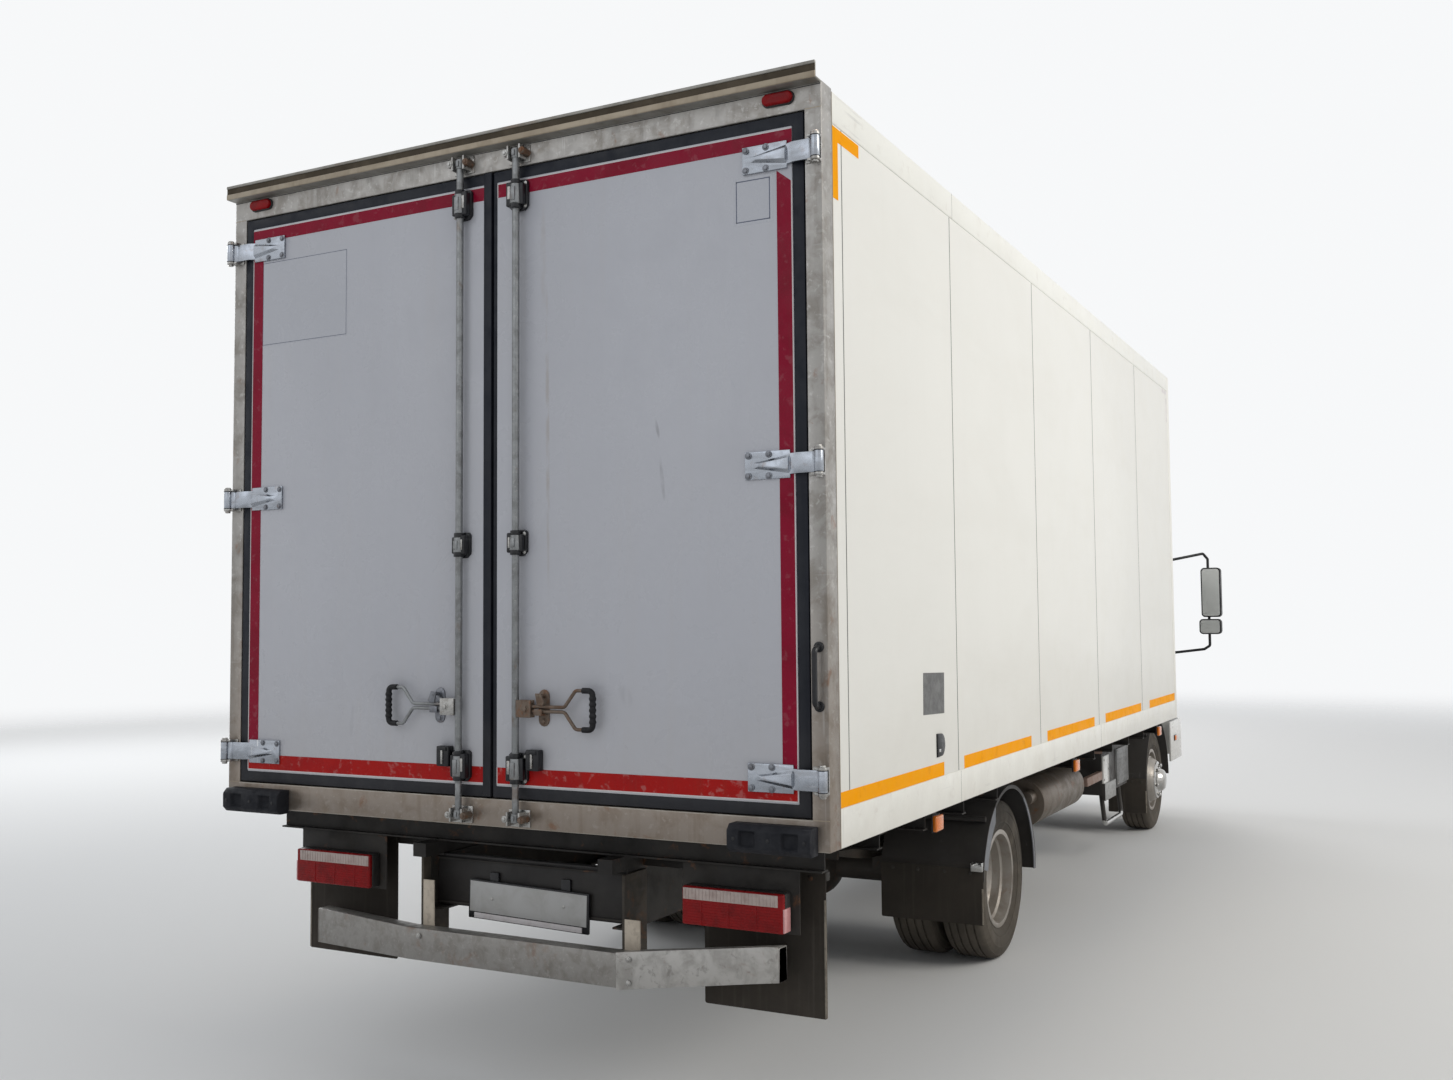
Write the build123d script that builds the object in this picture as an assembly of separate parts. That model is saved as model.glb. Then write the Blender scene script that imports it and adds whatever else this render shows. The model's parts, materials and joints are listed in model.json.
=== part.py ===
from build123d import *

import math
import os

# Refrigerated two-axle truck at its real size, in millimetres.
# +X points forward, +Y to the left and +Z up; the origin is on the ground under the middle.
# "Aft distance" below means a length measured forward from the box's rear face.

# Overall layout
wheelbase = 4475
rear_overhang = 2750
front_overhang = 1125
buffer_depth = 65
chassis_front = rear_overhang + wheelbase + front_overhang
bumper_reach = 115
cab_front = chassis_front - bumper_reach
cab_length = 1735
cab_rear = cab_front - cab_length
cab_gap = 300

# Insulated box
box_length = cab_rear - cab_gap
box_width = 2600
box_height = 2430
wall_thickness = 85
wall_recess = 3
floor_thickness = 120
roof_thickness = 90
lower_rail_height = 125
upper_rail_height = 105

# Rear door frame
post_width = 60
frame_depth = 85
sill_height = 98
header_height = 78
gutter_height = 56
gutter_reach = 45
gutter_sheet = 8

# Box doors, their seals and hinges
door_clearance = 5
rebate_depth = 30
seal_width = 40
seal_setback = 3
centre_lip = 4
centre_seal = 22
hinge_setback = 30
hinge_inset = 10
hinge_pin_radius = 8
hinge_knuckle_radius = 15
hinge_knuckle_height = 66
hinge_ear_sheet = 8
hinge_strap_height = 90
hinge_strap_end = 1020
strap_sheet = 8
hinge_rises = (222, 1215, 2215)
hinge_strap_tip = 1180
pin_clearance = 0.3

# Hinge straps' raised ribs
rib_start = 1052
rib_end = hinge_strap_tip - 2
rib_rise = 11
rib_half_start = 9
rib_half_end = 30
rib_crest_share = 0.6

# Lock rods, guides and keepers
rod_offset = 125
rod_radius = 13
rod_standoff = 28
rod_end_margin = 25
guide_width = 80
guide_height = 110
guide_base = 14
guide_chamfer = 16
guide_depth = 40
sleeve_radius = 21
guide_rises = (210, 997, 2240)
retainer_offset = 196
retainer_size = (32, 56, 72)
retainer_rise = 242

# Door handles: bent wires on a hub, a rubber grip and a catch
handle_rise = 420
hub_reach = 199
hub_half_height = 30
wire_radius = 6.2
wire_gap = 16
wire_bend = 20
wire_fork = 332
wire_knee = 378
grip_start = 407
grip_reach = 447
grip_spread = 66
grip_radius = 10.2
catch_offset = 229
catch_width = 44
catch_length = 130
catch_ledge = 34

# Grab handle on the right post
grab_offset = 1270
grab_rise = 445
grab_length = 195
grab_standoff = 38

# Wheels and tyres
tyre_diameter = 767
tyre_width = 215
rim_seat_diameter = 445
rim_width = 165
rim_lip_height = 14
rim_sheet = 8
twin_spacing = 255
rear_track_outer = 922.5
front_track_half = 830
drum_radius = 182
pilot_radius = 80
hand_hole_count = 8
hand_hole_circle = 128
hand_hole_radius = 14

# Axles, knuckles and springs
spindle_radius = 35
kingpin_offset = 680
kingpin_radius = 19
axle_tube_radius = 62
axle_tube_end = 560
spring_eye_depth = 18
arm_length = 180
track_rod_height = 300
spring_centre = 405
spring_width = 70
front_spring_length = 1300
front_spring_base = 352
front_spring_end = 470
rear_spring_length = 1350
rear_spring_base = 470
rear_spring_end = 560
gearbox_rear = chassis_front - 2000
gearbox_centre = 560

# Ladder frame
frame_rise = 206.5
rail_height = 210
rail_outer = 440
rail_flange = 65
rail_sheet = 7
rail_rear = 200
rail_front = chassis_front - 300
subframe_height = 50
bearer_height = 100
bearer_half = 1190
bearer_inset = 205
bearer_count = 13
cross_member_places = (260, 1500, 3900, cab_rear - 1000, cab_rear - 250, rail_front - 90)
bumper_horn_bottom = 592
tow_eye_reach = rail_front + 90
tow_eye_offset = 45
tow_eye_sheet = 20
tow_eye_radius = 17

# Engine with its gearbox
engine_rear = chassis_front - 1400
engine_front = chassis_front - 550
engine_half_width = 290
engine_bottom = 450
engine_top = 1010
gearbox_half_width = 190
gearbox_half_height = 160

# What hangs on the ladder frame
tank_rear = 3700
tank_length = 1150
tank_width = 430
tank_depth = 390
tank_offset = 700
tank_drop = 210
tank_corner = 60
tank_strap_sheet = 5
tank_strap_places = (250, 900)
tank_cap_place = 550
silencer_length = 1000
silencer_offset = 750
silencer_height = 575
silencer_radius = 140
battery_front = cab_rear - 40
battery_length = 820
battery_rear = battery_front - battery_length
battery_inner = 480
battery_outer = 880
battery_low = 440
battery_high = 725
battery_lid = 30
battery_cover_length = 390
battery_tread_length = 340
battery_door_length = 190
side_step_low = 240
side_step_length = 540
side_step_radius = 16
side_bar_length = 440
silencer_gap = 120
silencer_rear = battery_rear - side_bar_length - silencer_gap - silencer_length
guard_radius = 452
guard_inner = 560
guard_outer = 1068
guard_sheet = 6
guard_tail_rise = 117
guard_lip_height = 62
front_guard_radius = 468
front_guard_inner = 620
front_guard_outer = 965
flap_sheet = 5
flap_place = 300
flap_inner = 690
flap_outer = 1150
flap_bottom = 350
wheel_flap_bottom = 245
front_flap_inner = 680
front_flap_bottom = 180
lamp_place = 140
lamp_depth = 62
lamp_inner_side = 690
lamp_outer_side = 1070
lamp_drop = 20
lamp_height = 130
header_lamp_offset = 1150
header_lamp_drop = 30
marker_places = (1280, 3530, box_length - 250)
marker_offset = 1200
marker_depth = 22
marker_drop = 66
marker_length = 84
marker_height = 38
bar_place = 100
bar_depth = 60
bar_wall = 5
bar_post_bottom = 430

# Cab
cab_half_width = 965
cab_wall = 40
cab_bottom = 870
cab_nose_bottom = 830
cab_nose_length = 615
cab_nose_step = 60
cab_waist = 1390
cab_gutter_half = 890
cab_gutter_height = 2150
cab_roof_rear = cab_gutter_height + 85
cab_roof_front = cab_gutter_height + 115
cab_door_rear = cab_rear + 550
cab_door_front = cab_front - 295
cab_door_top = cab_gutter_height - 20
cab_door_gap = 8
screen_foot_setback = 115
screen_rake = 470
screen_top_drop = 40
screen_low_margin = 84
screen_top_margin = 134
screen_width = 1500
tilt_pivot_reach = cab_front - 145
tilt_pivot_height = 805
cab_corner_radius = 170
grille_half_width = 520
grille_low_margin = 75
grille_high_margin = 155
grille_depth = 24
grille_bar_height = 16
grille_bar_count = 5
dash_rear = cab_front - 495
mirror_reach = cab_front - 235
mirror_depth = 80
mirror_outer = 1373
mirror_post_radius = 11
mirror_drop = 84
mirror_height = 410
mirror_width = 155
wide_mirror_gap = 15
wide_mirror_height = 126
wide_mirror_width = 171

# Seats
seat_rear = cab_rear + 260
seat_length = 530
seat_inner = 385
seat_width = 470
seat_base_height = 190
seat_cushion_height = 120
seat_back_height = 770

# Bumper
bumper_top = 800
bumper_bottom = 480
bumper_sheet = 25
bumper_half_width = 990
bumper_wing_end = chassis_front - 650
bumper_shelf_top = 700
bumper_shelf_depth = 130
bumper_slot_half = 340
bumper_slot_height = 22
bumper_slot_lows = (505, 545, 585)
lamp_inner = 470
lamp_outer = 760
lamp_low = 560
lamp_high = 720
repeater_rear = chassis_front - 510
repeater_length = 80
repeater_low = 640
repeater_height = 40

# Refrigeration unit
unit_drop = 80
unit_height = 660
unit_depth = 450
unit_half_width = 850
unit_grille_margin = 90
unit_grille_rise = 180
unit_grille_height = 290
unit_louvre_count = 8
unit_louvre_sheet = 7
unit_vent_rear = 90
unit_vent_count = 6
unit_vent_height = 22

# Places that follow from the sizes above
rear_most = -(rear_overhang + wheelbase + front_overhang + buffer_depth) / 2
rear_face = rear_most + buffer_depth
rear_axle_x = rear_face + rear_overhang
front_axle_x = rear_axle_x + wheelbase
front_face = front_axle_x + front_overhang
axle_height = tyre_diameter / 2
rail_bottom = axle_height + frame_rise
rail_top = rail_bottom + rail_height
subframe_top = rail_top + subframe_height
bearer_top = subframe_top + bearer_height
box_floor_height = bearer_top
box_front = rear_face + box_length
box_half = box_width / 2
box_top = box_floor_height + box_height
hinge_heights = [box_floor_height + rise for rise in hinge_rises]
guide_heights = [box_floor_height + rise for rise in guide_rises]
handle_height = box_floor_height + handle_rise
wall_inner = box_half - wall_thickness
floor_top = box_floor_height + floor_thickness
roof_bottom = box_top - roof_thickness
sill_top = box_floor_height + sill_height
header_bottom = box_top - header_height
post_inner = box_half - post_width
door_thickness = frame_depth - door_clearance
hinge_x = rear_face - hinge_setback
hinge_y = box_half - hinge_inset
cab_floor_top = cab_bottom + cab_wall
cab_door_bottom = cab_floor_top + cab_door_gap
cab_nose_rear = cab_front - cab_nose_length
cab_step_reach = cab_nose_rear - cab_nose_step
screen_foot_reach = cab_front - screen_foot_setback
screen_top_reach = screen_foot_reach - screen_rake
screen_top_height = cab_roof_front - screen_top_drop
grille_low = cab_floor_top + grille_low_margin
grille_high = cab_waist - grille_high_margin
unit_top = box_top - unit_drop
unit_bottom = unit_top - unit_height
tunnel_half = 330
tunnel_top = cab_floor_top + 190
tunnel_rear = cab_rear + 360
tunnel_front = cab_front - 355
tunnel_wall = 25


def aft(distance):
    """Return the X place that lies this far forward of the box's rear face."""
    return rear_face + distance


def block(x0, x1, y0, y1, z0, z1):
    """Return a rectangular block between two opposite corners."""
    size = Box(x1 - x0, y1 - y0, z1 - z0)
    return Pos((x0 + x1) / 2, (y0 + y1) / 2, (z0 + z1) / 2) * size


def upright(x, y, z0, z1, radius):
    """Return a vertical round bar."""
    return Pos(x, y, (z0 + z1) / 2) * Cylinder(radius, z1 - z0)


def crosswise(x, y0, y1, z, radius):
    """Return a round bar along Y."""
    return Pos(x, (y0 + y1) / 2, z) * Rot(90, 0, 0) * Cylinder(radius, y1 - y0)


def lengthwise(x0, x1, y, z, radius):
    """Return a round bar along X."""
    return Pos((x0 + x1) / 2, y, z) * Rot(0, 90, 0) * Cylinder(radius, x1 - x0)


def outline(points):
    """Return a flat face from its corner points."""
    return make_face(Polyline(*points, close=True))


def side_prism(points, y0, y1):
    """Extrude an outline drawn in X and Z from y0 to y1."""
    plane = Plane(origin=(0, y1, 0), x_dir=(1, 0, 0), z_dir=(0, -1, 0))
    face = outline(points) if isinstance(points, list) else points
    return extrude(plane * face, y1 - y0)


def end_prism(points, x0, x1):
    """Extrude an outline drawn in Y and Z from x0 to x1."""
    plane = Plane(origin=(x0, 0, 0), x_dir=(0, 1, 0), z_dir=(1, 0, 0))
    face = outline(points) if isinstance(points, list) else points
    return extrude(plane * face, x1 - x0)


def plan_prism(points, z0, z1):
    """Extrude an outline drawn in X and Y from z0 to z1."""
    face = outline(points) if isinstance(points, list) else points
    return extrude(Plane.XY.offset(z0) * face, z1 - z0)


def tube_run(points, radius, bend=0):
    """Return a round bar through the points, bent to a radius at each corner."""
    path = FilletPolyline(*points, radius=bend) if bend else Line(*points)
    return sweep((path ^ 0) * Circle(radius), path)


def both_sides(shape):
    """Return a shape on the left and its mirror image on the right."""
    return [shape, shape.mirror(Plane.XZ)]


def on_side(shape, side):
    """Return a shape made for the left, or mirrored when side is -1."""
    return shape if side > 0 else shape.mirror(Plane.XZ)


# Tyres and wheels


def ring_about_axle(points, x, y, side=1):
    """Revolve a section of (across, radius) points about an axle line."""
    face = outline([(0, side * across, radius) for across, radius in points])
    ring = revolve(face, Axis.Y, 360)
    return Pos(x, y, axle_height) * ring


def tyre(x, y):
    """Return one tyre, a closed ring with rounded shoulders."""
    half = tyre_width / 2
    seat = rim_seat_diameter / 2 + pin_clearance
    outer = tyre_diameter / 2
    bead = rim_width / 2 - pin_clearance
    section = [
        (-bead, seat), (-bead, seat + 16), (-half + 6, seat + 50), (-half, seat + 85),
        (-half + 8, outer - 30), (-half + 26, outer - 4), (-half + 45, outer),
        (half - 45, outer), (half - 26, outer - 4), (half - 8, outer - 30),
        (half, seat + 85), (half - 6, seat + 50), (bead, seat + 16), (bead, seat),
    ]
    return ring_about_axle(section, x, y)


def rim(x, y, bulge):
    """Return a pressed rim whose disc bulges to one side of it."""
    seat = rim_seat_diameter / 2
    half = rim_width / 2
    lip = seat + rim_lip_height
    well = seat - 14
    barrel = [
        (-half - 6, lip), (-half, lip), (-half, seat), (-34, seat), (-26, well), (26, well),
        (34, seat), (half, seat), (half, lip), (half + 6, lip), (half + 6, seat - rim_sheet),
        (38, seat - rim_sheet), (30, well - rim_sheet), (-30, well - rim_sheet),
        (-38, seat - rim_sheet), (-half - 6, seat - rim_sheet),
    ]
    face = twin_spacing / 2
    disc = [
        (26, well - rim_sheet + 1), (60, well - rim_sheet - 16), (face - 20, 160), (face, 145),
        (face, pilot_radius), (face - 12, pilot_radius), (face - 12, 138), (face - 28, 150),
        (52, well - rim_sheet - 28), (12, well - rim_sheet - 6), (12, well - rim_sheet + 1),
    ]
    shape = ring_about_axle(barrel, x, y) + ring_about_axle(disc, x, y, bulge)
    holes = []
    for count in range(hand_hole_count):
        angle = math.radians(360 / hand_hole_count * (count + 0.5))
        hole_x = x + hand_hole_circle * math.cos(angle)
        hole_z = axle_height + hand_hole_circle * math.sin(angle)
        near = y + bulge * (face - 40)
        far = y + bulge * (face + 20)
        holes.append(crosswise(hole_x, min(near, far), max(near, far), hole_z, hand_hole_radius))
    return shape - holes


def rear_wheel_rims():
    """Return the left twin rims with their hub and drum as one solid."""
    inner_y = rear_track_outer - twin_spacing
    middle = rear_track_outer - twin_spacing / 2
    hub_inner = axle_tube_end + pin_clearance
    shape = rim(rear_axle_x, rear_track_outer, -1) + rim(rear_axle_x, inner_y, 1)
    shape += crosswise(rear_axle_x, middle - 24, middle - 12, axle_height, 125)
    shape += crosswise(rear_axle_x, hub_inner, middle + 95, axle_height, pilot_radius + 1)
    shape += crosswise(rear_axle_x, middle + 95, middle + 110, axle_height, pilot_radius - 18)
    shape += crosswise(rear_axle_x, hub_inner + 20, middle - 24, axle_height, drum_radius)
    return shape


def front_wheel_rim():
    """Return the left front rim with its hub, drum and hub cap as one solid."""
    face = front_track_half + twin_spacing / 2
    hub_inner = kingpin_offset + 95
    shape = rim(front_axle_x, front_track_half, 1)
    shape += crosswise(front_axle_x, face - 24, face - 12, axle_height, 125)
    shape += crosswise(front_axle_x, hub_inner, face + 20, axle_height, pilot_radius + 1)
    shape += crosswise(front_axle_x, face + 20, face + 36, axle_height, pilot_radius - 22)
    shape += crosswise(front_axle_x, hub_inner, face - 50, axle_height, drum_radius)
    bore = crosswise(front_axle_x, hub_inner - 1, face - 60, axle_height, spindle_radius + 0.1)
    return shape - bore


def knuckle():
    """Return the left knuckle: fork, kingpin, spindle and rear arm."""
    inner = kingpin_offset - 40
    outer = kingpin_offset + 90
    fork = block(-45, 45, inner, outer, 303, 342) + block(-45, 45, inner, outer, 425, 464)
    fork += block(-45, 45, outer - 20, outer, 303, 464)
    fork += upright(0, kingpin_offset, 303, 464, kingpin_radius)
    fork += crosswise(0, outer, outer + 95, axle_height, spindle_radius)
    arm = block(-arm_length, -40, kingpin_offset - 18, kingpin_offset + 18, 318, 342)
    arm += upright(-arm_length, kingpin_offset, 318, 342, 18)
    arm += upright(-arm_length, kingpin_offset, track_rod_height - 16, 318, 8)
    return Pos(front_axle_x, 0, 0) * (fork + arm)


def track_rod():
    """Return the rod that ties both knuckle arms together."""
    x = front_axle_x - arm_length
    eyes = []
    holes = []
    for side in (-1, 1):
        y = side * kingpin_offset
        eyes.append(upright(x, y, track_rod_height - 15, track_rod_height + 15, 20))
        holes.append(upright(x, y, track_rod_height - 20, track_rod_height + 20, 8 + pin_clearance))
    bar = crosswise(x, -kingpin_offset, kingpin_offset, track_rod_height, 12)
    return bar + eyes - holes


def front_axle_beam():
    """Return the forged front beam with a kingpin eye at each end."""
    section = [
        (640, 420), (560, 420), (470, 335), (-470, 335), (-560, 420), (-640, 420),
        (-640, 347), (-600, 347), (-510, 262), (510, 262), (600, 347), (640, 347),
    ]
    shape = end_prism(section, -35, 35)
    for side in (-1, 1):
        shape += upright(0, side * kingpin_offset, 347, 420, 42)
    for side in (-1, 1):
        shape -= upright(0, side * kingpin_offset, 340, 430, kingpin_radius + 0.1)
    for side in (-1, 1):
        shape += block(-75, 75, side * spring_centre - 38, side * spring_centre + 38, 335, front_spring_base)
    return Pos(front_axle_x, 0, 0) * shape


def rear_axle():
    """Return the rear axle tube, its differential bowl and the propeller shaft."""
    shape = crosswise(rear_axle_x, -axle_tube_end, axle_tube_end, axle_height, axle_tube_radius)
    shape += Pos(rear_axle_x, 0, axle_height) * Sphere(170)
    nose = Pos(rear_axle_x + 190, 0, axle_height + 10) * Rot(0, 90, 0) * Cone(120, 60, 200)
    shape += nose
    for side in (-1, 1):
        shape += block(rear_axle_x - 75, rear_axle_x + 75, side * spring_centre - 38,
                       side * spring_centre + 38, axle_height, rear_spring_base)
    start = (rear_axle_x + 285, 0, axle_height + 10)
    end = (aft(gearbox_rear) - 22, 0, gearbox_centre)
    shape += tube_run([start, end], 42)
    shape += lengthwise(aft(gearbox_rear) - 30, aft(gearbox_rear), 0, gearbox_centre, 62)
    return shape


def leaf_spring(x, length, base, middle_depth, end_height):
    """Return the left spring of one axle, a bowed stack of leaves."""
    half = length / 2
    lower = ThreePointArc((-half, end_height), (0, base), (half, end_height))
    top = end_height + spring_eye_depth
    upper = ThreePointArc((half, top), (0, base + middle_depth), (-half, top))
    ends = [Line((half, end_height), (half, top)), Line((-half, top), (-half, end_height))]
    face = make_face(Curve() + [lower, ends[0], upper, ends[1]])
    y0 = spring_centre - spring_width / 2
    return Pos(x, 0, 0) * side_prism(face, y0, y0 + spring_width)


def leaf_springs():
    """Return all four leaf springs."""
    springs = [
        leaf_spring(rear_axle_x, rear_spring_length, rear_spring_base, 78, rear_spring_end),
        leaf_spring(front_axle_x, front_spring_length, front_spring_base, 62, front_spring_end),
    ]
    parts = []
    for spring in springs:
        parts += both_sides(spring)
    return Compound(parts)


# Ladder frame and what hangs on it


def channel(length, height, flange, sheet):
    """Return a channel along X with its web at +Y and its flanges towards -Y."""
    section = [
        (0, 0), (-flange, 0), (-flange, sheet), (-sheet, sheet),
        (-sheet, height - sheet), (-flange, height - sheet), (-flange, height), (0, height),
    ]
    return end_prism(section, 0, length)


def ladder_frame():
    """Return both rails with their cross-members and hangers."""
    length = rail_front - rail_rear
    rail = Pos(aft(rail_rear), rail_outer, rail_bottom) * channel(length, rail_height, rail_flange,
                                                                  rail_sheet)
    reach = rail_outer - rail_sheet
    members = []
    for distance in cross_member_places:
        x = aft(distance)
        member = block(x - 4, x + 4, -reach, reach, rail_bottom + 20, rail_top - 20)
        member += block(x - 30, x + 30, -reach, reach, rail_bottom + 20, rail_bottom + 27)
        member += block(x - 30, x + 30, -reach, reach, rail_top - 27, rail_top - 20)
        members.append(member)
    hangers = [
        # axle place, half spring length, spring end height
        (rear_axle_x, rear_spring_length / 2, rear_spring_end),
        (front_axle_x, front_spring_length / 2, front_spring_end),
    ]
    for x, half, height in hangers:
        for end in (-1, 1):
            place = x + end * (half + 12)
            rail += block(place - 11.7, place + 11.7, spring_centre - spring_width / 2,
                          spring_centre + spring_width / 2, height - 20, rail_bottom)
    eye_y = (rail_outer, rail_outer + 12)
    pivot_x = aft(tilt_pivot_reach)
    rail += side_prism([
        (pivot_x - 190, rail_bottom + 60), (pivot_x - 15, tilt_pivot_height - 20),
        (pivot_x, tilt_pivot_height + 18), (pivot_x - 190, rail_top),
    ], *eye_y)
    rail += crosswise(pivot_x, eye_y[0], eye_y[1], tilt_pivot_height, 22)
    rail += crosswise(pivot_x, eye_y[0], eye_y[1] + 38, tilt_pivot_height, 12)
    horn_inner = rail_outer - rail_flange
    rail += block(aft(rail_front) - 60, front_face - bumper_sheet, horn_inner, rail_outer,
                  bumper_horn_bottom, bumper_horn_bottom + 80)
    eye_x = aft(tow_eye_reach)
    tow_eye_y = horn_inner - tow_eye_offset
    eye_low, eye_high = bumper_horn_bottom, bumper_horn_bottom + tow_eye_sheet
    rail += block(eye_x - 38, eye_x + 38, tow_eye_y, horn_inner, eye_low, eye_high)
    rail += upright(eye_x, tow_eye_y, eye_low, eye_high, 38)
    rail -= upright(eye_x, tow_eye_y, eye_low - 1, eye_high + 1, tow_eye_radius)
    return Compound(both_sides(rail) + members)


def subframe():
    """Return the box's long runners and its cross bearers, which are short over the rear wheels."""
    runner = block(aft(100), aft(box_length - 60), rail_outer - 60, rail_outer, rail_top, subframe_top)
    parts = both_sides(runner)
    pitch = (box_length - 2 * bearer_inset) / (bearer_count - 1)
    for count in range(bearer_count):
        x = aft(bearer_inset + pitch * count)
        over_wheels = abs(x - rear_axle_x) < guard_radius + 40
        reach = guard_inner - 20 if over_wheels else bearer_half
        section = [
            (x - 25, subframe_top), (x + 25, subframe_top), (x + 25, subframe_top + 6),
            (x + 3, subframe_top + 6),
            (x + 3, bearer_top - 6), (x + 25, bearer_top - 6), (x + 25, bearer_top), (x - 25, bearer_top),
            (x - 25, bearer_top - 6), (x - 3, bearer_top - 6), (x - 3, subframe_top + 6),
            (x - 25, subframe_top + 6),
        ]
        parts.append(side_prism(section, -reach, reach))
    return Compound(parts)


def engine_block():
    """Return the engine as one plain block with its gearbox behind it."""
    engine = block(aft(engine_rear), aft(engine_front), -engine_half_width, engine_half_width, engine_bottom,
                   engine_top)
    gearbox = block(aft(gearbox_rear), aft(engine_rear), -gearbox_half_width, gearbox_half_width,
                    gearbox_centre - gearbox_half_height, gearbox_centre + gearbox_half_height)
    return engine + gearbox


def tank_body(start, length, grow):
    """Return a length of the fuel tank's rounded section, grown by a margin."""
    face = Plane.YZ * RectangleRounded(tank_width + 2 * grow, tank_depth + 2 * grow, tank_corner + grow)
    return Pos(aft(tank_rear + start), tank_offset, rail_top - tank_drop) * extrude(face, length)


def fuel_tank():
    """Return the left fuel tank with its straps, cap and brackets."""
    parts = [tank_body(0, tank_length, 0)]
    tank_side = tank_offset - tank_width / 2
    for place in tank_strap_places:
        x = aft(tank_rear + place)
        parts.append(block(x - 25, x + 25, rail_outer, tank_side + 1, rail_bottom + 10, rail_top - 10))
        parts.append(tank_body(place - 25, 50, tank_strap_sheet))
    tank_top = rail_top - tank_drop + tank_depth / 2
    parts.append(upright(aft(tank_rear + tank_cap_place), tank_offset + 140, tank_top - 5, tank_top + 30,
                         42))
    return Part() + parts


def silencer():
    """Return the right silencer drum with its stubs and hangers."""
    x0, x1 = aft(silencer_rear), aft(silencer_rear + silencer_length)
    parts = [lengthwise(x0, x1, -silencer_offset, silencer_height, silencer_radius)]
    parts.append(lengthwise(x0 - 110, x0, -silencer_offset - 60, silencer_height + 40, 38))
    parts.append(lengthwise(x0 - 60, x0, -silencer_offset + 60, silencer_height - 40, 30))
    for x in (x0 + 160, x1 - 160):
        parts.append(block(x - 20, x + 20, -silencer_offset, -rail_outer, silencer_height + 60,
                           silencer_height + 100))
        parts.append(block(x - 20, x + 20, -rail_outer - 12, -rail_outer, silencer_height + 60,
                           rail_top - 30))
    return Part() + parts


def battery_box():
    """Return the right battery box with its lid, cover plate, tread plate, step tube and side bar."""
    x0, x1 = aft(battery_rear), aft(battery_front)
    case = block(x0, x1, -battery_outer, -battery_inner, battery_low, battery_high)
    case += block(x0 - 8, x1 + 8, -battery_outer - 8, -battery_inner + 8, battery_high,
                  battery_high + battery_lid)
    for x in (x0 + 90, x1 - 90):
        case += block(x - 25, x + 25, -battery_inner, -rail_outer, rail_bottom + 20, rail_bottom + 90)
    side = -battery_outer
    case += block(x1 - battery_cover_length, x1, side - 14, side, battery_low + 25, battery_high - 5)
    case += block(x0, x0 + battery_tread_length, side - 22, side, battery_low - 35, battery_low + 80)
    case += block(x0 + 10, x0 + battery_door_length, side - 10, side, battery_low + 80, battery_high - 20)
    bar = block(x0 - side_bar_length, x0, side - 4, side + 30, battery_low + 110, battery_low + 165)
    step = tube_run([
        (x0 + 60, side + 20, battery_low), (x0 + 60, side, side_step_low),
        (x0 + 60 + side_step_length, side, side_step_low),
        (x0 + 60 + side_step_length, side + 20, battery_low),
    ], side_step_radius, 40)
    return case + bar + step


def guard_stays(x, radius, outer, angles, thickness):
    """Return the round stays that carry an arched guard, at these angles above the axle."""
    stays = []
    for angle in angles:
        stay_x = x + (radius + thickness) * math.cos(math.radians(angle))
        stay_z = axle_height + (radius + thickness) * math.sin(math.radians(angle))
        stays.append(crosswise(stay_x, rail_outer, outer - 20, stay_z, thickness))
    return stays


def rear_guard_tail():
    """Return the X place of the rear guard's rear end."""
    return rear_axle_x - math.sqrt((guard_radius + guard_sheet) ** 2 - guard_tail_rise ** 2)


def rear_mudguards():
    """Return the arched guards over the rear wheels with their stays."""
    outside = guard_radius + guard_sheet
    guard = crosswise(rear_axle_x, guard_inner, guard_outer, axle_height, outside)
    guard -= crosswise(rear_axle_x, guard_inner, guard_outer, axle_height, guard_radius)
    keep = block(rear_axle_x - outside, rear_axle_x + outside, guard_inner, guard_outer, axle_height - 20,
                 axle_height + outside)
    keep -= block(rear_axle_x - outside, rear_axle_x, guard_inner, guard_outer, axle_height - 30,
                  axle_height + guard_tail_rise)
    guard = guard & keep
    lip_top = axle_height + guard_tail_rise + 5
    guard += block(rear_guard_tail(), rear_guard_tail() + guard_sheet, guard_inner, guard_outer,
                   lip_top - guard_lip_height, lip_top)
    guard += guard_stays(rear_axle_x, outside, guard_outer, (48, 135), 14)
    return Compound(both_sides(guard))


def mud_flaps():
    """Return the rubber flaps at the tail, behind the twins and behind the front wheels."""
    front_x = front_axle_x - front_guard_radius - guard_sheet
    flaps = [
        # front face, inner side, outer side, bottom, top
        (aft(flap_place) + flap_sheet, flap_inner, flap_outer, flap_bottom, rail_top + 30),
        (rear_guard_tail(), guard_inner, guard_outer - 4, wheel_flap_bottom,
         axle_height + guard_tail_rise + 3),
        (front_x, front_flap_inner, front_guard_outer, front_flap_bottom, axle_height + 55),
    ]
    parts = []
    for x, inner, outer, low, high in flaps:
        parts += both_sides(block(x - flap_sheet, x, inner, outer, low, high))
    return Compound(parts)


def flap_carriers():
    """Return the tail flaps' hanger bars and the lamps' back plates."""
    bar_x = aft(flap_place) + flap_sheet
    bar = block(bar_x, bar_x + 30, rail_outer, flap_outer, rail_top, rail_top + 30)
    plate_x = aft(lamp_place) + lamp_depth
    plate = block(plate_x, plate_x + 6, lamp_inner_side - 30, lamp_outer_side + 30,
                  rail_top - lamp_drop - lamp_height - 10, subframe_top)
    return Compound(both_sides(bar) + both_sides(plate))


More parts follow.
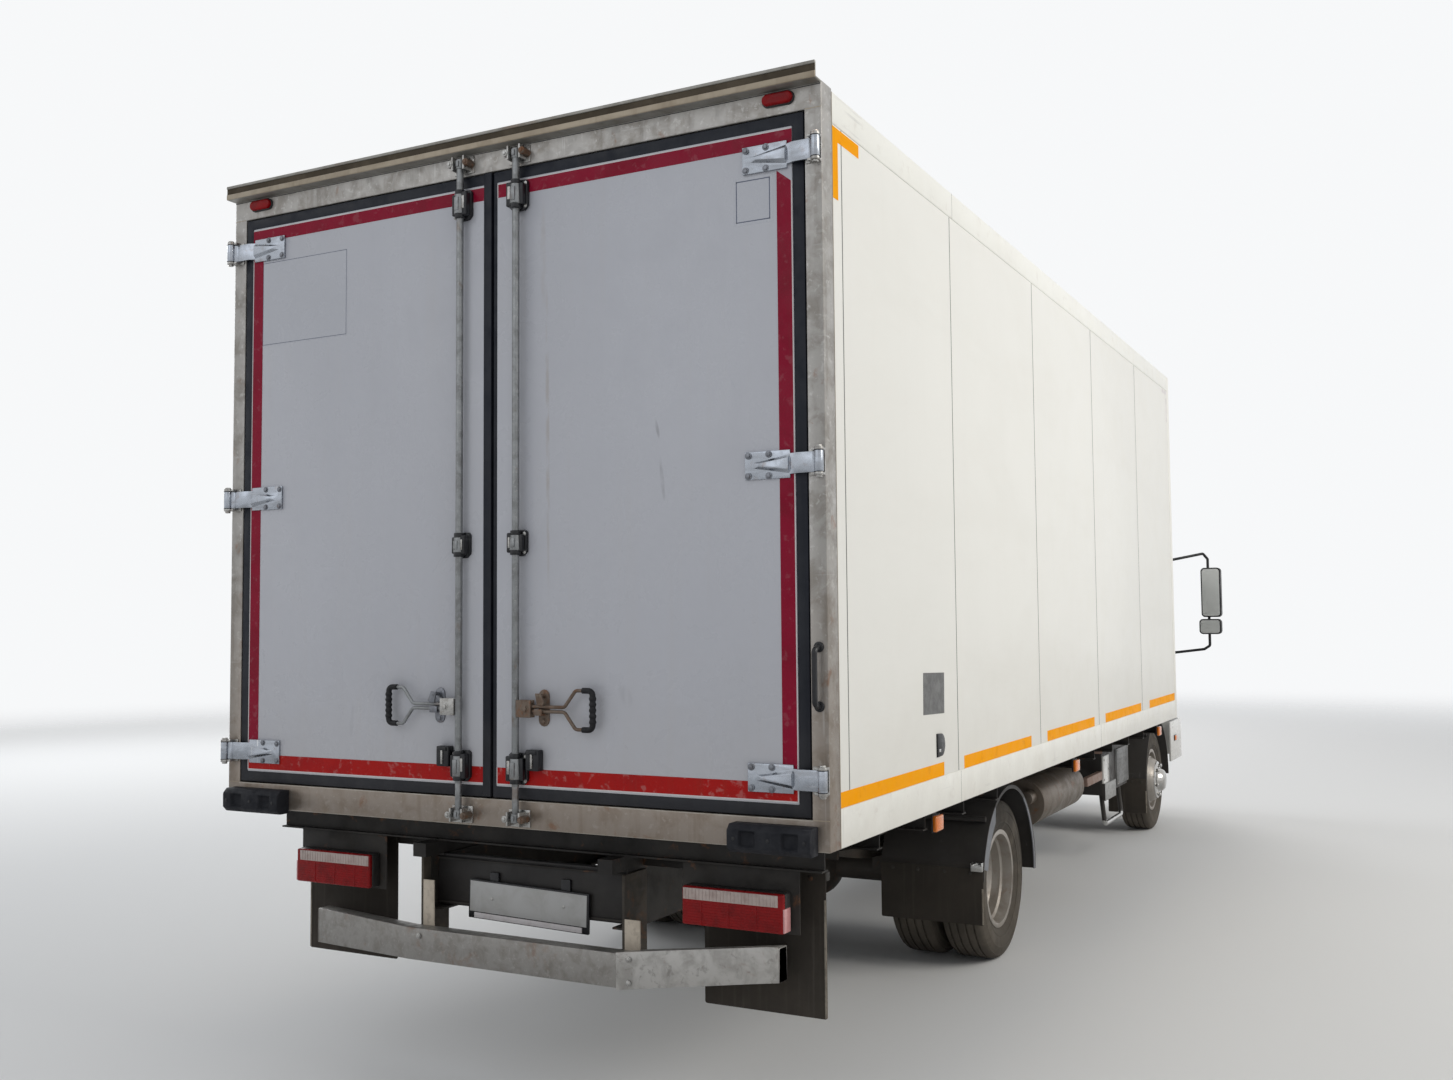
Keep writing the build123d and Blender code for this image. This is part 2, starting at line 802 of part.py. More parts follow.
def front_mudguards():
    """Return the plastic guards over the front wheels."""
    outside = front_guard_radius + guard_sheet
    guard = crosswise(front_axle_x, front_guard_inner, front_guard_outer, axle_height, outside)
    guard -= crosswise(front_axle_x, front_guard_inner, front_guard_outer, axle_height, front_guard_radius)
    guard = guard & block(front_axle_x - outside, front_axle_x + outside, front_guard_inner,
                          front_guard_outer,
                          axle_height, axle_height + outside)
    guard += block(front_axle_x - outside, front_axle_x - front_guard_radius, front_guard_inner,
                   front_guard_outer, axle_height - 60, axle_height)
    guard += guard_stays(front_axle_x, outside, front_guard_outer, (50, 130), 12)
    return Compound(both_sides(guard))


def bar_form(stations, wall, past):
    """Return the underrun bar's form drawn in by a wall and run past its ends."""
    ends = (stations[0][0], stations[-1][0])
    stations = [(y + math.copysign(past, y) if y in ends else y, set_back + wall, top - wall, bottom + wall)
                for y, set_back, top, bottom in stations]
    plan = [(aft(set_back), y) for y, set_back, top, bottom in stations]
    plan += [(aft(set_back + bar_depth - 2 * wall), y) for y, set_back, top, bottom in reversed(stations)]
    front = [(y, top) for y, set_back, top, bottom in stations]
    front += [(y, bottom) for y, set_back, top, bottom in reversed(stations)]
    heights = [z for y, z in front]
    reaches = [x for x, y in plan]
    return plan_prism(plan, min(heights), max(heights)) & end_prism(front, min(reaches), max(reaches))


def underrun_bar():
    """Return the rear bar, an open tube with its right end bent upwards, and its uprights."""
    stations = [
        # y, setback of its rear face, top, bottom
        (-1020, bar_place + 110, 588, 475),
        (-465, bar_place, 537, 420),
        (465, bar_place, 537, 420),
        (1020, bar_place + 110, 536, 402),
    ]
    shape = bar_form(stations, 0, 0) - bar_form(stations, bar_wall, 20)
    for side in (-1, 1):
        y0, y1 = sorted((side * rail_outer, side * (rail_outer + 12)))
        post_x = aft(bar_place + bar_depth)
        shape += block(post_x, post_x + 150, y0, y1, bar_post_bottom, rail_top - 10)
    return shape


def rear_lamps():
    """Return the tail lamp clusters and the red lamps on the header."""
    high = rail_top - lamp_drop
    cluster = block(aft(lamp_place), aft(lamp_place) + lamp_depth, lamp_inner_side, lamp_outer_side,
                    high - lamp_height, high)
    cluster = fillet(cluster.edges().filter_by(Axis.X), 18)
    marker = Pos(rear_face - 20, header_lamp_offset, box_top - header_lamp_drop) * extrude(
        Plane.YZ * SlotOverall(110, 40), 20)
    return Compound(both_sides(cluster) + both_sides(marker))


def side_markers():
    """Return the amber lamps below the box's edges on their brackets."""
    parts = []
    half = marker_length / 2
    high = box_floor_height - marker_drop
    for place in marker_places:
        x = aft(place)
        lamp = block(x - half, x + half, marker_offset, marker_offset + marker_depth,
                     high - marker_height, high)
        bracket = block(x - 25, x + 25, marker_offset - 6, marker_offset, high - marker_height + 4,
                        box_floor_height)
        parts += both_sides(lamp + bracket)
    return Compound(parts)


# Insulated box


def box_floor():
    """Return the box's floor slab."""
    return block(aft(frame_depth), box_front - wall_thickness, -wall_inner, wall_inner, box_floor_height,
                 floor_top)


def box_side(side):
    """Return one side wall between the edge rails."""
    low = box_floor_height + lower_rail_height
    high = box_top - upper_rail_height
    panel = block(aft(frame_depth), box_front - wall_thickness, wall_inner, box_half - wall_recess, low,
                  high)
    return on_side(panel, side)


def box_edge_rails():
    """Return the lower and upper rails along both sides."""
    low = block(aft(frame_depth), box_front - wall_thickness, wall_inner, box_half,
                box_floor_height, box_floor_height + lower_rail_height)
    high = block(aft(frame_depth), box_front - wall_thickness, wall_inner, box_half,
                 box_top - upper_rail_height, box_top)
    return Compound(both_sides(low) + both_sides(high))


def box_front_wall():
    """Return the front wall across the whole box."""
    wall = block(box_front - wall_thickness, box_front, -box_half, box_half, box_floor_height, box_top)
    return fillet(wall.edges().filter_by(Axis.Z).filter_by(lambda e: e.center().X > box_front - 1), 30)


def box_roof():
    """Return the roof slab."""
    return block(aft(frame_depth), box_front - wall_thickness, -wall_inner, wall_inner, roof_bottom, box_top)


def rear_frame():
    """Return the door frame: sill, posts, header and rain gutter."""
    shape = block(rear_face, aft(frame_depth), -box_half, box_half, box_floor_height, box_top)
    shape -= block(rear_face, aft(frame_depth), -post_inner, post_inner, sill_top, header_bottom)
    top = box_top + gutter_height
    shape += side_prism([
        (aft(frame_depth), box_top), (rear_face - gutter_reach, box_top), (rear_face - gutter_reach, top),
        (rear_face - gutter_reach + gutter_sheet, top),
        (rear_face - gutter_reach + gutter_sheet, box_top + gutter_sheet),
        (aft(frame_depth), box_top + gutter_sheet),
    ], -box_half, box_half)
    return shape


def frame_fittings():
    """Return hinge brackets with pins, rod keepers and the grab handle."""
    parts = []
    ear = hinge_knuckle_height / 2 + 2
    for height in hinge_heights:
        base = block(rear_face - 5, rear_face, post_inner + 5, box_half, height - ear - hinge_ear_sheet,
                     height + ear + hinge_ear_sheet)
        bracket = base
        for low in (height - ear - hinge_ear_sheet, height + ear):
            tab = block(rear_face - 30, rear_face, hinge_y - 28, box_half, low, low + hinge_ear_sheet)
            nose = upright(hinge_x, hinge_y, low, low + hinge_ear_sheet, hinge_knuckle_radius)
            bracket += tab + nose
        bracket += upright(hinge_x, hinge_y, height - ear, height + ear, hinge_pin_radius)
        parts += both_sides(bracket)
    gap = rod_radius + 9
    keepers = [(box_top - 70, box_top - 8), (box_floor_height + 8, box_floor_height + 68)]
    for low, high in keepers:
        keeper = block(rear_face - 5, rear_face, rod_offset - 45, rod_offset + 45, low, high)
        for y in (rod_offset - gap - 7, rod_offset + gap):
            keeper += block(rear_face - 45, rear_face, y, y + 7, low + 6, high - 6)
        parts += both_sides(keeper)
    grab_low = box_floor_height + grab_rise
    grab_high = grab_low + grab_length
    grab_x = rear_face - grab_standoff
    grab = tube_run([(rear_face, -grab_offset, grab_low), (grab_x, -grab_offset, grab_low + 15),
                     (grab_x, -grab_offset, grab_high - 15), (rear_face, -grab_offset, grab_high)], 9, 12)
    grab = grab & block(grab_x - 50, rear_face, -box_half, -post_inner, grab_low - 50, grab_high + 50)
    parts.append(grab)
    return Compound(parts)


def corner_buffers():
    """Return the rubber dock buffers at the lower corners."""
    low = box_floor_height - 10
    buffer = side_prism([
        (rear_face, low), (rear_face - buffer_depth + 18, low), (rear_face - buffer_depth, low + 18),
        (rear_face - buffer_depth, low + 72), (rear_face - buffer_depth + 18, low + 90),
        (rear_face, low + 90),
    ], 970, 1260)
    return Compound(both_sides(buffer))


# Box doors


def box_door(side):
    """Return one insulated leaf with its rebated edge."""
    outer = post_inner - door_clearance
    low = sill_top + door_clearance
    high = header_bottom - door_clearance
    front = block(rear_face, aft(rebate_depth), centre_seal, outer - seal_width, low + seal_width,
                  high - seal_width)
    back = block(aft(rebate_depth), aft(door_thickness), centre_seal, outer, low, high)
    return on_side(front + back, side)


def door_seal(side):
    """Return the rubber seal in one leaf's rebate."""
    outer = post_inner - door_clearance
    low = sill_top + door_clearance
    high = header_bottom - door_clearance
    ring = block(rear_face + seal_setback, aft(rebate_depth), centre_lip, outer, low, high)
    ring -= block(rear_face, aft(rebate_depth), centre_seal, outer - seal_width, low + seal_width,
                  high - seal_width)
    return on_side(ring, side)


def hinge_rib(height):
    """Return the raised rib of one strap, which widens towards its hinge."""
    levels = []
    for reach, share in ((strap_sheet, 1), (strap_sheet + rib_rise, rib_crest_share)):
        plane = Plane(origin=(rear_face - reach, 0, 0), x_dir=(0, 1, 0), z_dir=(1, 0, 0))
        slope = rib_rise * (1 - share) / (1 - rib_crest_share)
        levels.append(plane * outline([
            (rib_start + 2 * slope, height - rib_half_start * share),
            (rib_end, height - rib_half_end * share),
            (rib_end, height + rib_half_end * share),
            (rib_start + 2 * slope, height + rib_half_start * share),
        ]))
    return loft(levels, ruled=True)


def door_straps(side):
    """Return one leaf's three hinge straps with their ribs and knuckles."""
    parts = []
    for height in hinge_heights:
        half = hinge_strap_height / 2
        plate = plan_prism([
            (rear_face, hinge_strap_end), (rear_face - strap_sheet, hinge_strap_end),
            (rear_face - strap_sheet, hinge_strap_tip), (rear_face, hinge_strap_tip),
        ], height - half, height + half)
        half = hinge_knuckle_height / 2
        swan = plan_prism([
            (rear_face, hinge_strap_tip), (rear_face - strap_sheet, hinge_strap_tip),
            (hinge_x + 11, hinge_strap_tip + 25),
            (hinge_x + 11, hinge_y - 27), (hinge_x + 4, hinge_y - 14), (hinge_x + 4, hinge_y),
            (hinge_x + 14, hinge_y), (hinge_x + 19, hinge_y - 26), (hinge_x + 19, hinge_strap_tip + 30),
            (rear_face, hinge_strap_tip + 14),
        ], height - half, height + half)
        knuckle_bar = upright(hinge_x, hinge_y, height - half, height + half, hinge_knuckle_radius)
        hole = upright(hinge_x, hinge_y, height - half - 1, height + half + 1,
                       hinge_pin_radius + pin_clearance)
        parts.append(on_side(plate + hinge_rib(height) + swan + knuckle_bar - hole, side))
    return Compound(parts)


def rod_guide(height):
    """Return one rod guide: a base with chamfered lower corners, two cheeks and a sleeve round the rod."""
    half, wide = guide_height / 2, guide_width / 2
    low, high = height - half, height + half
    shape = end_prism([
        (rod_offset - wide, low + guide_chamfer), (rod_offset - wide + guide_chamfer, low),
        (rod_offset + wide - guide_chamfer, low), (rod_offset + wide, low + guide_chamfer),
        (rod_offset + wide, high), (rod_offset - wide, high),
    ], rear_face - guide_base, rear_face)
    for y0, y1 in ((rod_offset - wide + 4, rod_offset - rod_radius),
                   (rod_offset + rod_radius, rod_offset + wide - 6)):
        shape += block(rear_face - guide_depth, rear_face - guide_base, y0, y1, low + 12, high - 10)
    shape += upright(rear_face - rod_standoff, rod_offset, low + 4, high - 2, sleeve_radius)
    return shape


def door_handle(rod_x):
    """Return the handle: a hub on the rod, two bent wires and the grip that joins them."""
    z = handle_height
    shape = block(rod_x - rod_radius, rod_x + rod_radius, rod_offset, hub_reach, z - hub_half_height,
                  z + hub_half_height)
    for way in (-1, 1):
        near, far = z + way * wire_gap / 2, z + way * grip_spread
        shape += tube_run([(rod_x, hub_reach - 25, near), (rod_x, wire_fork, near), (rod_x, wire_knee, far),
                           (rod_x, grip_start, far)], wire_radius, wire_bend)
    shape += tube_run([
        (rod_x, grip_start, z + grip_spread), (rod_x, grip_reach, z + grip_spread),
        (rod_x, grip_reach, z - grip_spread), (rod_x, grip_start, z - grip_spread),
    ], grip_radius, wire_bend)
    return shape


def handle_catch(rod_x):
    """Return the catch: a plate on the leaf, a ledge with a lip under the wires and a swinging latch."""
    wire_low = handle_height - wire_gap / 2 - wire_radius
    half = catch_ledge / 2
    y0, y1 = catch_offset - half, catch_offset + half
    plate = Pos(rear_face - 5, catch_offset, handle_height) * extrude(
        Plane.YZ * SlotOverall(catch_length, catch_width, rotation=90), 5)
    lip_x = rod_x - wire_radius - 2
    shape = plate + block(lip_x - 5, rear_face, y0, y1, wire_low - 6, wire_low - 0.5)
    shape += block(lip_x - 5, lip_x, y0, y1, wire_low - 0.5, wire_low + 16)
    pivot_height = handle_height + 44
    shape += lengthwise(lip_x - 6, rear_face, catch_offset, pivot_height, 6)
    latch = end_prism([
        (catch_offset - 12, pivot_height + 10), (catch_offset + 12, pivot_height + 10),
        (catch_offset + 26, pivot_height - 22), (catch_offset + 14, pivot_height - 32),
        (catch_offset - 8, pivot_height - 30),
    ], lip_x - 5, lip_x)
    return shape + latch


def door_lock(side):
    """Return one leaf's lock rod with guides, retainer, handle and catch."""
    rod_x = rear_face - rod_standoff
    rod = upright(rod_x, rod_offset, box_floor_height + rod_end_margin, box_top - rod_end_margin, rod_radius)
    for height in guide_heights:
        rod += rod_guide(height)
    rod += door_handle(rod_x)
    depth, width, tall = retainer_size
    middle = box_floor_height + retainer_rise
    retainer = block(rear_face - depth, rear_face, retainer_offset - width / 2, retainer_offset + width / 2,
                     middle - tall / 2, middle + tall / 2)
    return on_side(Compound([rod, handle_catch(rod_x), retainer]), side)


# Refrigeration unit


def cooling_unit():
    """Return the housing on the front wall, with louvres over its front opening and vents in its ends."""
    face = fillet(outline([
        (box_front, unit_bottom), (box_front + unit_depth - 60, unit_bottom),
        (box_front + unit_depth, unit_bottom + 130), (box_front + unit_depth - 50, unit_top - 60),
        (box_front + unit_depth - 190, unit_top), (box_front, unit_top),
    ]).vertices().filter_by(lambda v: v.X > box_front + 1), 35)
    shape = side_prism(face, -unit_half_width, unit_half_width)
    grille_half = unit_half_width - unit_grille_margin
    back = box_front + unit_depth - 80
    opening_low = unit_bottom + unit_grille_rise
    opening_high = opening_low + unit_grille_height
    shape -= block(back, back + 100, -grille_half, grille_half, opening_low, opening_high)
    pitch = unit_grille_height / (unit_louvre_count + 1)
    for count in range(unit_louvre_count):
        low = opening_low + pitch * (count + 1) - 14
        shape += side_prism([
            (back, low + 20), (back + 48, low), (back + 48, low + unit_louvre_sheet),
            (back, low + 20 + unit_louvre_sheet),
        ], -grille_half, grille_half)
    for y in (-grille_half / 3, grille_half / 3):
        shape += block(back, back + 52, y - 9, y + 9, opening_low, opening_high)
    vent_x = box_front + unit_vent_rear
    for side in (-1, 1):
        for count in range(unit_vent_count):
            low = opening_low + 10 + 46 * count
            y0, y1 = sorted((side * unit_half_width, side * (unit_half_width - 12)))
            shape -= block(vent_x, vent_x + 210, y0, y1, low, low + unit_vent_height)
    return shape


def evaporator():
    """Return the air cooler under the roof, inside the front wall."""
    x1 = box_front - wall_thickness
    section = [(x1, roof_bottom), (x1 - 480, roof_bottom), (x1 - 480, roof_bottom - 90),
               (x1, roof_bottom - 230)]
    return side_prism(section, -650, 650)


# Cab


def cab_side_face():
    """Return the cab's side outline."""
    return outline([
        (aft(cab_rear), cab_bottom), (aft(cab_rear), cab_roof_rear - 45),
        (aft(cab_rear + 60), cab_roof_rear),
        (aft(screen_top_reach - 90), cab_roof_front), (aft(screen_top_reach), screen_top_height),
        (aft(screen_foot_reach), cab_waist), (aft(cab_front - 20), cab_waist - 80),
        (aft(cab_front), cab_nose_bottom),
        (aft(cab_nose_rear), cab_nose_bottom), (aft(cab_step_reach), cab_bottom),
    ])


def cab_end_face():
    """Return the cab's outline seen from the front."""
    half = [
        (cab_half_width, cab_nose_bottom), (cab_half_width, cab_waist),
        (cab_gutter_half, cab_gutter_height), (cab_gutter_half - 100, cab_roof_front),
    ]
    face = outline(half + [(-y, z) for y, z in reversed(half)])
    return fillet(face.vertices().filter_by(lambda v: v.Y > cab_waist + 10), 60)


def cab_plan_face():
    """Return the cab's outline seen from above."""
    face = outline([
        (aft(cab_rear), -cab_half_width), (aft(cab_front), -cab_half_width),
        (aft(cab_front), cab_half_width), (aft(cab_rear), cab_half_width),
    ])
    rear = face.vertices().filter_by(lambda v: v.X < aft(cab_rear + 1))
    face = fillet(rear, 60)
    front = face.vertices().filter_by(lambda v: v.X > aft(cab_front - 1))
    return fillet(front, cab_corner_radius)


def cab_volume(inset):
    """Return the cab's outer form, drawn in by an inset."""
    faces = [cab_side_face(), cab_end_face(), cab_plan_face()]
    if inset:
        faces = [offset(face, -inset, kind=Kind.INTERSECTION) for face in faces]
    side_form = side_prism(faces[0], -cab_half_width, cab_half_width)
    end_form = end_prism(faces[1], aft(cab_rear), aft(cab_front))
    plan_form = plan_prism(faces[2], cab_nose_bottom, cab_roof_front)
    return side_form & end_form & plan_form


def cab_door_outline(grow):
    """Return the door's side outline, grown by a margin."""
    slope = screen_rake / (screen_top_height - cab_waist)
    knee = cab_waist + 90
    top_front = cab_door_front - slope * (cab_door_top - knee)
    points = [
        (aft(cab_door_rear) - grow, cab_door_bottom - grow),
        (aft(cab_door_front) + grow, cab_door_bottom - grow),
        (aft(cab_door_front) + grow, knee), (aft(top_front) + grow, cab_door_top + grow),
        (aft(cab_door_rear) - grow, cab_door_top + grow),
    ]
    return points


def cab_window_outline(shrink):
    """Return the door window's side outline."""
    slope = screen_rake / (screen_top_height - cab_waist)
    knee = cab_waist + 90
    low = cab_waist + 60
    high = cab_door_top - 80
    front_low = cab_door_front - 80
    front_high = front_low - slope * (high - knee)
    return [
        (aft(cab_door_rear) + 80 + shrink, low + shrink), (aft(front_low) - shrink, low + shrink),
        (aft(front_low) - shrink, knee), (aft(front_high) - shrink, high - shrink),
        (aft(cab_door_rear) + 80 + shrink, high - shrink),
    ]


def screen_plane():
    """Return the plane of the windscreen's outer face, centred on the screen."""
    middle = ((aft(screen_top_reach) + aft(screen_foot_reach)) / 2, 0, (screen_top_height + cab_waist) / 2)
    normal = (screen_top_height - cab_waist, 0, screen_rake)
    drop = (screen_top_margin - screen_low_margin) / 2
    return Plane(origin=middle, x_dir=(0, 1, 0), z_dir=normal) * Pos(0, -drop, 0)


def screen_block(shrink, low, high):
    """Return a block on the windscreen plane between two depths, made smaller by a margin."""
    slope_length = math.hypot(screen_top_height - cab_waist, screen_rake)
    height = slope_length - screen_low_margin - screen_top_margin
    face = RectangleRounded(screen_width - 2 * shrink, height - 2 * shrink, 60)
    return extrude(screen_plane() * Pos(0, 0, low) * face, high - low)


def cab_door_cut(shape, points):
    """Return a shape with an outline drawn in X and Z cut through both of its sides."""
    for side in (-1, 1):
        near, far = sorted((side * cab_side_low, side * cab_side_high))
        shape = shape - side_prism(points, near, far)
    return shape


cab_side_low = cab_half_width - 265
cab_side_high = cab_half_width + 135

skin = cab_volume(0) - cab_volume(cab_wall)
skin -= screen_block(0, -120, 60)
cab_shell = cab_door_cut(skin, cab_door_outline(cab_door_gap))


def cab_zone(low_x, high_x, low_z, high_z):
    """Return a block that takes one panel out of the cab's shell."""
    return block(aft(low_x), aft(high_x), -cab_side_high, cab_side_high, low_z, high_z)


roof_joint = cab_door_top + cab_door_gap
pillar_joint = screen_top_reach - 150


def cab_floor():
    """Return the cab's floor pan with the engine tunnel and tilt lugs."""
    below = cab_nose_bottom - 50
    shape = cab_shell & cab_zone(cab_rear - 50, cab_front + 50, below, cab_floor_top)
    x0, x1 = aft(tunnel_rear), aft(tunnel_front)
    shape -= block(x0, x1, -tunnel_half, tunnel_half, below, cab_floor_top)
    hood = block(x0 - tunnel_wall, x1 + tunnel_wall, -tunnel_half - tunnel_wall, tunnel_half + tunnel_wall,
                 cab_nose_bottom + cab_wall, tunnel_top)
    hood -= block(x0, x1, -tunnel_half, tunnel_half, below, tunnel_top - tunnel_wall)
    hood -= block(x0 - tunnel_wall, aft(cab_step_reach), -cab_half_width, cab_half_width, below,
                  cab_floor_top)
    shape += hood
    for side in (-1, 1):
        y0, y1 = sorted((side * (rail_outer + 14), side * (rail_outer + 46)))
        lug = block(aft(tilt_pivot_reach) - 22, aft(tilt_pivot_reach) + 22, y0, y1, tilt_pivot_height,
                    cab_nose_bottom)
        lug += crosswise(aft(tilt_pivot_reach), y0, y1, tilt_pivot_height, 22)
        lug -= crosswise(aft(tilt_pivot_reach), y0 - 1, y1 + 1, tilt_pivot_height, 12 + pin_clearance)
        shape += lug
    return shape


def cab_back():
    """Return the cab's back panel with its quarter panels."""
    return cab_shell & cab_zone(cab_rear - 50, pillar_joint, cab_floor_top, roof_joint)


def cab_nose():
    """Return the cab's front panel, screen pillars and door hinge pins."""
    shape = cab_shell & cab_zone(pillar_joint, cab_front + 50, cab_floor_top, roof_joint)
    axis_x = aft(cab_door_front) + cab_door_gap / 2
    for side in (-1, 1):
        for low in (cab_door_bottom + 82, cab_waist - 90):
            pin = upright(axis_x, side * cab_half_width, low, low + 80, cab_door_gap / 2 - pin_clearance)
            y0, y1 = sorted((side * cab_half_width, side * (cab_half_width - 6)))
            shape += pin + block(axis_x, axis_x + cab_door_gap / 2, y0, y1, low, low + 80)
    return shape - grille_recess() + grille_bars()


def grille_recess():
    """Return the shallow trapezoid that is sunk into the nose."""
    face = outline([
        (-grille_half_width + 40, grille_low), (grille_half_width - 40, grille_low),
        (grille_half_width, grille_high), (-grille_half_width, grille_high),
    ])
    return end_prism(fillet(face.vertices(), 18), aft(cab_front - grille_depth), aft(cab_front + 10))


def grille_bars():
    """Return the level bars that cross the grille's recess."""
    pitch = (grille_high - grille_low) / (grille_bar_count + 1)
    bars = []
    for count in range(grille_bar_count):
        middle = grille_low + pitch * (count + 1)
        half = grille_half_width - 40 * (1 - (count + 1) / (grille_bar_count + 1))
        bars.append(block(aft(cab_front - grille_depth - 4), aft(cab_front - grille_depth + 10),
                          -half - 4, half + 4,
                          middle - grille_bar_height / 2, middle + grille_bar_height / 2))
    return bars


def cab_roof():
    """Return the cab's roof panel."""
    return cab_shell & cab_zone(cab_rear - 50, cab_front + 50, roof_joint, cab_roof_front + 50)


def windscreen():
    """Return the windscreen glass."""
    return screen_block(pin_clearance, -20, -14)


def cab_door(side):
    """Return one cab door, as thick as the cab's wall."""
    panel = skin & side_prism(cab_door_outline(0), cab_side_low, cab_side_high)
    panel -= side_prism(cab_window_outline(0), cab_side_low, cab_side_high)
    return on_side(panel, side)


def cab_door_glass(side):
    """Return one cab door's window glass."""
    slant = [
        (cab_half_width - 14, cab_waist), (cab_gutter_half - 14, cab_gutter_height),
        (cab_gutter_half - 20, cab_gutter_height), (cab_half_width - 20, cab_waist),
    ]
    sheet = end_prism(slant, aft(cab_door_rear), aft(cab_door_front))
    return on_side(sheet & side_prism(cab_window_outline(pin_clearance), cab_side_low, cab_side_high), side)


def seats():
    """Return the driver's and passenger's seats."""
    low = cab_floor_top
    x, y = aft(seat_rear), seat_inner
    cushion_low = low + seat_base_height
    cushion_top = cushion_low + seat_cushion_height
    top = cushion_top + seat_back_height
    base = block(x + 30, x + seat_length - 50, y + 15, y + seat_width - 15, low, cushion_low)
    cushion = block(x, x + seat_length, y, y + seat_width, cushion_low, cushion_top)
    back = side_prism([
        (x, cushion_top), (x + 140, cushion_top), (x + 70, top - 180), (x + 30, top), (x - 50, top),
        (x - 70, top - 200),
    ], y + 10, y + seat_width - 10)
    return Compound(both_sides(base + cushion + back))


def dashboard():
    """Return the dashboard with its mounting ledge, the steering column and the wheel."""
    shape = block(aft(dash_rear), aft(cab_front), -cab_half_width, cab_half_width, cab_waist - 250,
                  cab_waist - 50)
    shape -= block(aft(tunnel_rear), aft(tunnel_front) + tunnel_wall + 5, -tunnel_half - tunnel_wall - 5,
                   tunnel_half + tunnel_wall + 5, cab_floor_top, tunnel_top + 5)
    shape &= cab_volume(cab_wall + 5)
    ledge = block(aft(cab_front) - 120, aft(cab_front), -600, 600, cab_waist - 180, cab_waist - 150)
    shape += ledge & cab_volume(cab_wall)
    wheel_plane = Plane(origin=(aft(dash_rear - 180), 480, cab_waist - 60), z_dir=(-0.5, 0, 0.866))
    shape += tube_run([(aft(dash_rear + 20), 480, cab_waist - 190),
                       (aft(dash_rear - 165), 480, cab_waist - 68)], 28)
    shape += wheel_plane * Torus(215, 14)
    shape += wheel_plane * Cylinder(45, 30)
    for angle in (90, 210, 330):
        shape += wheel_plane * Rot(0, 0, angle) * Pos(110, 0, 0) * Box(200, 26, 12)
    return shape


def mirrors():
    """Return both door mirror sets with their arms."""
    x = aft(mirror_reach)
    post_y = mirror_outer - 101
    post = tube_run([
        (aft(screen_top_reach - 10), cab_gutter_half - 20, cab_gutter_height - 55),
        (x - 30, post_y - 32, cab_gutter_height + 35), (x, post_y, cab_gutter_height - 10),
        (x, post_y, cab_waist + 30), (x + 10, post_y - 47, cab_waist),
        (x + 30, cab_half_width - 65, cab_waist - 40),
    ], mirror_post_radius, 18)
    x0, x1 = x - mirror_depth / 2, x + mirror_depth / 2
    high = cab_gutter_height - mirror_drop
    low = high - mirror_height
    main = block(x0, x1, mirror_outer - mirror_width, mirror_outer, low, high)
    main = fillet(main.edges().filter_by(Axis.X), 30)
    wide_high = low - wide_mirror_gap
    wide_outer = mirror_outer - 4
    wide = block(x0, x1, wide_outer - wide_mirror_width, wide_outer, wide_high - wide_mirror_height,
                 wide_high)
    wide = fillet(wide.edges().filter_by(Axis.X), 30)
    shape = post + main + wide - cab_volume(0)
    solids = sorted(shape.solids(), key=lambda s: s.volume)
    return Compound(both_sides(solids[-1]))


def front_bumper():
    """Return the bumper that wraps round both front corners."""
    plan = outline([
        (aft(bumper_wing_end), -bumper_half_width), (front_face, -bumper_half_width),
        (front_face, bumper_half_width), (aft(bumper_wing_end), bumper_half_width),
    ])
    plan = fillet(plan.vertices().filter_by(lambda v: v.X > front_face - 1), 180)
    inner = outline([
        (aft(bumper_wing_end), -bumper_half_width + 18),
        (front_face - bumper_sheet, -bumper_half_width + 18),
        (front_face - bumper_sheet, bumper_half_width - 18), (aft(bumper_wing_end), bumper_half_width - 18),
    ])
    inner = fillet(inner.vertices().filter_by(lambda v: v.X > front_face - bumper_sheet - 1), 160)
    shell = plan_prism(plan, bumper_bottom, bumper_top) - plan_prism(inner, bumper_bottom, bumper_top)
    for side in (-1, 1):
        y0, y1 = sorted((side * lamp_inner, side * lamp_outer))
        shell -= block(front_face - 100, front_face + 10, y0, y1, lamp_low, lamp_high)
    for low in bumper_slot_lows:
        shell -= block(front_face - 100, front_face + 10, -bumper_slot_half, bumper_slot_half, low,
                       low + bumper_slot_height)
    shelf_half = lamp_inner - 20
    shelf = block(front_face - bumper_sheet - bumper_shelf_depth, front_face - bumper_sheet, -shelf_half,
                  shelf_half,
                  bumper_shelf_top - 10, bumper_shelf_top)
    return shell + shelf


def headlamps():
    """Return the headlamps set into the bumper."""
    lamp = block(front_face - 95, front_face - 4, lamp_inner + pin_clearance, lamp_outer - pin_clearance,
                 lamp_low + pin_clearance, lamp_high - pin_clearance)
    x = aft(repeater_rear)
    repeater = block(x, x + repeater_length, bumper_half_width, bumper_half_width + 14, repeater_low,
                     repeater_low + repeater_height)
    return Compound(both_sides(lamp) + both_sides(repeater))


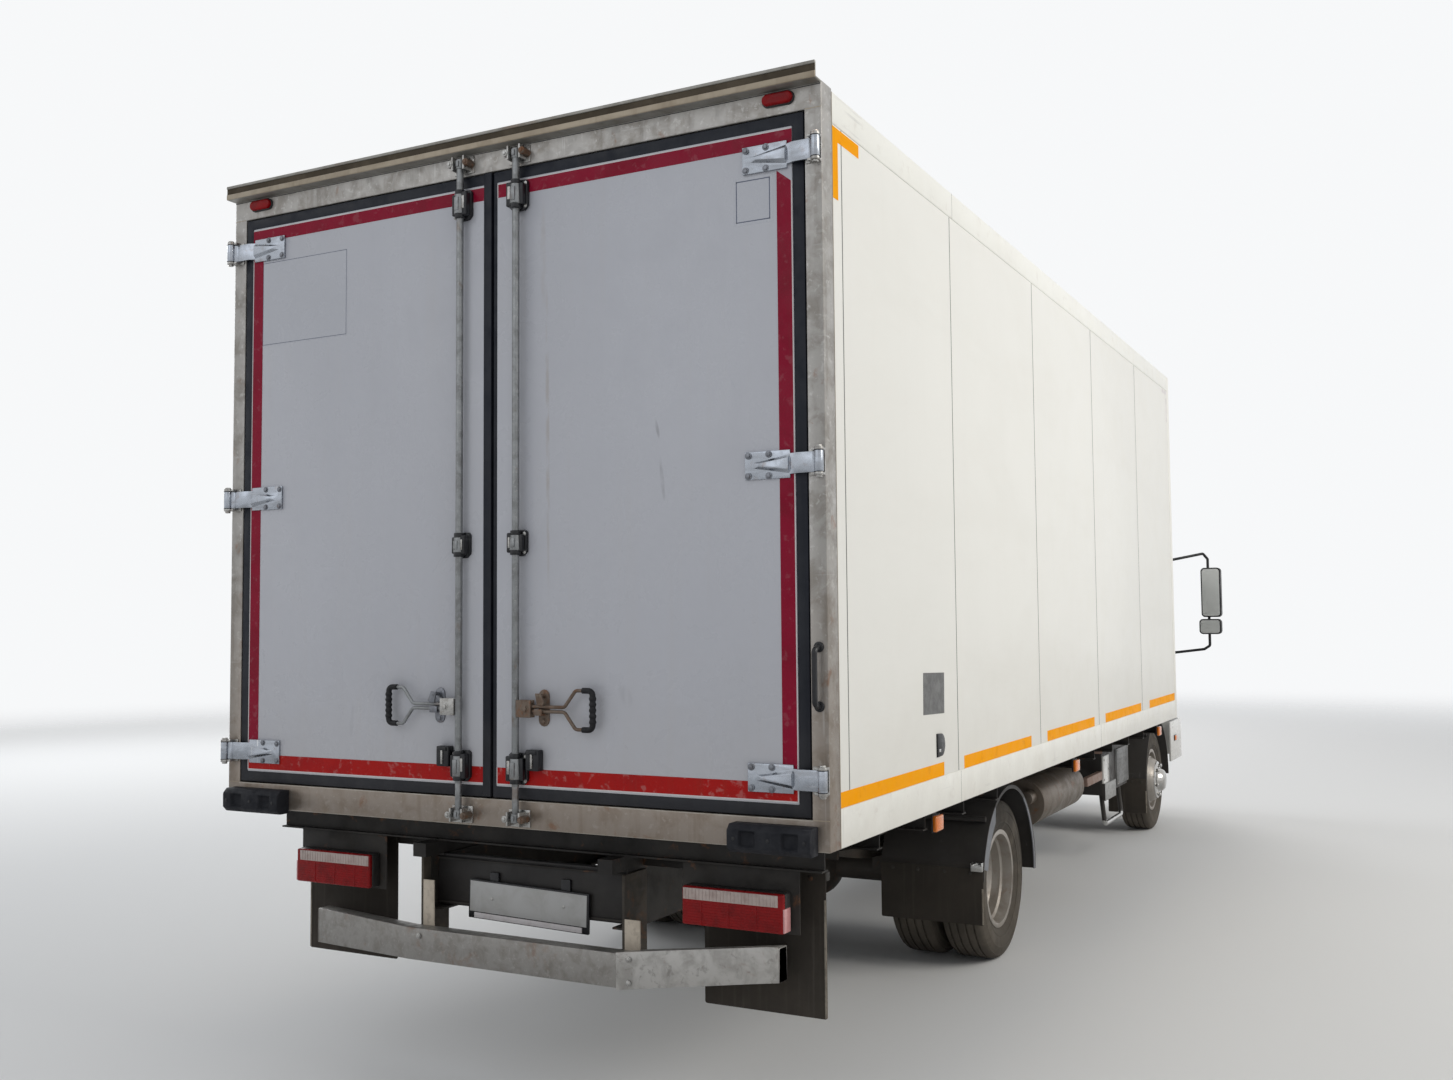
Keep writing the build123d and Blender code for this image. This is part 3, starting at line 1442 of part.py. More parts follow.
NODES = {
    "ladder_frame": ladder_frame,
    "subframe": subframe,
    "engine_block": engine_block,
    "front_axle_beam": front_axle_beam,
    "rear_axle": rear_axle,
    "leaf_springs": leaf_springs,
    "fuel_tank": fuel_tank,
    "silencer": silencer,
    "battery_box": battery_box,
    "rear_mudguards": rear_mudguards,
    "front_mudguards": front_mudguards,
    "mud_flaps": mud_flaps,
    "flap_carriers": flap_carriers,
    "underrun_bar": underrun_bar,
    "rear_lamps": rear_lamps,
    "side_markers": side_markers,
    "front_bumper": front_bumper,
    "headlamps": headlamps,
    "box_floor": box_floor,
    "box_front_wall": box_front_wall,
    "box_roof": box_roof,
    "box_edge_rails": box_edge_rails,
    "rear_frame": rear_frame,
    "frame_fittings": frame_fittings,
    "corner_buffers": corner_buffers,
    "cooling_unit": cooling_unit,
    "evaporator": evaporator,
    "cab_floor": cab_floor,
    "cab_back": cab_back,
    "cab_nose": cab_nose,
    "cab_roof": cab_roof,
    "windscreen": windscreen,
    "seats": seats,
    "dashboard": dashboard,
    "mirrors": mirrors,
    "track_rod": track_rod,
}

SIDES = {"left": 1, "right": -1}

SIDED_NODES = {
    "box_side": box_side,
    "box_door": box_door,
    "door_seal": door_seal,
    "door_straps": door_straps,
    "door_lock": door_lock,
    "cab_door": cab_door,
    "cab_door_glass": cab_door_glass,
}

WHEEL_NODES = {
    "rear_tyres": lambda: Compound([tyre(rear_axle_x, rear_track_outer),
                                    tyre(rear_axle_x, rear_track_outer - twin_spacing)]),
    "rear_rims": rear_wheel_rims,
    "front_tyre": lambda: tyre(front_axle_x, front_track_half),
    "front_rim": front_wheel_rim,
    "knuckle": knuckle,
}

os.makedirs("parts", exist_ok=True)
for name, make in NODES.items():
    export_step(make(), f"parts/{name}.step")
for name, make in SIDED_NODES.items():
    for side_name, side_sign in SIDES.items():
        export_step(make(side_sign), f"parts/{name}_{side_name}.step")
for name, make in WHEEL_NODES.items():
    wheel_part = make()
    for side_name, side_sign in SIDES.items():
        export_step(on_side(wheel_part, side_sign), f"parts/{name}_{side_name}.step")
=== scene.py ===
import json
import logging
import math
from dataclasses import dataclass, field
from enum import Enum
from typing import Any, Callable, Iterable, Sequence

import bmesh
import bpy
from mathutils import Matrix, Vector


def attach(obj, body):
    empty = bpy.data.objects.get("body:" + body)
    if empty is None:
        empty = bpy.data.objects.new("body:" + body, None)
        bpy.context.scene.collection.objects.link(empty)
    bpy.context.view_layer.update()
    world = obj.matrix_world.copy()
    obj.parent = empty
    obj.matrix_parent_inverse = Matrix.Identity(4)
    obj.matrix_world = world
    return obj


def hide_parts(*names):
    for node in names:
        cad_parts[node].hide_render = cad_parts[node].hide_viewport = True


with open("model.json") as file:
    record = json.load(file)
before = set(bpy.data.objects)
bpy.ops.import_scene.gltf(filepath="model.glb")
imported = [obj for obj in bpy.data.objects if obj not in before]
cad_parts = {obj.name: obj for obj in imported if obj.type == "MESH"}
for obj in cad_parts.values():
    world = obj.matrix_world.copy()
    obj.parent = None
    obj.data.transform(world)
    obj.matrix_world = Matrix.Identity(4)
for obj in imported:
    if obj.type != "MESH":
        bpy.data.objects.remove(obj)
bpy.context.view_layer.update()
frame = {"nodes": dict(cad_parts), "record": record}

log = logging.getLogger("truck")

Pair = tuple[float, float]
Point = tuple[float, float, float]
Colour = tuple[float, float, float]
Layer = tuple[float, float, float, float]
Tree = bpy.types.ShaderNodeTree
Node = bpy.types.Node
Socket = bpy.types.NodeSocket
Value = Socket | float | Sequence[float]

REAR = -4.1425
FLOOR_Z = 0.95
TOP_Z = 3.38
REAR_AXLE_X = -1.3925
FRONT_AXLE_X = 3.0825
AXLE_Z = 0.3835
BEND_STEPS = 6
CORNER_STEPS = 5


class Side(Enum):
    """Which side of the truck a piece is on."""

    LEFT = 1
    RIGHT = -1

    @property
    def tag(self) -> str:
        """The side's name as it ends node and body names."""
        return self.name.lower()


class Axis(Enum):
    """The direction in which an outline is pulled."""

    X = 0
    Y = 1
    Z = 2


def aft(distance: float) -> float:
    """The X place this many metres forward of the box's rear face."""
    return REAR + distance


# Meshes


def fillet_path(points: Sequence[Point], bend: float) -> list[Vector]:
    """Round the corners of a path.

    Args:
        points: The path's corners.
        bend: The radius at each inner corner.

    Returns:
        The points of the rounded path.
    """
    corners = [Vector(p) for p in points]
    if bend <= 0 or len(corners) < 3:
        return corners
    path = [corners[0]]
    for before, corner, after in zip(corners, corners[1:], corners[2:]):
        back = (before - corner).normalized()
        ahead = (after - corner).normalized()
        angle = back.angle(ahead)
        if angle > math.pi - 0.01:
            path.append(corner)
            continue
        reach = min(bend / math.tan(angle / 2), (before - corner).length * 0.49,
                    (after - corner).length * 0.49)
        start, end = corner + back * reach, corner + ahead * reach
        for step in range(BEND_STEPS + 1):
            t = step / BEND_STEPS
            path.append(start.lerp(corner, t).lerp(corner.lerp(end, t), t))
    path.append(corners[-1])
    return path


def rounded(low: Pair, high: Pair, radius: float) -> list[Pair]:
    """Return the outline of a rectangle with round corners.

    Args:
        low: Its lower corner.
        high: Its upper corner.
        radius: The radius of its corners.

    Returns:
        The outline's points.
    """
    points = []
    corners = (high, (low[0], high[1]), low, (high[0], low[1]))
    for quarter, (u, v) in enumerate(corners):
        u += radius if u == low[0] else -radius
        v += radius if v == low[1] else -radius
        for step in range(CORNER_STEPS + 1):
            angle = math.radians(90 * (quarter + step / CORNER_STEPS))
            points.append((u + radius * math.cos(angle), v + radius * math.sin(angle)))
    return points


class Shape:
    """Gathers the geometry of one piece, with a current material number."""

    def __init__(self) -> None:
        """Start an empty piece."""
        self.bm = bmesh.new()
        self.material = 0

    def paint(self, number: int) -> "Shape":
        """Set the material number of what is added next."""
        self.material = number
        return self

    def add(self, part: bmesh.types.BMesh) -> "Shape":
        """Join a part to the piece and free it.

        Args:
            part: The part's own mesh.

        Returns:
            This piece.
        """
        bmesh.ops.recalc_face_normals(part, faces=part.faces[:])
        for face in part.faces:
            face.material_index = self.material
        mesh = bpy.data.meshes.new("part")
        part.to_mesh(mesh)
        part.free()
        self.bm.from_mesh(mesh)
        bpy.data.meshes.remove(mesh)
        return self

    @staticmethod
    def soften(part: bmesh.types.BMesh, width: float, segments: int, least: float = 25) -> None:
        """Bevel the sharp edges of a part.

        Args:
            part: The part's own mesh.
            width: The bevel's width.
            segments: The bevel's segments.
            least: The least angle of an edge, in degrees, that is bevelled.
        """
        if width <= 0:
            return
        sharp = [e for e in part.edges
                 if len(e.link_faces) == 2 and e.calc_face_angle(0) > math.radians(least)]
        bmesh.ops.bevel(part, geom=sharp, offset=width, offset_type="OFFSET", segments=segments,
                        profile=0.5, affect="EDGES", clamp_overlap=True, material=-1)

    def block(self, low: Point, high: Point, bevel: float = 0.0, segments: int = 2,
              turn: Matrix | None = None) -> "Shape":
        """Add a block between two corners.

        Args:
            low: One corner.
            high: The opposite corner.
            bevel: The width of its softened edges.
            segments: The segments of that bevel.
            turn: A rotation about the block's middle.

        Returns:
            This piece.
        """
        part = bmesh.new()
        bmesh.ops.create_cube(part, size=1.0)
        a, b = Vector(low), Vector(high)
        place = Matrix.Translation((a + b) / 2) @ (turn.to_4x4() if turn else Matrix.Identity(4))
        size = [abs(v) for v in (b - a)]
        place = place @ Matrix.Diagonal((*size, 1.0))
        bmesh.ops.transform(part, matrix=place, verts=part.verts[:])
        self.soften(part, min(bevel, min(size) * 0.45), segments)
        return self.add(part)

    def rod(self, start: Point, end: Point, radius: float, sides: int = 24, end_radius: float | None = None,
            bevel: float = 0.0) -> "Shape":
        """Add a round or many-sided bar.

        Args:
            start: The middle of one end.
            end: The middle of the other.
            radius: Its radius at the start.
            sides: How many sides it has.
            end_radius: Its radius at the end, if that differs.
            bevel: The width of its softened ends.

        Returns:
            This piece.
        """
        a, b = Vector(start), Vector(end)
        run = b - a
        part = bmesh.new()
        bmesh.ops.create_cone(part, cap_ends=True, cap_tris=False, segments=sides, radius1=radius,
                              radius2=radius if end_radius is None else end_radius, depth=run.length)
        turn = Vector((0, 0, 1)).rotation_difference(run).to_matrix().to_4x4()
        bmesh.ops.transform(part, matrix=Matrix.Translation((a + b) / 2) @ turn, verts=part.verts[:])
        self.soften(part, bevel, 2, 50)
        return self.add(part)

    def tube(self, points: Sequence[Point], radius: float, bend: float = 0.0, sides: int = 3) -> "Shape":
        """Add a bent round bar with closed ends.

        Args:
            points: The corners of its middle line.
            radius: Its radius.
            bend: The radius of its bends.
            sides: The curve's bevel resolution.

        Returns:
            This piece.
        """
        curve = bpy.data.curves.new("tube", "CURVE")
        curve.dimensions = "3D"
        curve.bevel_depth = radius
        curve.bevel_resolution = sides
        curve.use_fill_caps = True
        path = fillet_path(points, bend)
        spline = curve.splines.new("POLY")
        spline.points.add(len(path) - 1)
        for point, place in zip(spline.points, path):
            point.co = (*place, 1.0)
        holder = bpy.data.objects.new("tube", curve)
        bpy.context.scene.collection.objects.link(holder)
        made = bpy.data.meshes.new_from_object(holder.evaluated_get(bpy.context.evaluated_depsgraph_get()))
        part = bmesh.new()
        part.from_mesh(made)
        bmesh.ops.remove_doubles(part, verts=part.verts[:], dist=1e-6)
        bpy.data.objects.remove(holder)
        bpy.data.meshes.remove(made)
        bpy.data.curves.remove(curve)
        return self.add(part)

    def prism(self, outline: Sequence[Pair], axis: Axis, start: float, end: float,
              bevel: float = 0.0, segments: int = 2) -> "Shape":
        """Add an outline pulled along an axis.

        Args:
            outline: The corners as (Y, Z), (X, Z) or (X, Y), for the axis X, Y or Z.
            axis: The direction of the pull.
            start: Where the pull starts.
            end: Where the pull ends.
            bevel: The width of its softened edges.
            segments: The segments of that bevel.

        Returns:
            This piece.
        """
        part = bmesh.new()
        corners = []
        for u, v in outline:
            place = [u, v]
            place.insert(axis.value, start)
            corners.append(part.verts.new(place))
        face = part.faces.new(corners)
        grown = bmesh.ops.extrude_face_region(part, geom=[face])
        moved = [g for g in grown["geom"] if isinstance(g, bmesh.types.BMVert)]
        pull = Vector((0, 0, 0))
        pull[axis.value] = end - start
        bmesh.ops.translate(part, vec=pull, verts=moved)
        bmesh.ops.recalc_face_normals(part, faces=part.faces[:])
        self.soften(part, bevel, segments)
        return self.add(part)

    def lathe(self, profile: Sequence[Pair], centre: Point, axis: Axis, steps: int) -> "Shape":
        """Add a closed profile spun about an axis line.

        Args:
            profile: Points as (place along the axis, radius).
            centre: A point on the axis line.
            axis: The direction of the line.
            steps: The steps of the full turn.

        Returns:
            This piece.
        """
        part = bmesh.new()
        middle = Vector(centre)
        lane = Vector((0, 0, 0))
        lane[axis.value] = 1.0
        out = Vector((0, 0, 1)) if axis is not Axis.Z else Vector((1, 0, 0))
        corners = [part.verts.new(middle + lane * along + out * radius) for along, radius in profile]
        edges = [part.edges.new(pair) for pair in zip(corners, corners[1:])]
        edges.append(part.edges.new((corners[-1], corners[0])))
        bmesh.ops.spin(part, geom=corners + edges, cent=middle, axis=lane, angle=math.tau, steps=steps,
                       use_merge=True)
        bmesh.ops.remove_doubles(part, verts=part.verts[:], dist=1e-5)
        return self.add(part)

    def node(self, name: str, bevel: float) -> "Shape":
        """Add a merged copy of a CAD node's mesh with softened edges.

        Args:
            name: The node.
            bevel: The width of its softened edges.

        Returns:
            This piece.
        """
        part = bmesh.new()
        part.from_mesh(frame["nodes"][name].data)
        bmesh.ops.remove_doubles(part, verts=part.verts[:], dist=2e-5)
        bmesh.ops.dissolve_limit(part, angle_limit=math.radians(0.6), use_dissolve_boundaries=False,
                                 verts=part.verts[:], edges=part.edges[:])
        self.soften(part, bevel, 2, 28)
        return self.add(part)

    def bolt(self, place: Point, out: Point, size: float, head: float) -> "Shape":
        """Add a hexagon bolt head on its washer.

        Args:
            place: The foot of the head, on the surface.
            out: The direction away from the surface.
            size: The head's radius.
            head: The head's height.

        Returns:
            This piece.
        """
        foot, way = Vector(place), Vector(out).normalized()
        self.rod(tuple(foot), tuple(foot + way * 0.0016), size * 1.35, 20, bevel=0.0004)
        return self.rod(tuple(foot), tuple(foot + way * head), size, 6, size * 0.96, bevel=0.0006)

    def hull(self, points: Sequence[Point], bevel: float = 0.0) -> "Shape":
        """Add the convex form that spans some points.

        Args:
            points: Its corners.
            bevel: The width of its softened edges.

        Returns:
            This piece.
        """
        part = bmesh.new()
        corners = [part.verts.new(point) for point in points]
        bmesh.ops.convex_hull(part, input=corners)
        bmesh.ops.dissolve_limit(part, angle_limit=0.02, verts=part.verts[:], edges=part.edges[:])
        bmesh.ops.recalc_face_normals(part, faces=part.faces[:])
        self.soften(part, bevel, 2)
        return self.add(part)

    def repaint(self, number: int, test: Callable[[Vector], bool]) -> "Shape":
        """Give a material number to the faces whose middle passes a test."""
        for face in self.bm.faces:
            if test(face.calc_center_median()):
                face.material_index = number
        return self

    def mirror(self) -> "Shape":
        """Return a mirrored copy for the other side of the truck."""
        other = Shape()
        mesh = bpy.data.meshes.new("mirror")
        self.bm.to_mesh(mesh)
        other.bm.from_mesh(mesh)
        bpy.data.meshes.remove(mesh)
        bmesh.ops.scale(other.bm, vec=(1, -1, 1), verts=other.bm.verts[:])
        bmesh.ops.reverse_faces(other.bm, faces=other.bm.faces[:])
        return other

    def on(self, side: Side) -> "Shape":
        """Return the piece itself for the left side, or its mirrored copy for the right one."""
        return self if side is Side.LEFT else self.mirror()

    def place_both(self, name: str, body: str, finishes: Sequence["Finish"], slot: str | None = None,
                   replaces: Iterable[str] = ()) -> None:
        """Place the piece on the left side and its mirrored copy on the right side.

        Args:
            name: The name before the side's.
            body: The CAD body that both move with.
            finishes: Their finishes, in the order of the material numbers.
            slot: The record's slot, if not the first finish's own.
            replaces: The CAD nodes that they stand for.
        """
        other = self.mirror()
        self.place(name + "_left", body, finishes, slot, replaces)
        other.place(name + "_right", body, finishes, slot, replaces)

    def place(self, name: str, body: str, finishes: Sequence["Finish"], slot: str | None = None,
              replaces: Iterable[str] = (), smooth: float = 32) -> bpy.types.Object:
        """Make the piece an object that rides on a body.

        Args:
            name: The piece's name.
            body: The CAD body it moves with.
            finishes: Its finishes, in the order of the material numbers.
            slot: The record's slot, if not the first finish's own; not used.
            replaces: The CAD nodes that it stands for.
            smooth: The angle in degrees above which an edge stays sharp.

        Returns:
            The new object.
        """
        mesh = bpy.data.meshes.new(name)
        self.bm.to_mesh(mesh)
        self.bm.free()
        for finish in finishes:
            mesh.materials.append(finish.material())
        mesh.polygons.foreach_set("use_smooth", [True] * len(mesh.polygons))
        mesh.set_sharp_from_angle(angle=math.radians(smooth))
        piece = bpy.data.objects.new(name, mesh)
        bpy.context.scene.collection.objects.link(piece)
        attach(piece, body)
        slot or finishes[0].slot
        if replaces:
            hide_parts(*replaces)
        log.info("%s: %d faces on %s", name, len(mesh.polygons), body)
        return piece


# Shared effects


class Ramp(Enum):
    """How a value is spread between two limits."""

    LINEAR = "LINEAR"
    SMOOTH = "SMOOTHSTEP"
    SMOOTHER = "SMOOTHERSTEP"


def feed(tree: Tree, node: Node, inputs: dict[str | int, Value]) -> Node:
    """Set or link some inputs of a shader node.

    Args:
        tree: The node's tree.
        node: The node.
        inputs: A plain value, or a socket to link, for the name or number of each input.

    Returns:
        The same node.
    """
    for place, value in inputs.items():
        if isinstance(value, Socket):
            tree.links.new(value, node.inputs[place])
        else:
            node.inputs[place].default_value = value
    return node


class Effects:
    """The shader node groups that several finishes share, each built once, and the nodes they use."""

    made: dict[str, Tree] = {}

    @classmethod
    def group(cls, name: str, fill: Callable, inputs: dict[str, Any], output: str = "Mask") -> Tree:
        """Return a group, building it the first time.

        Args:
            name: The group's name.
            fill: Builds the inside from the tree and the input node's sockets, and returns the result.
            inputs: The inputs' names and first values, a number or three.
            output: The output's name.

        Returns:
            The node tree.
        """
        if name in cls.made:
            return cls.made[name]
        tree = bpy.data.node_groups.new(name, "ShaderNodeTree")
        for label, value in inputs.items():
            kind = "NodeSocketVector" if isinstance(value, tuple) else "NodeSocketFloat"
            socket = tree.interface.new_socket(name=label, in_out="INPUT", socket_type=kind)
            socket.default_value = value
        tree.interface.new_socket(name=output, in_out="OUTPUT", socket_type="NodeSocketFloat")
        start = tree.nodes.new("NodeGroupInput")
        feed(tree, tree.nodes.new("NodeGroupOutput"), {output: fill(tree, start.outputs)})
        cls.made[name] = tree
        return tree

    @staticmethod
    def use(tree: Tree, group: Tree, values: dict[str, Any], output: str = "Mask") -> Socket:
        """Place a group in a material with its own values.

        Args:
            tree: The material's node tree.
            group: The group.
            values: The group's input values.
            output: The output's name.

        Returns:
            The group's output.
        """
        node = tree.nodes.new("ShaderNodeGroup")
        node.node_tree = group
        return feed(tree, node, values).outputs[output]

    @staticmethod
    def coords(tree: Tree) -> Socket:
        """Return the object coordinates."""
        return tree.nodes.new("ShaderNodeTexCoord").outputs["Object"]

    @classmethod
    def split(cls, tree: Tree) -> Any:
        """Return the object coordinates' X, Y and Z sockets."""
        return feed(tree, tree.nodes.new("ShaderNodeSeparateXYZ"), {"Vector": cls.coords(tree)}).outputs

    @classmethod
    def mapped(cls, tree: Tree, scale: Point | Socket) -> Socket:
        """Return the object coordinates stretched by a scale or by a socket's value."""
        node = tree.nodes.new("ShaderNodeMapping")
        return feed(tree, node, {"Scale": scale, "Vector": cls.coords(tree)}).outputs["Vector"]

    @staticmethod
    def maths(tree: Tree, operation: str, *terms: Socket | float) -> Socket:
        """Return the result of a Math node.

        Args:
            tree: The node tree.
            operation: The node's operation.
            terms: Sockets or numbers, in the order of its inputs.

        Returns:
            The result.
        """
        node = tree.nodes.new("ShaderNodeMath")
        node.operation = operation
        return feed(tree, node, dict(enumerate(terms))).outputs["Value"]

    @staticmethod
    def noise(tree: Tree, vector: Socket, scale: Socket | float, detail: float = 2.0, rough: float = 0.5,
              warp: float = 0.0) -> Socket:
        """Return a noise's value.

        Args:
            tree: The node tree.
            vector: The coordinates it is read at.
            scale: Its features per metre.
            detail: Its layers of finer noise.
            rough: How strong the finer layers are.
            warp: How far it is distorted.

        Returns:
            The value.
        """
        node = tree.nodes.new("ShaderNodeTexNoise")
        values = {"Vector": vector, "Scale": scale, "Detail": detail, "Roughness": rough,
                  "Distortion": warp}
        return feed(tree, node, values).outputs["Fac"]

    @staticmethod
    def ranged(tree: Tree, value: Socket, low: Socket | float, high: Socket | float,
               ramp: Ramp = Ramp.SMOOTH, ends: Pair = (0.0, 1.0)) -> Socket:
        """Return a value spread between two limits.

        Args:
            tree: The node tree.
            value: The value.
            low: What becomes the first end.
            high: What becomes the second end.
            ramp: How it runs between the ends.
            ends: The two ends.

        Returns:
            The spread value.
        """
        node = tree.nodes.new("ShaderNodeMapRange")
        node.interpolation_type = ramp.value
        limits = {"From Min": low, "From Max": high, "To Min": ends[0], "To Max": ends[1]}
        return feed(tree, node, {"Value": value, **limits}).outputs["Result"]

    @classmethod
    def patches(cls) -> Tree:
        """Return the group of cloudy patches, as large as one over its scale in metres."""
        def fill(tree: Tree, given: Any) -> Socket:
            """Build a noise mask."""
            cloud = cls.noise(tree, cls.mapped(tree, given["Stretch"]), given["Scale"], 6.0, 0.62, 0.4)
            return cls.ranged(tree, cloud, given["Low"], given["High"])
        return cls.group("Patches", fill, {"Scale": 3.0, "Low": 0.4, "High": 0.7, "Stretch": (1, 1, 1)})

    @classmethod
    def mark(cls) -> Tree:
        """Return the group of one long smudge at a place on an upright cross face."""
        def fill(tree: Tree, given: Any) -> Socket:
            """Build a soft oval mask, slanted and broken by a noise."""
            place = cls.split(tree)
            up = cls.maths(tree, "SUBTRACT", place["Z"], given["Z"])
            slant = cls.maths(tree, "MULTIPLY", up, given["Tilt"])
            across = cls.maths(tree, "SUBTRACT", cls.maths(tree, "SUBTRACT", place["Y"], given["Y"]), slant)
            wide = cls.maths(tree, "DIVIDE", across, given["Across"])
            tall = cls.maths(tree, "DIVIDE", up, given["Along"])
            squares = [cls.maths(tree, "MULTIPLY", share, share) for share in (wide, tall)]
            fade = cls.ranged(tree, cls.maths(tree, "ADD", *squares), 1.0, 0.0)
            breaks = cls.noise(tree, cls.mapped(tree, (1, 1, 0.35)), 34.0, 4.0)
            return cls.maths(tree, "MULTIPLY", fade, cls.ranged(tree, breaks, 0.35, 0.6, Ramp.LINEAR))
        return cls.group("Mark", fill, {"Y": 0.0, "Z": 2.0, "Across": 0.01, "Along": 0.1, "Tilt": 0.0})

    @classmethod
    def streaks(cls) -> Tree:
        """Return the group of runs that dirty water leaves down an upright face."""
        def fill(tree: Tree, given: Any) -> Socket:
            """Build a noise mask that is drawn out along Z and broken by a coarse one."""
            runs = cls.noise(tree, cls.mapped(tree, (1, 1, 0.045)), given["Scale"], 4.0, 0.55)
            breaks = cls.noise(tree, cls.mapped(tree, (1, 1, 1)), 1.7)
            return cls.maths(tree, "MULTIPLY", cls.ranged(tree, runs, given["Low"], given["High"]), breaks)
        return cls.group("Streaks", fill, {"Scale": 20.0, "Low": 0.5, "High": 0.75})

    @classmethod
    def road_dirt(cls) -> Tree:
        """Return the group of dirt that thins out upwards, with a ragged edge."""
        def fill(tree: Tree, given: Any) -> Socket:
            """Build a mask from the height and a noise."""
            cloud = cls.noise(tree, cls.coords(tree), 6.0, 7.0, 0.7)
            ragged = cls.maths(tree, "MULTIPLY_ADD", cloud, -0.55, cls.split(tree)["Z"])
            return cls.ranged(tree, ragged, given["Clean"], given["Dirty"])
        return cls.group("Road dirt", fill, {"Clean": 1.0, "Dirty": 0.2})

    @classmethod
    def grain(cls) -> Tree:
        """Return the group of fine relief, from a fine noise and a coarse one."""
        def fill(tree: Tree, given: Any) -> Socket:
            """Build a height."""
            fine = cls.noise(tree, cls.mapped(tree, given["Stretch"]), given["Fine"], 3.0)
            coarse = cls.noise(tree, cls.mapped(tree, given["Stretch"]), given["Coarse"], 2.0)
            blend = {"Factor": given["Balance"], "A": fine, "B": coarse}
            return feed(tree, tree.nodes.new("ShaderNodeMix"), blend).outputs["Result"]
        return cls.group("Grain", fill,
                         {"Fine": 400.0, "Coarse": 8.0, "Balance": 0.5, "Stretch": (1, 1, 1)}, "Height")

    @classmethod
    def scratches(cls) -> Tree:
        """Return the group of thin, short, nearly straight scratches in two directions."""
        def fill(tree: Tree, given: Any) -> Socket:
            """Build a mask from two drawn-out noises, kept to patches."""
            strokes = []
            for stretch in ((1.0, 1.0, 0.03), (0.03, 0.06, 1.0)):
                noise = cls.noise(tree, cls.mapped(tree, stretch), given["Scale"], 2.0)
                strokes.append(cls.ranged(tree, noise, 0.66, 0.72, Ramp.LINEAR))
            where = cls.noise(tree, cls.mapped(tree, (1, 1, 1)), 3.1, 3.0)
            kept = cls.ranged(tree, where, 0.5, 0.62, Ramp.LINEAR)
            return cls.maths(tree, "MULTIPLY", cls.maths(tree, "MAXIMUM", *strokes), kept)
        return cls.group("Scratches", fill, {"Scale": 55.0})


# Finishes


NOTHING = (0.0, 0.0, 0.0, 0.0)


@dataclass(frozen=True)
class Mark:
    """One smudge on the doors: its place, half sizes, slant, colour and strength."""

    y: float
    z: float
    across: float
    along: float
    tilt: float
    colour: Colour
    amount: float

    def values(self) -> dict[str, float]:
        """Return the values of the group that draws it."""
        return {"Y": self.y, "Z": self.z, "Across": self.across, "Along": self.along, "Tilt": self.tilt}


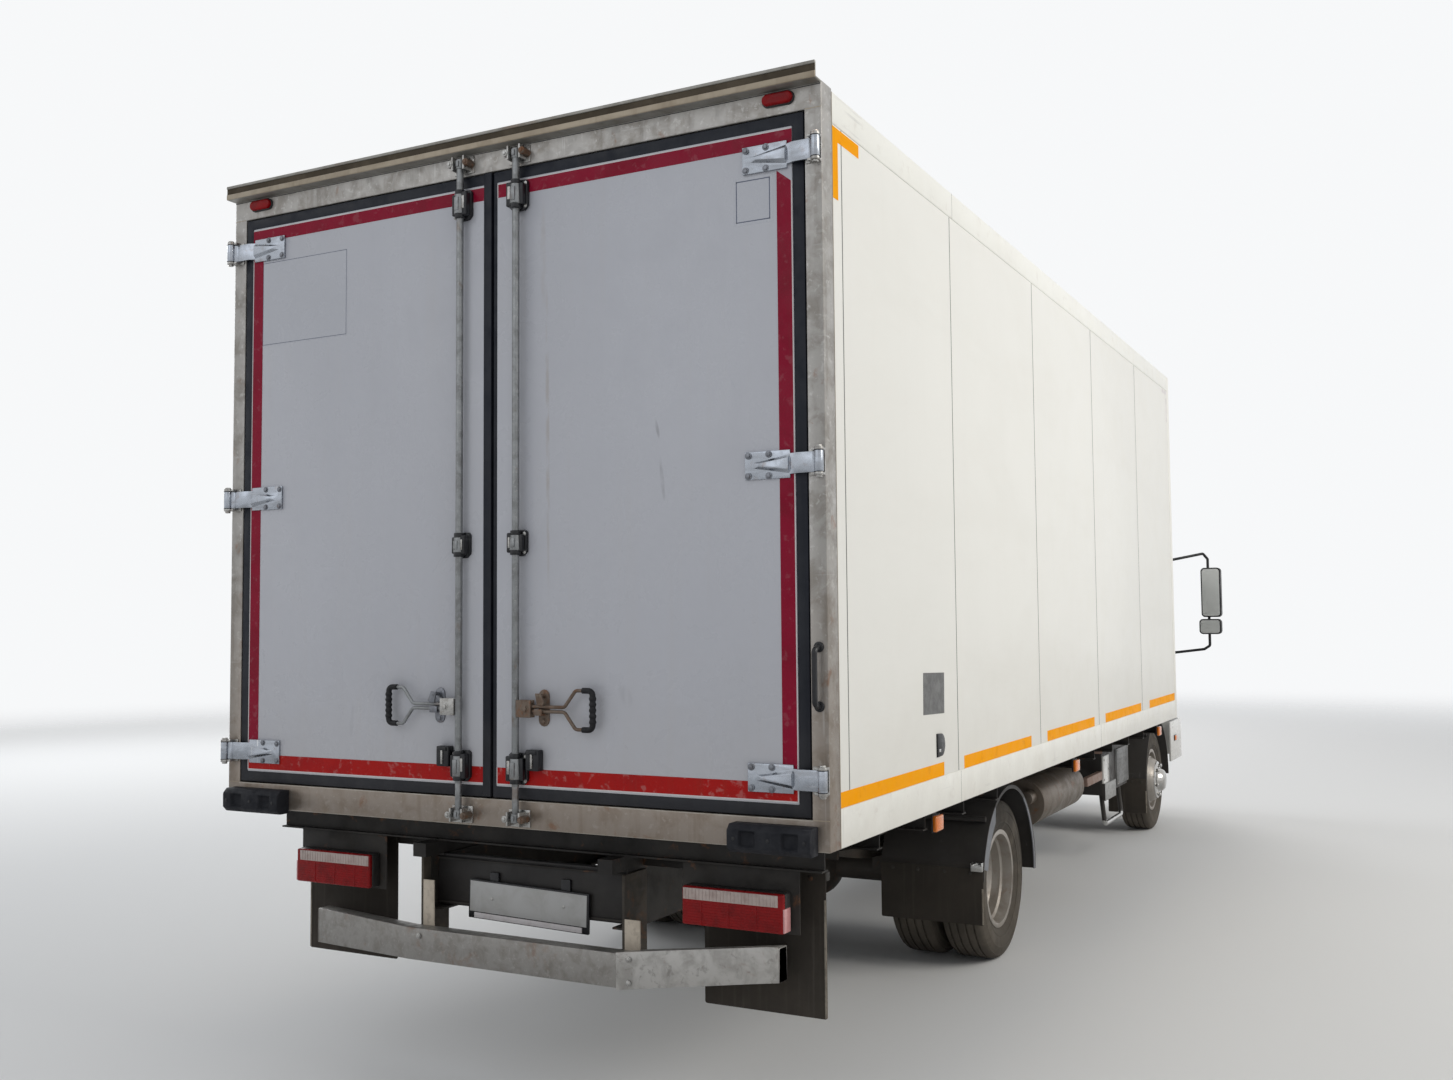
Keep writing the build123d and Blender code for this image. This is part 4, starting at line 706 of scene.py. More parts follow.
@dataclass(frozen=True)
class Finish:
    """A weathered surface: its own colour, patches, runs, road dirt, rust and relief.

    Lengths are in metres and scales in features per metre. A layer is a colour and how strongly it
    shows, and a strength of 0 leaves it out.
    """

    name: str
    slot: str
    colour: Colour
    rough: float = 0.5
    metallic: float = 0.0
    coat: float = 0.0
    specular: float = 0.5
    patch: Layer = NOTHING
    patch_scale: float = 4.0
    speck: Layer = NOTHING
    speck_scale: float = 90.0
    run: Layer = NOTHING
    run_scale: float = 18.0
    dirt: Layer = NOTHING
    dirt_clean: float = 1.1
    dirt_dirty: float = 0.1
    rust: Layer = NOTHING
    rust_scale: float = 14.0
    rust_low: float = 0.58
    rust_high: float = 0.7
    scratch: Layer = NOTHING
    fine: float = 350.0
    coarse: float = 12.0
    balance: float = 0.4
    relief: float = 0.0004
    rough_spread: float = 0.12
    variation: float = 0.955
    patch_stretch: Point = (1, 1, 1)
    grain_stretch: Point = (1, 1, 1)
    marks: tuple[Mark, ...] = ()

    def material(self) -> bpy.types.Material:
        """Return the finish's material, building it the first time."""
        found = bpy.data.materials.get(self.name)
        if found:
            return found
        made = bpy.data.materials.new(self.name)
        made.use_nodes = True
        self.fill(made.node_tree, made.node_tree.nodes["Principled BSDF"])
        return made

    def fill(self, tree: Tree, shader: Node) -> None:
        """Build the surface's nodes.

        Args:
            tree: The material's node tree.
            shader: Its Principled shader.
        """
        feed(tree, shader, {"Metallic": self.metallic, "Coat Weight": self.coat, "Coat Roughness": 0.12,
                            "Specular IOR Level": self.specular})
        patch = {"Scale": self.patch_scale, "Low": 0.42, "High": 0.68, "Stretch": self.patch_stretch}
        speck = {"Scale": self.speck_scale, "Low": 0.56, "High": 0.66}
        dirt = {"Clean": self.dirt_clean, "Dirty": self.dirt_dirty}
        rust = {"Scale": self.rust_scale, "Low": self.rust_low, "High": self.rust_high}
        layers = [
            (self.patch, Effects.patches, patch),
            (self.speck, Effects.patches, speck),
            (self.scratch, Effects.scratches, {}),
            (self.run, Effects.streaks, {"Scale": self.run_scale}),
            (self.dirt, Effects.road_dirt, dirt),
            (self.rust, Effects.patches, rust),
        ]
        layers += [((*mark.colour, mark.amount), Effects.mark, mark.values()) for mark in self.marks]
        base = Effects.use(tree, Effects.patches(), {"Scale": 1.3, "Low": 0.3, "High": 0.7})
        varied = [part * self.variation for part in self.colour]
        colour = self.mixed(tree, (*self.colour, 1), varied, base)
        for (*tint, amount), effect, values in layers:
            if amount > 0:
                mask = Effects.use(tree, effect(), values)
                if amount < 1:
                    mask = Effects.maths(tree, "MULTIPLY", mask, amount)
                colour = self.mixed(tree, colour, tint, mask)
        feed(tree, shader,
             {"Base Color": colour, "Roughness": self.dulled(tree), "Normal": self.embossed(tree)})

    @staticmethod
    def mixed(tree: Tree, under: Value, over: Sequence[float], mask: Socket) -> Socket:
        """Lay one colour over another by a mask.

        Args:
            tree: The material's node tree.
            under: The colour below, as a socket or as four numbers.
            over: The colour above.
            mask: Where it lies.

        Returns:
            The mixed colour.
        """
        mix = tree.nodes.new("ShaderNodeMix")
        mix.data_type = "RGBA"
        return feed(tree, mix, {"A": under, "B": (*over, 1), "Factor": mask}).outputs["Result"]

    def dulled(self, tree: Tree) -> Socket:
        """Return the roughness, varied from place to place."""
        mask = Effects.use(tree, Effects.patches(), {"Scale": max(self.patch_scale * 2.2, 6.0)})
        ends = (max(self.rough - self.rough_spread, 0.03), min(self.rough + self.rough_spread, 1.0))
        return Effects.ranged(tree, mask, 0.0, 1.0, Ramp.LINEAR, ends)

    def embossed(self, tree: Tree) -> Socket:
        """Return the normal with the fine relief."""
        values = {"Fine": self.fine, "Coarse": self.coarse, "Balance": self.balance,
                  "Stretch": self.grain_stretch}
        height = Effects.use(tree, Effects.grain(), values, "Height")
        bump = feed(tree, tree.nodes.new("ShaderNodeBump"), {"Distance": self.relief, "Height": height})
        return bump.outputs["Normal"]


@dataclass(frozen=True)
class Clear(Finish):
    """A see-through or tinted lens or pane, a little dusty."""

    passes: float = 1.0

    def fill(self, tree: Tree, shader: Node) -> None:
        """Build the pane's nodes."""
        super().fill(tree, shader)
        feed(tree, shader, {"Transmission Weight": self.passes, "IOR": 1.47})


# The doors' white gel coat, darkened and tinted blue: painted shade for the shaded rear doors, while the
# sides' cream stays bright.
SHADED_WHITE_GEL = (0.585, 0.592, 0.635)
CREAM = (0.86, 0.85, 0.805)
# Road dust colour, made extra dark so the parts under the body look shaded: partly dust, partly painted
# shade.
DUST_AND_SHADE = (0.12, 0.105, 0.088)
RUST = (0.21, 0.085, 0.032)
SCRATCH = (0.3, 0.3, 0.3)
SPECK = (0.2, 0.2, 0.2)
SCUFF = (0.30, 0.30, 0.315)
STAIN = (0.40, 0.335, 0.27)

DOOR_MARKS: tuple[Mark, ...] = (
    Mark(-0.706, 2.142, 0.009, 0.085, 0.106, SCUFF, 0.75),
    Mark(-0.688, 2.313, 0.008, 0.040, 0.20, SCUFF, 0.6),
    Mark(-0.242, 2.330, 0.010, 0.700, 0.006, STAIN, 0.40),
    Mark(-0.224, 2.950, 0.016, 0.230, 0.0, STAIN, 0.22),
    Mark(-0.560, 1.420, 0.030, 0.045, 0.3, SCUFF, 0.22),
    Mark(0.655, 1.310, 0.012, 0.080, -0.05, SCUFF, 0.30),
    Mark(0.160, 1.560, 0.040, 0.120, 0.0, STAIN, 0.16),
)

FINISHES: dict[str, Finish] = {f.slot: f for f in (
    Finish("Chassis paint", "chassis_steel", (0.011, 0.011, 0.012), 0.6, specular=0.2,
           patch=(0.032, 0.029, 0.026, 0.6), dirt=(*DUST_AND_SHADE, 0.35), dirt_clean=0.9, dirt_dirty=0.1,
           rust=(*RUST, 0.4), relief=0.0008),
    Finish("Engine iron", "engine_iron", (0.06, 0.06, 0.064), 0.6, 0.3, patch=(0.10, 0.088, 0.075, 0.6),
           dirt=(*DUST_AND_SHADE, 0.4), relief=0.0015, coarse=60),
    Finish("Axle iron", "axle_iron", (0.028, 0.026, 0.025), 0.65, specular=0.25,
           patch=(0.07, 0.06, 0.05, 0.7), dirt=(*DUST_AND_SHADE, 0.4), rust=(*RUST, 0.4), relief=0.0012, coarse=70),
    Finish("Spring leaves", "spring_steel", (0.035, 0.032, 0.03), 0.65, specular=0.25,
           patch=(0.09, 0.07, 0.055, 0.6), dirt=(*DUST_AND_SHADE, 0.4), rust=(*RUST, 0.6), relief=0.001),
    Finish("Tank paint", "tank_metal", (0.06, 0.06, 0.064), 0.42, patch=(0.11, 0.105, 0.10, 0.4),
           dirt=(*DUST_AND_SHADE, 0.5), relief=0.0004),
    Finish("Silencer steel", "exhaust_steel", (0.24, 0.20, 0.165), 0.5, 0.7, patch=(0.14, 0.10, 0.07, 0.8),
           dirt=(*DUST_AND_SHADE, 0.5), rust=(*RUST, 0.7), relief=0.0008),
    Finish("Black plastic", "black_plastic", (0.014, 0.014, 0.016), 0.5, specular=0.25,
           patch=(0.035, 0.034, 0.033, 0.5), dirt=(*DUST_AND_SHADE, 0.25), dirt_clean=0.9, relief=0.0005, fine=900),
    Finish("Guard plastic", "guard_plastic", (0.010, 0.011, 0.014), 0.55, specular=0.25,
           patch=(0.026, 0.028, 0.033, 0.5), dirt=(*DUST_AND_SHADE, 0.35), relief=0.0006, fine=700,
           scratch=(0.12, 0.12, 0.13, 0.4)),
    Finish("Flap rubber", "flap_rubber", (0.013, 0.011, 0.010), 0.8, specular=0.08,
           patch=(0.036, 0.029, 0.024, 0.6), run=(0.14, 0.125, 0.105, 0.4), run_scale=45,
           dirt=(*DUST_AND_SHADE, 0.35), relief=0.0006),
    Finish("Zinc coat", "galvanised_steel", (0.40, 0.40, 0.395), 0.5, 0.5, patch=(0.22, 0.215, 0.205, 0.8),
           patch_scale=18, speck=(0.55, 0.55, 0.54, 0.5), speck_scale=60, dirt=(0.20, 0.175, 0.145, 0.5),
           dirt_clean=0.75, dirt_dirty=0.35, rust=(*RUST, 0.35), rust_scale=9, relief=0.0007, coarse=30),
    Finish("Red lens", "red_lens", (0.33, 0.008, 0.012), 0.18, coat=0.6, specular=0.3,
           patch=(0.22, 0.006, 0.01, 0.4), dirt=(*DUST_AND_SHADE, 0.15), relief=0.0001),
    Finish("Amber lens", "amber_lens", (0.85, 0.21, 0.006), 0.2, coat=0.6, specular=0.25,
           patch=(0.6, 0.14, 0.006, 0.4), dirt=(*DUST_AND_SHADE, 0.12), relief=0.0001),
    Clear("Clear lens", "clear_lens", (0.92, 0.94, 0.95), 0.08, rough_spread=0.04, relief=0.0001,
          passes=0.9),
    Finish("Bumper paint", "bumper_white", (0.77, 0.77, 0.75), 0.35, coat=0.3,
           patch=(0.66, 0.65, 0.62, 0.35), dirt=(0.30, 0.27, 0.23, 0.4), dirt_clean=0.72, dirt_dirty=0.1,
           scratch=(*SCRATCH, 0.3), relief=0.0002),
    Finish("Floor sheet", "floor_aluminium", (0.40, 0.41, 0.42), 0.42, 0.85, patch=(0.28, 0.28, 0.28, 0.5),
           speck=(*SPECK, 0.3), scratch=(0.7, 0.7, 0.7, 0.6), relief=0.0006),
    Finish("Panel skin", "panel_white", CREAM, 0.42, coat=0.1, specular=0.3,
           patch=(0.80, 0.785, 0.735, 0.35), patch_scale=1.6, patch_stretch=(0.5, 1, 1.6),
           run=(0.68, 0.66, 0.60, 0.06), run_scale=14, dirt=(0.50, 0.46, 0.39, 0.22), dirt_clean=1.35,
           dirt_dirty=0.5, coarse=15, balance=0.92, relief=0.0011, fine=260, grain_stretch=(0.30, 1, 1.5),
           rough_spread=0.06, variation=0.985),
    Finish("Rail paint", "rail_white", (0.93, 0.925, 0.87), 0.4, coat=0.1, specular=0.35,
           patch=(0.84, 0.82, 0.76, 0.3), patch_scale=5, run=(0.60, 0.57, 0.51, 0.14), run_scale=12,
           dirt=(0.42, 0.38, 0.32, 0.3), dirt_clean=1.10, dirt_dirty=0.6, rust=(*RUST, 0.10),
           scratch=(*SCRATCH, 0.25), relief=0.0004),
    Finish("Frame steel", "frame_steel", (0.40, 0.385, 0.365), 0.42, 0.55, patch=(0.225, 0.205, 0.18, 0.75),
           patch_scale=11, speck=(0.56, 0.55, 0.53, 0.5), speck_scale=42, run=(0.12, 0.095, 0.07, 0.65),
           run_scale=30, dirt=(0.20, 0.135, 0.085, 0.55), dirt_clean=1.75, dirt_dirty=0.75,
           rust=(*RUST, 0.55), rust_scale=9, rust_low=0.61, rust_high=0.72, scratch=(0.66, 0.66, 0.65, 0.6),
           relief=0.0009, coarse=11),
    Finish("Fitting steel", "fitting_steel", (0.42, 0.415, 0.40), 0.36, 0.8,
           patch=(0.20, 0.185, 0.17, 0.65), patch_scale=26, rust=(0.16, 0.075, 0.035, 0.6), rust_scale=30,
           relief=0.0004),
    Finish("Buffer rubber", "buffer_rubber", (0.013, 0.014, 0.018), 0.7, specular=0.2,
           patch=(0.03, 0.031, 0.036, 0.6), patch_scale=14, scratch=(0.10, 0.10, 0.105, 0.6), relief=0.0012,
           coarse=60),
    Finish("Unit casing", "unit_white", (0.79, 0.79, 0.775), 0.38, coat=0.2,
           patch=(0.70, 0.695, 0.67, 0.35), run=(0.5, 0.47, 0.43, 0.22), relief=0.00008, rough_spread=0.03),
    Finish("Cab paint", "cab_paint", (0.80, 0.80, 0.79), 0.22, coat=0.5, patch=(0.76, 0.755, 0.74, 0.3),
           dirt=(0.34, 0.31, 0.27, 0.35), dirt_clean=1.15, dirt_dirty=0.5, relief=0.00003,
           rough_spread=0.02),
    Clear("Window glass", "clear_glass", (0.75, 0.84, 0.83), 0.05, rough_spread=0.03, relief=0.00005,
          passes=0.94),
    Finish("Cushion cloth", "seat_fabric", (0.055, 0.06, 0.075), 0.9, specular=0.2,
           patch=(0.09, 0.09, 0.10, 0.6), speck=(0.16, 0.16, 0.18, 0.5), speck_scale=450, fine=1200,
           relief=0.0012),
    Finish("Dash plastic", "dash_plastic", (0.04, 0.04, 0.043), 0.6, patch=(0.065, 0.063, 0.06, 0.4),
           fine=1500, relief=0.0006),
    # The doors' finish: painted shade, a darkened bluish white with darker bluish patches.
    Finish("Shaded door skin", "door_white", SHADED_WHITE_GEL, 0.38, coat=0.12, specular=0.35,
           patch=(0.53, 0.535, 0.57, 0.35), patch_scale=2.6, patch_stretch=(1, 1, 0.12),
           run=(0.55, 0.50, 0.44, 0.13), run_scale=20, dirt=(0.46, 0.42, 0.37, 0.22), dirt_clean=1.35,
           dirt_dirty=0.6, coarse=4, balance=0.94, relief=0.0016, fine=200, grain_stretch=(1, 1, 0.25),
           marks=DOOR_MARKS, variation=0.97),
    Finish("Seal rubber", "seal_rubber", (0.011, 0.0135, 0.021), 0.5, specular=0.2,
           patch=(0.026, 0.029, 0.038, 0.5), patch_scale=7, run=(0.07, 0.066, 0.06, 0.2),
           dirt=(*DUST_AND_SHADE, 0.12), dirt_clean=1.2, dirt_dirty=0.8, relief=0.0006),
    Finish("Strap steel", "strap_steel", (0.40, 0.43, 0.48), 0.3, 0.9, patch=(0.24, 0.25, 0.27, 0.6),
           patch_scale=18, patch_stretch=(1, 0.35, 1.6), rust=(0.20, 0.11, 0.06, 0.25), rust_scale=26,
           scratch=(0.80, 0.80, 0.80, 0.5), relief=0.0003),
    Finish("Rod zinc", "rod_steel", (0.27, 0.28, 0.285), 0.45, 0.6, patch=(0.155, 0.155, 0.155, 0.7),
           patch_scale=20, speck=(0.40, 0.40, 0.395, 0.4), rust=(0.15, 0.085, 0.045, 0.4), rust_scale=12,
           relief=0.0004),
    Finish("Tyre rubber", "tyre_rubber", (0.030, 0.028, 0.026), 0.85, specular=0.2,
           patch=(0.105, 0.091, 0.075, 0.75), patch_scale=5, dirt=(0.16, 0.135, 0.105, 0.35),
           dirt_clean=0.85, dirt_dirty=-0.2, relief=0.0006, fine=600),
    Finish("Rim paint", "rim_silver", (0.48, 0.46, 0.43), 0.42, 0.4, patch=(0.24, 0.20, 0.165, 0.7),
           patch_scale=8, dirt=(0.2, 0.165, 0.13, 0.45), dirt_clean=0.9, dirt_dirty=0.1, rust=(*RUST, 0.35),
           relief=0.0006),
)}

EXTRAS: dict[str, Finish] = {f.name: f for f in (
    # The pale strip on the flaps' outer edges: a painted highlight for the sunlit edge face.
    Finish("Flap edge highlight", "flap_rubber", (0.30, 0.265, 0.22), 0.8, specular=0.1,
           patch=(0.09, 0.075, 0.06, 0.6), patch_scale=18),
    Finish("Dusty steel", "chassis_steel", (0.060, 0.052, 0.044), 0.7, specular=0.2,
           patch=(0.11, 0.09, 0.07, 0.7), patch_scale=9, rust=(*RUST, 0.35), rust_scale=12, relief=0.0008),
    Finish("Crimson tape", "red_lens", (0.30, 0.006, 0.032), 0.36, specular=0.12,
           patch=(0.20, 0.004, 0.018, 0.55), patch_scale=5, speck=(0.50, 0.24, 0.26, 0.16), speck_scale=30,
           run=(0.16, 0.03, 0.03, 0.3), run_scale=30, relief=0.0003),
    Finish("Red tape", "red_lens", (0.47, 0.012, 0.010), 0.36, specular=0.12,
           patch=(0.33, 0.008, 0.012, 0.5), patch_scale=6, speck=(0.66, 0.45, 0.42, 0.22), speck_scale=30,
           run=(0.22, 0.05, 0.03, 0.3), run_scale=30, relief=0.0003),
    Finish("Tape edge", "door_white", (0.72, 0.68, 0.68), 0.4, patch=(0.50, 0.45, 0.44, 0.5),
           patch_scale=16, relief=0.0002),
    Finish("Orange tape", "amber_lens", (1.0, 0.385, 0.001), 0.5, specular=0.02,
           patch=(0.95, 0.40, 0.004, 0.5), patch_scale=7, speck=(0.70, 0.24, 0.01, 0.3), speck_scale=16,
           dirt=(0.55, 0.30, 0.05, 0.06), dirt_clean=1.25, dirt_dirty=0.8, relief=0.0002),
    # The label's white film, darkened and tinted blue like the doors: painted shade.
    Finish("Shaded label film", "door_white", (0.565, 0.575, 0.62), 0.28, coat=0.3, specular=0.35,
           patch=(0.53, 0.54, 0.58, 0.5), relief=0.0001),
    Finish("Label line", "black_plastic", (0.085, 0.10, 0.16), 0.4, patch=(0.2, 0.22, 0.28, 0.4),
           patch_scale=20, relief=0.0001),
    Finish("Grey tape", "seal_rubber", (0.10, 0.10, 0.10), 0.55, patch=(0.16, 0.16, 0.155, 0.6),
           patch_scale=14, scratch=(0.3, 0.3, 0.3, 0.5), relief=0.0006, coarse=30),
    Finish("Joint line", "seal_rubber", (0.105, 0.11, 0.105), 0.6, specular=0.1,
           patch=(0.22, 0.22, 0.21, 0.6), patch_scale=5, relief=0.0003),
    Finish("Gutter sheet", "floor_aluminium", (0.30, 0.29, 0.265), 0.5, 0.5, patch=(0.18, 0.165, 0.14, 0.7),
           patch_scale=6, run=(0.10, 0.085, 0.065, 0.6), run_scale=24, rust=(*RUST, 0.25), rust_scale=6,
           relief=0.0007, coarse=14),
    # The dark band under the gutter's top lip: painted shadow, with dirt runs.
    Finish("Gutter lip shadow", "frame_steel", (0.075, 0.060, 0.042), 0.65, 0.1, specular=0.1,
           patch=(0.13, 0.105, 0.075, 0.6), patch_scale=8, run=(0.05, 0.04, 0.03, 0.5), relief=0.0006),
    Finish("Gutter flange", "frame_steel", (0.40, 0.335, 0.25), 0.5, 0.25, patch=(0.27, 0.215, 0.15, 0.65),
           patch_scale=7, run=(0.14, 0.10, 0.065, 0.5), run_scale=26, relief=0.0005),
    Finish("Sill steel", "frame_steel", (0.40, 0.365, 0.315), 0.5, 0.4, patch=(0.28, 0.24, 0.19, 0.75),
           patch_scale=6, run=(0.15, 0.105, 0.065, 0.7), run_scale=16, rust=(0.17, 0.09, 0.042, 0.6),
           rust_scale=9, rust_low=0.58, rust_high=0.70, scratch=(0.58, 0.55, 0.5, 0.5), relief=0.0008),
    Finish("Guide housing", "black_plastic", (0.012, 0.0125, 0.015), 0.42, coat=0.1, specular=0.3,
           patch=(0.028, 0.028, 0.03, 0.5), patch_scale=24, scratch=(0.12, 0.12, 0.12, 0.4), relief=0.0005),
    Finish("Grip rubber", "black_plastic", (0.010, 0.010, 0.012), 0.6, specular=0.25,
           patch=(0.025, 0.025, 0.027, 0.5), patch_scale=30, relief=0.0006),
    Finish("Rusty hub", "fitting_steel", (0.17, 0.13, 0.10), 0.6, 0.4, patch=(0.10, 0.055, 0.032, 0.8),
           patch_scale=40, rust=(0.20, 0.075, 0.025, 0.7), rust_scale=28, rust_low=0.5, rust_high=0.66,
           relief=0.0009),
    Finish("Latch steel", "fitting_steel", (0.20, 0.21, 0.235), 0.4, 0.75, patch=(0.12, 0.12, 0.13, 0.6),
           patch_scale=30, rust=(0.16, 0.075, 0.035, 0.35), rust_scale=40, relief=0.0005),
    Finish("Ribbed lens", "clear_lens", (0.56, 0.46, 0.42), 0.16, coat=0.3, patch=(0.36, 0.25, 0.22, 0.6),
           patch_scale=24, dirt=(*DUST_AND_SHADE, 0.15), relief=0.0002),
    Finish("Lamp red", "red_lens", (0.31, 0.003, 0.006), 0.3, specular=0.15,
           patch=(0.16, 0.002, 0.004, 0.6), patch_scale=16, dirt=(*DUST_AND_SHADE, 0.10), relief=0.0002),
    Finish("Pink marker", "clear_lens", (0.62, 0.30, 0.30), 0.2, coat=0.5, patch=(0.5, 0.22, 0.22, 0.4),
           patch_scale=30, relief=0.0001),
    Finish("Plate white", "door_white", (0.58, 0.58, 0.57), 0.4, coat=0.2, patch=(0.42, 0.41, 0.38, 0.5),
           patch_scale=12, dirt=(*DUST_AND_SHADE, 0.25), relief=0.0002),
    Finish("Bright steel", "fitting_steel", (0.62, 0.62, 0.61), 0.2, 0.95, patch=(0.42, 0.41, 0.39, 0.45),
           patch_scale=22, dirt=(*DUST_AND_SHADE, 0.2), relief=0.0002),
    # Pale bluish grey for the guards' outer lip: partly road dust, partly painted sunlight on the guard's
    # rear strip.
    Finish("Guard dust and sunlight", "guard_plastic", (0.15, 0.165, 0.195), 0.6, patch=(0.25, 0.265, 0.295, 0.6),
           patch_scale=7, run=(0.06, 0.06, 0.065, 0.4), dirt=(*DUST_AND_SHADE, 0.3), relief=0.0006),
    Finish("Wheel trim", "rim_silver", (0.66, 0.655, 0.64), 0.16, 0.95, patch=(0.4, 0.37, 0.33, 0.5),
           patch_scale=14, dirt=(*DUST_AND_SHADE, 0.25), relief=0.0002),
    Finish("Mirror glass", "clear_glass", (0.72, 0.74, 0.75), 0.05, 1.0, patch=(0.62, 0.63, 0.62, 0.3),
           rough_spread=0.03, relief=0.00003),
    Finish("Lamp bowl", "fitting_steel", (0.80, 0.80, 0.80), 0.12, 1.0, patch=(0.68, 0.68, 0.68, 0.4),
           relief=0.00005),
    Finish("Rusty channel", "chassis_steel", (0.30, 0.19, 0.15), 0.6, 0.2, patch=(0.36, 0.27, 0.23, 0.6),
           patch_scale=14, rust=(*RUST, 0.5), dirt=(*DUST_AND_SHADE, 0.2), relief=0.0007),
    Finish("Cover plate", "tank_metal", (0.20, 0.205, 0.21), 0.42, 0.5, patch=(0.13, 0.13, 0.13, 0.6),
           patch_scale=12, dirt=(*DUST_AND_SHADE, 0.3), relief=0.0008, coarse=40),
    Finish("Mottled zinc", "galvanised_steel", (0.50, 0.485, 0.46), 0.5, 0.35,
           patch=(0.27, 0.255, 0.235, 0.7), patch_scale=13, speck=(0.17, 0.155, 0.14, 0.45), speck_scale=30,
           rust=(*RUST, 0.2), rust_scale=16, relief=0.0007, coarse=40),
    Finish("Pale strip", "galvanised_steel", (0.60, 0.52, 0.42), 0.5, 0.1, patch=(0.40, 0.34, 0.27, 0.6),
           patch_scale=14, speck=(0.2, 0.16, 0.12, 0.3), speck_scale=40),
    Finish("Tread plate", "floor_aluminium", (0.44, 0.44, 0.43), 0.4, 0.8, patch=(0.26, 0.26, 0.25, 0.7),
           patch_scale=30, speck=(0.62, 0.62, 0.6, 0.5), dirt=(*DUST_AND_SHADE, 0.2), relief=0.0012, coarse=90),
)}

BARE_NODES: tuple[tuple[str, float], ...] = (
    # node, bevel width
    ("ladder_frame", 0.0), ("subframe", 0.0), ("engine_block", 0.012), ("front_axle_beam", 0.006),
    ("rear_axle", 0.004), ("leaf_springs", 0.003), ("fuel_tank", 0.004), ("silencer", 0.008),
    ("front_mudguards", 0.0), ("flap_carriers", 0.002), ("front_bumper", 0.006), ("box_floor", 0.002),
    ("box_front_wall", 0.004), ("box_roof", 0.002), ("box_edge_rails", 0.004), ("box_side_left", 0.0015),
    ("box_side_right", 0.0015), ("evaporator", 0.008), ("cab_floor", 0.004), ("cab_back", 0.004),
    ("cab_roof", 0.004), ("windscreen", 0.0), ("dashboard", 0.006), ("mirrors", 0.006),
    ("track_rod", 0.0), ("box_door_left", 0.002), ("box_door_right", 0.002), ("door_seal_left", 0.002),
    ("door_seal_right", 0.002), ("cab_door_left", 0.003), ("cab_door_right", 0.003),
)


# Rear doors


@dataclass
class DoorDressing:
    """The warning tapes and the blank labels on one leaf."""

    side: Side
    outer: float = 1.195
    low: float = 1.099
    high: float = 3.252
    top_width: float = 0.052
    side_width: float = 0.055
    foot_width: float = 0.060
    border: float = 0.004
    sheet: float = 0.0006
    sunk: float = 0.0015
    cut_high: float = 3.118
    cut_low: float = 3.078
    label: dict[Side, tuple[float, float, float, float]] = field(default_factory=lambda: {
        # inner and outer place across, low and high edge
        Side.LEFT: (0.694, 1.144, 2.776, 3.115), Side.RIGHT: (0.982, 1.126, 2.955, 3.113)})

    @property
    def inner(self) -> float:
        """The tapes' inner end: at the wide seal lip on the left leaf, at the rebate on the right one."""
        return 0.037 if self.side is Side.LEFT else 0.0265

    def flat(self, shape: Shape, across: Pair, up: Pair, proud: float = 1.0) -> None:
        """Lay a thin sheet on the leaf.

        Args:
            shape: The piece that takes it.
            across: Its two places across.
            up: Its two heights.
            proud: How many sheets it stands proud.
        """
        sign = self.side.value
        shape.block((REAR - self.sheet * proud, sign * across[0], up[0]),
                    (REAR + self.sunk, sign * across[1], up[1]))

    def build(self) -> None:
        """Lay the tapes, the label and the left leaf's seal lip."""
        self.tapes()
        self.blank_label()
        if self.side is Side.LEFT:
            lip = Shape().block((REAR - 0.002, 0.003, 1.055), (REAR + 0.0035, 0.037, 3.2985), 0.0012)
            lip.place("centre_seal_lip", "box_door_left", [FINISHES["seal_rubber"]])

    def tapes(self) -> None:
        """Lay crimson tape along the top and the side and red tape along the foot, with pale edges."""
        sign = self.side.value
        foot, top = self.low + self.foot_width, self.high - self.top_width
        shape = Shape().paint(0)
        self.flat(shape, (self.inner, self.outer), (top, self.high - self.border))
        edge_y, side_y = self.outer - self.border, self.outer - self.side_width
        end = (self.cut_high, self.cut_low) if self.side is Side.RIGHT else (top, top)
        outline = [(sign * side_y, foot), (sign * edge_y, foot), (sign * edge_y, end[1]),
                   (sign * side_y, end[0])]
        shape.prism(outline, Axis.X, REAR - self.sheet, REAR + self.sunk)
        shape.paint(1)
        self.flat(shape, (self.inner, self.outer), (self.high - self.border, self.high))
        self.flat(shape, (edge_y, self.outer), (self.low, end[1]))
        self.flat(shape, (self.inner, edge_y), (self.low, self.low + self.border))
        if self.side is Side.RIGHT:
            for up in ((self.low, foot), (top, self.high)):
                self.flat(shape, (self.inner - 0.0035, self.inner), up)
        shape.paint(2)
        self.flat(shape, (self.inner, edge_y), (self.low + self.border, foot))
        shape.place("door_tapes_" + self.side.tag, "box_door_" + self.side.tag,
                    [EXTRAS["Crimson tape"], EXTRAS["Tape edge"], EXTRAS["Red tape"]])

    def blank_label(self) -> None:
        """Lay a bare label with a thin frame line."""
        y0, y1, z0, z1 = self.label[self.side]
        line = 0.0035 if self.side is Side.RIGHT else 0.002
        inset = 0.010 if self.side is Side.RIGHT else 0.004
        shape = Shape().paint(0)
        self.flat(shape, (y0, y1), (z0, z1), 0.5)
        shape.paint(1)
        a, b, c, d = y0 + inset, y1 - inset, z0 + inset, z1 - inset
        for across, up in (((a, b), (c, c + line)), ((a, b), (d - line, d)), ((a, a + line), (c, d)),
                           ((b - line, b), (c, d))):
            self.flat(shape, across, up, 0.8)
        shape.place("door_label_" + self.side.tag, "box_door_" + self.side.tag,
                    [EXTRAS["Shaded label film"], EXTRAS["Label line"]])


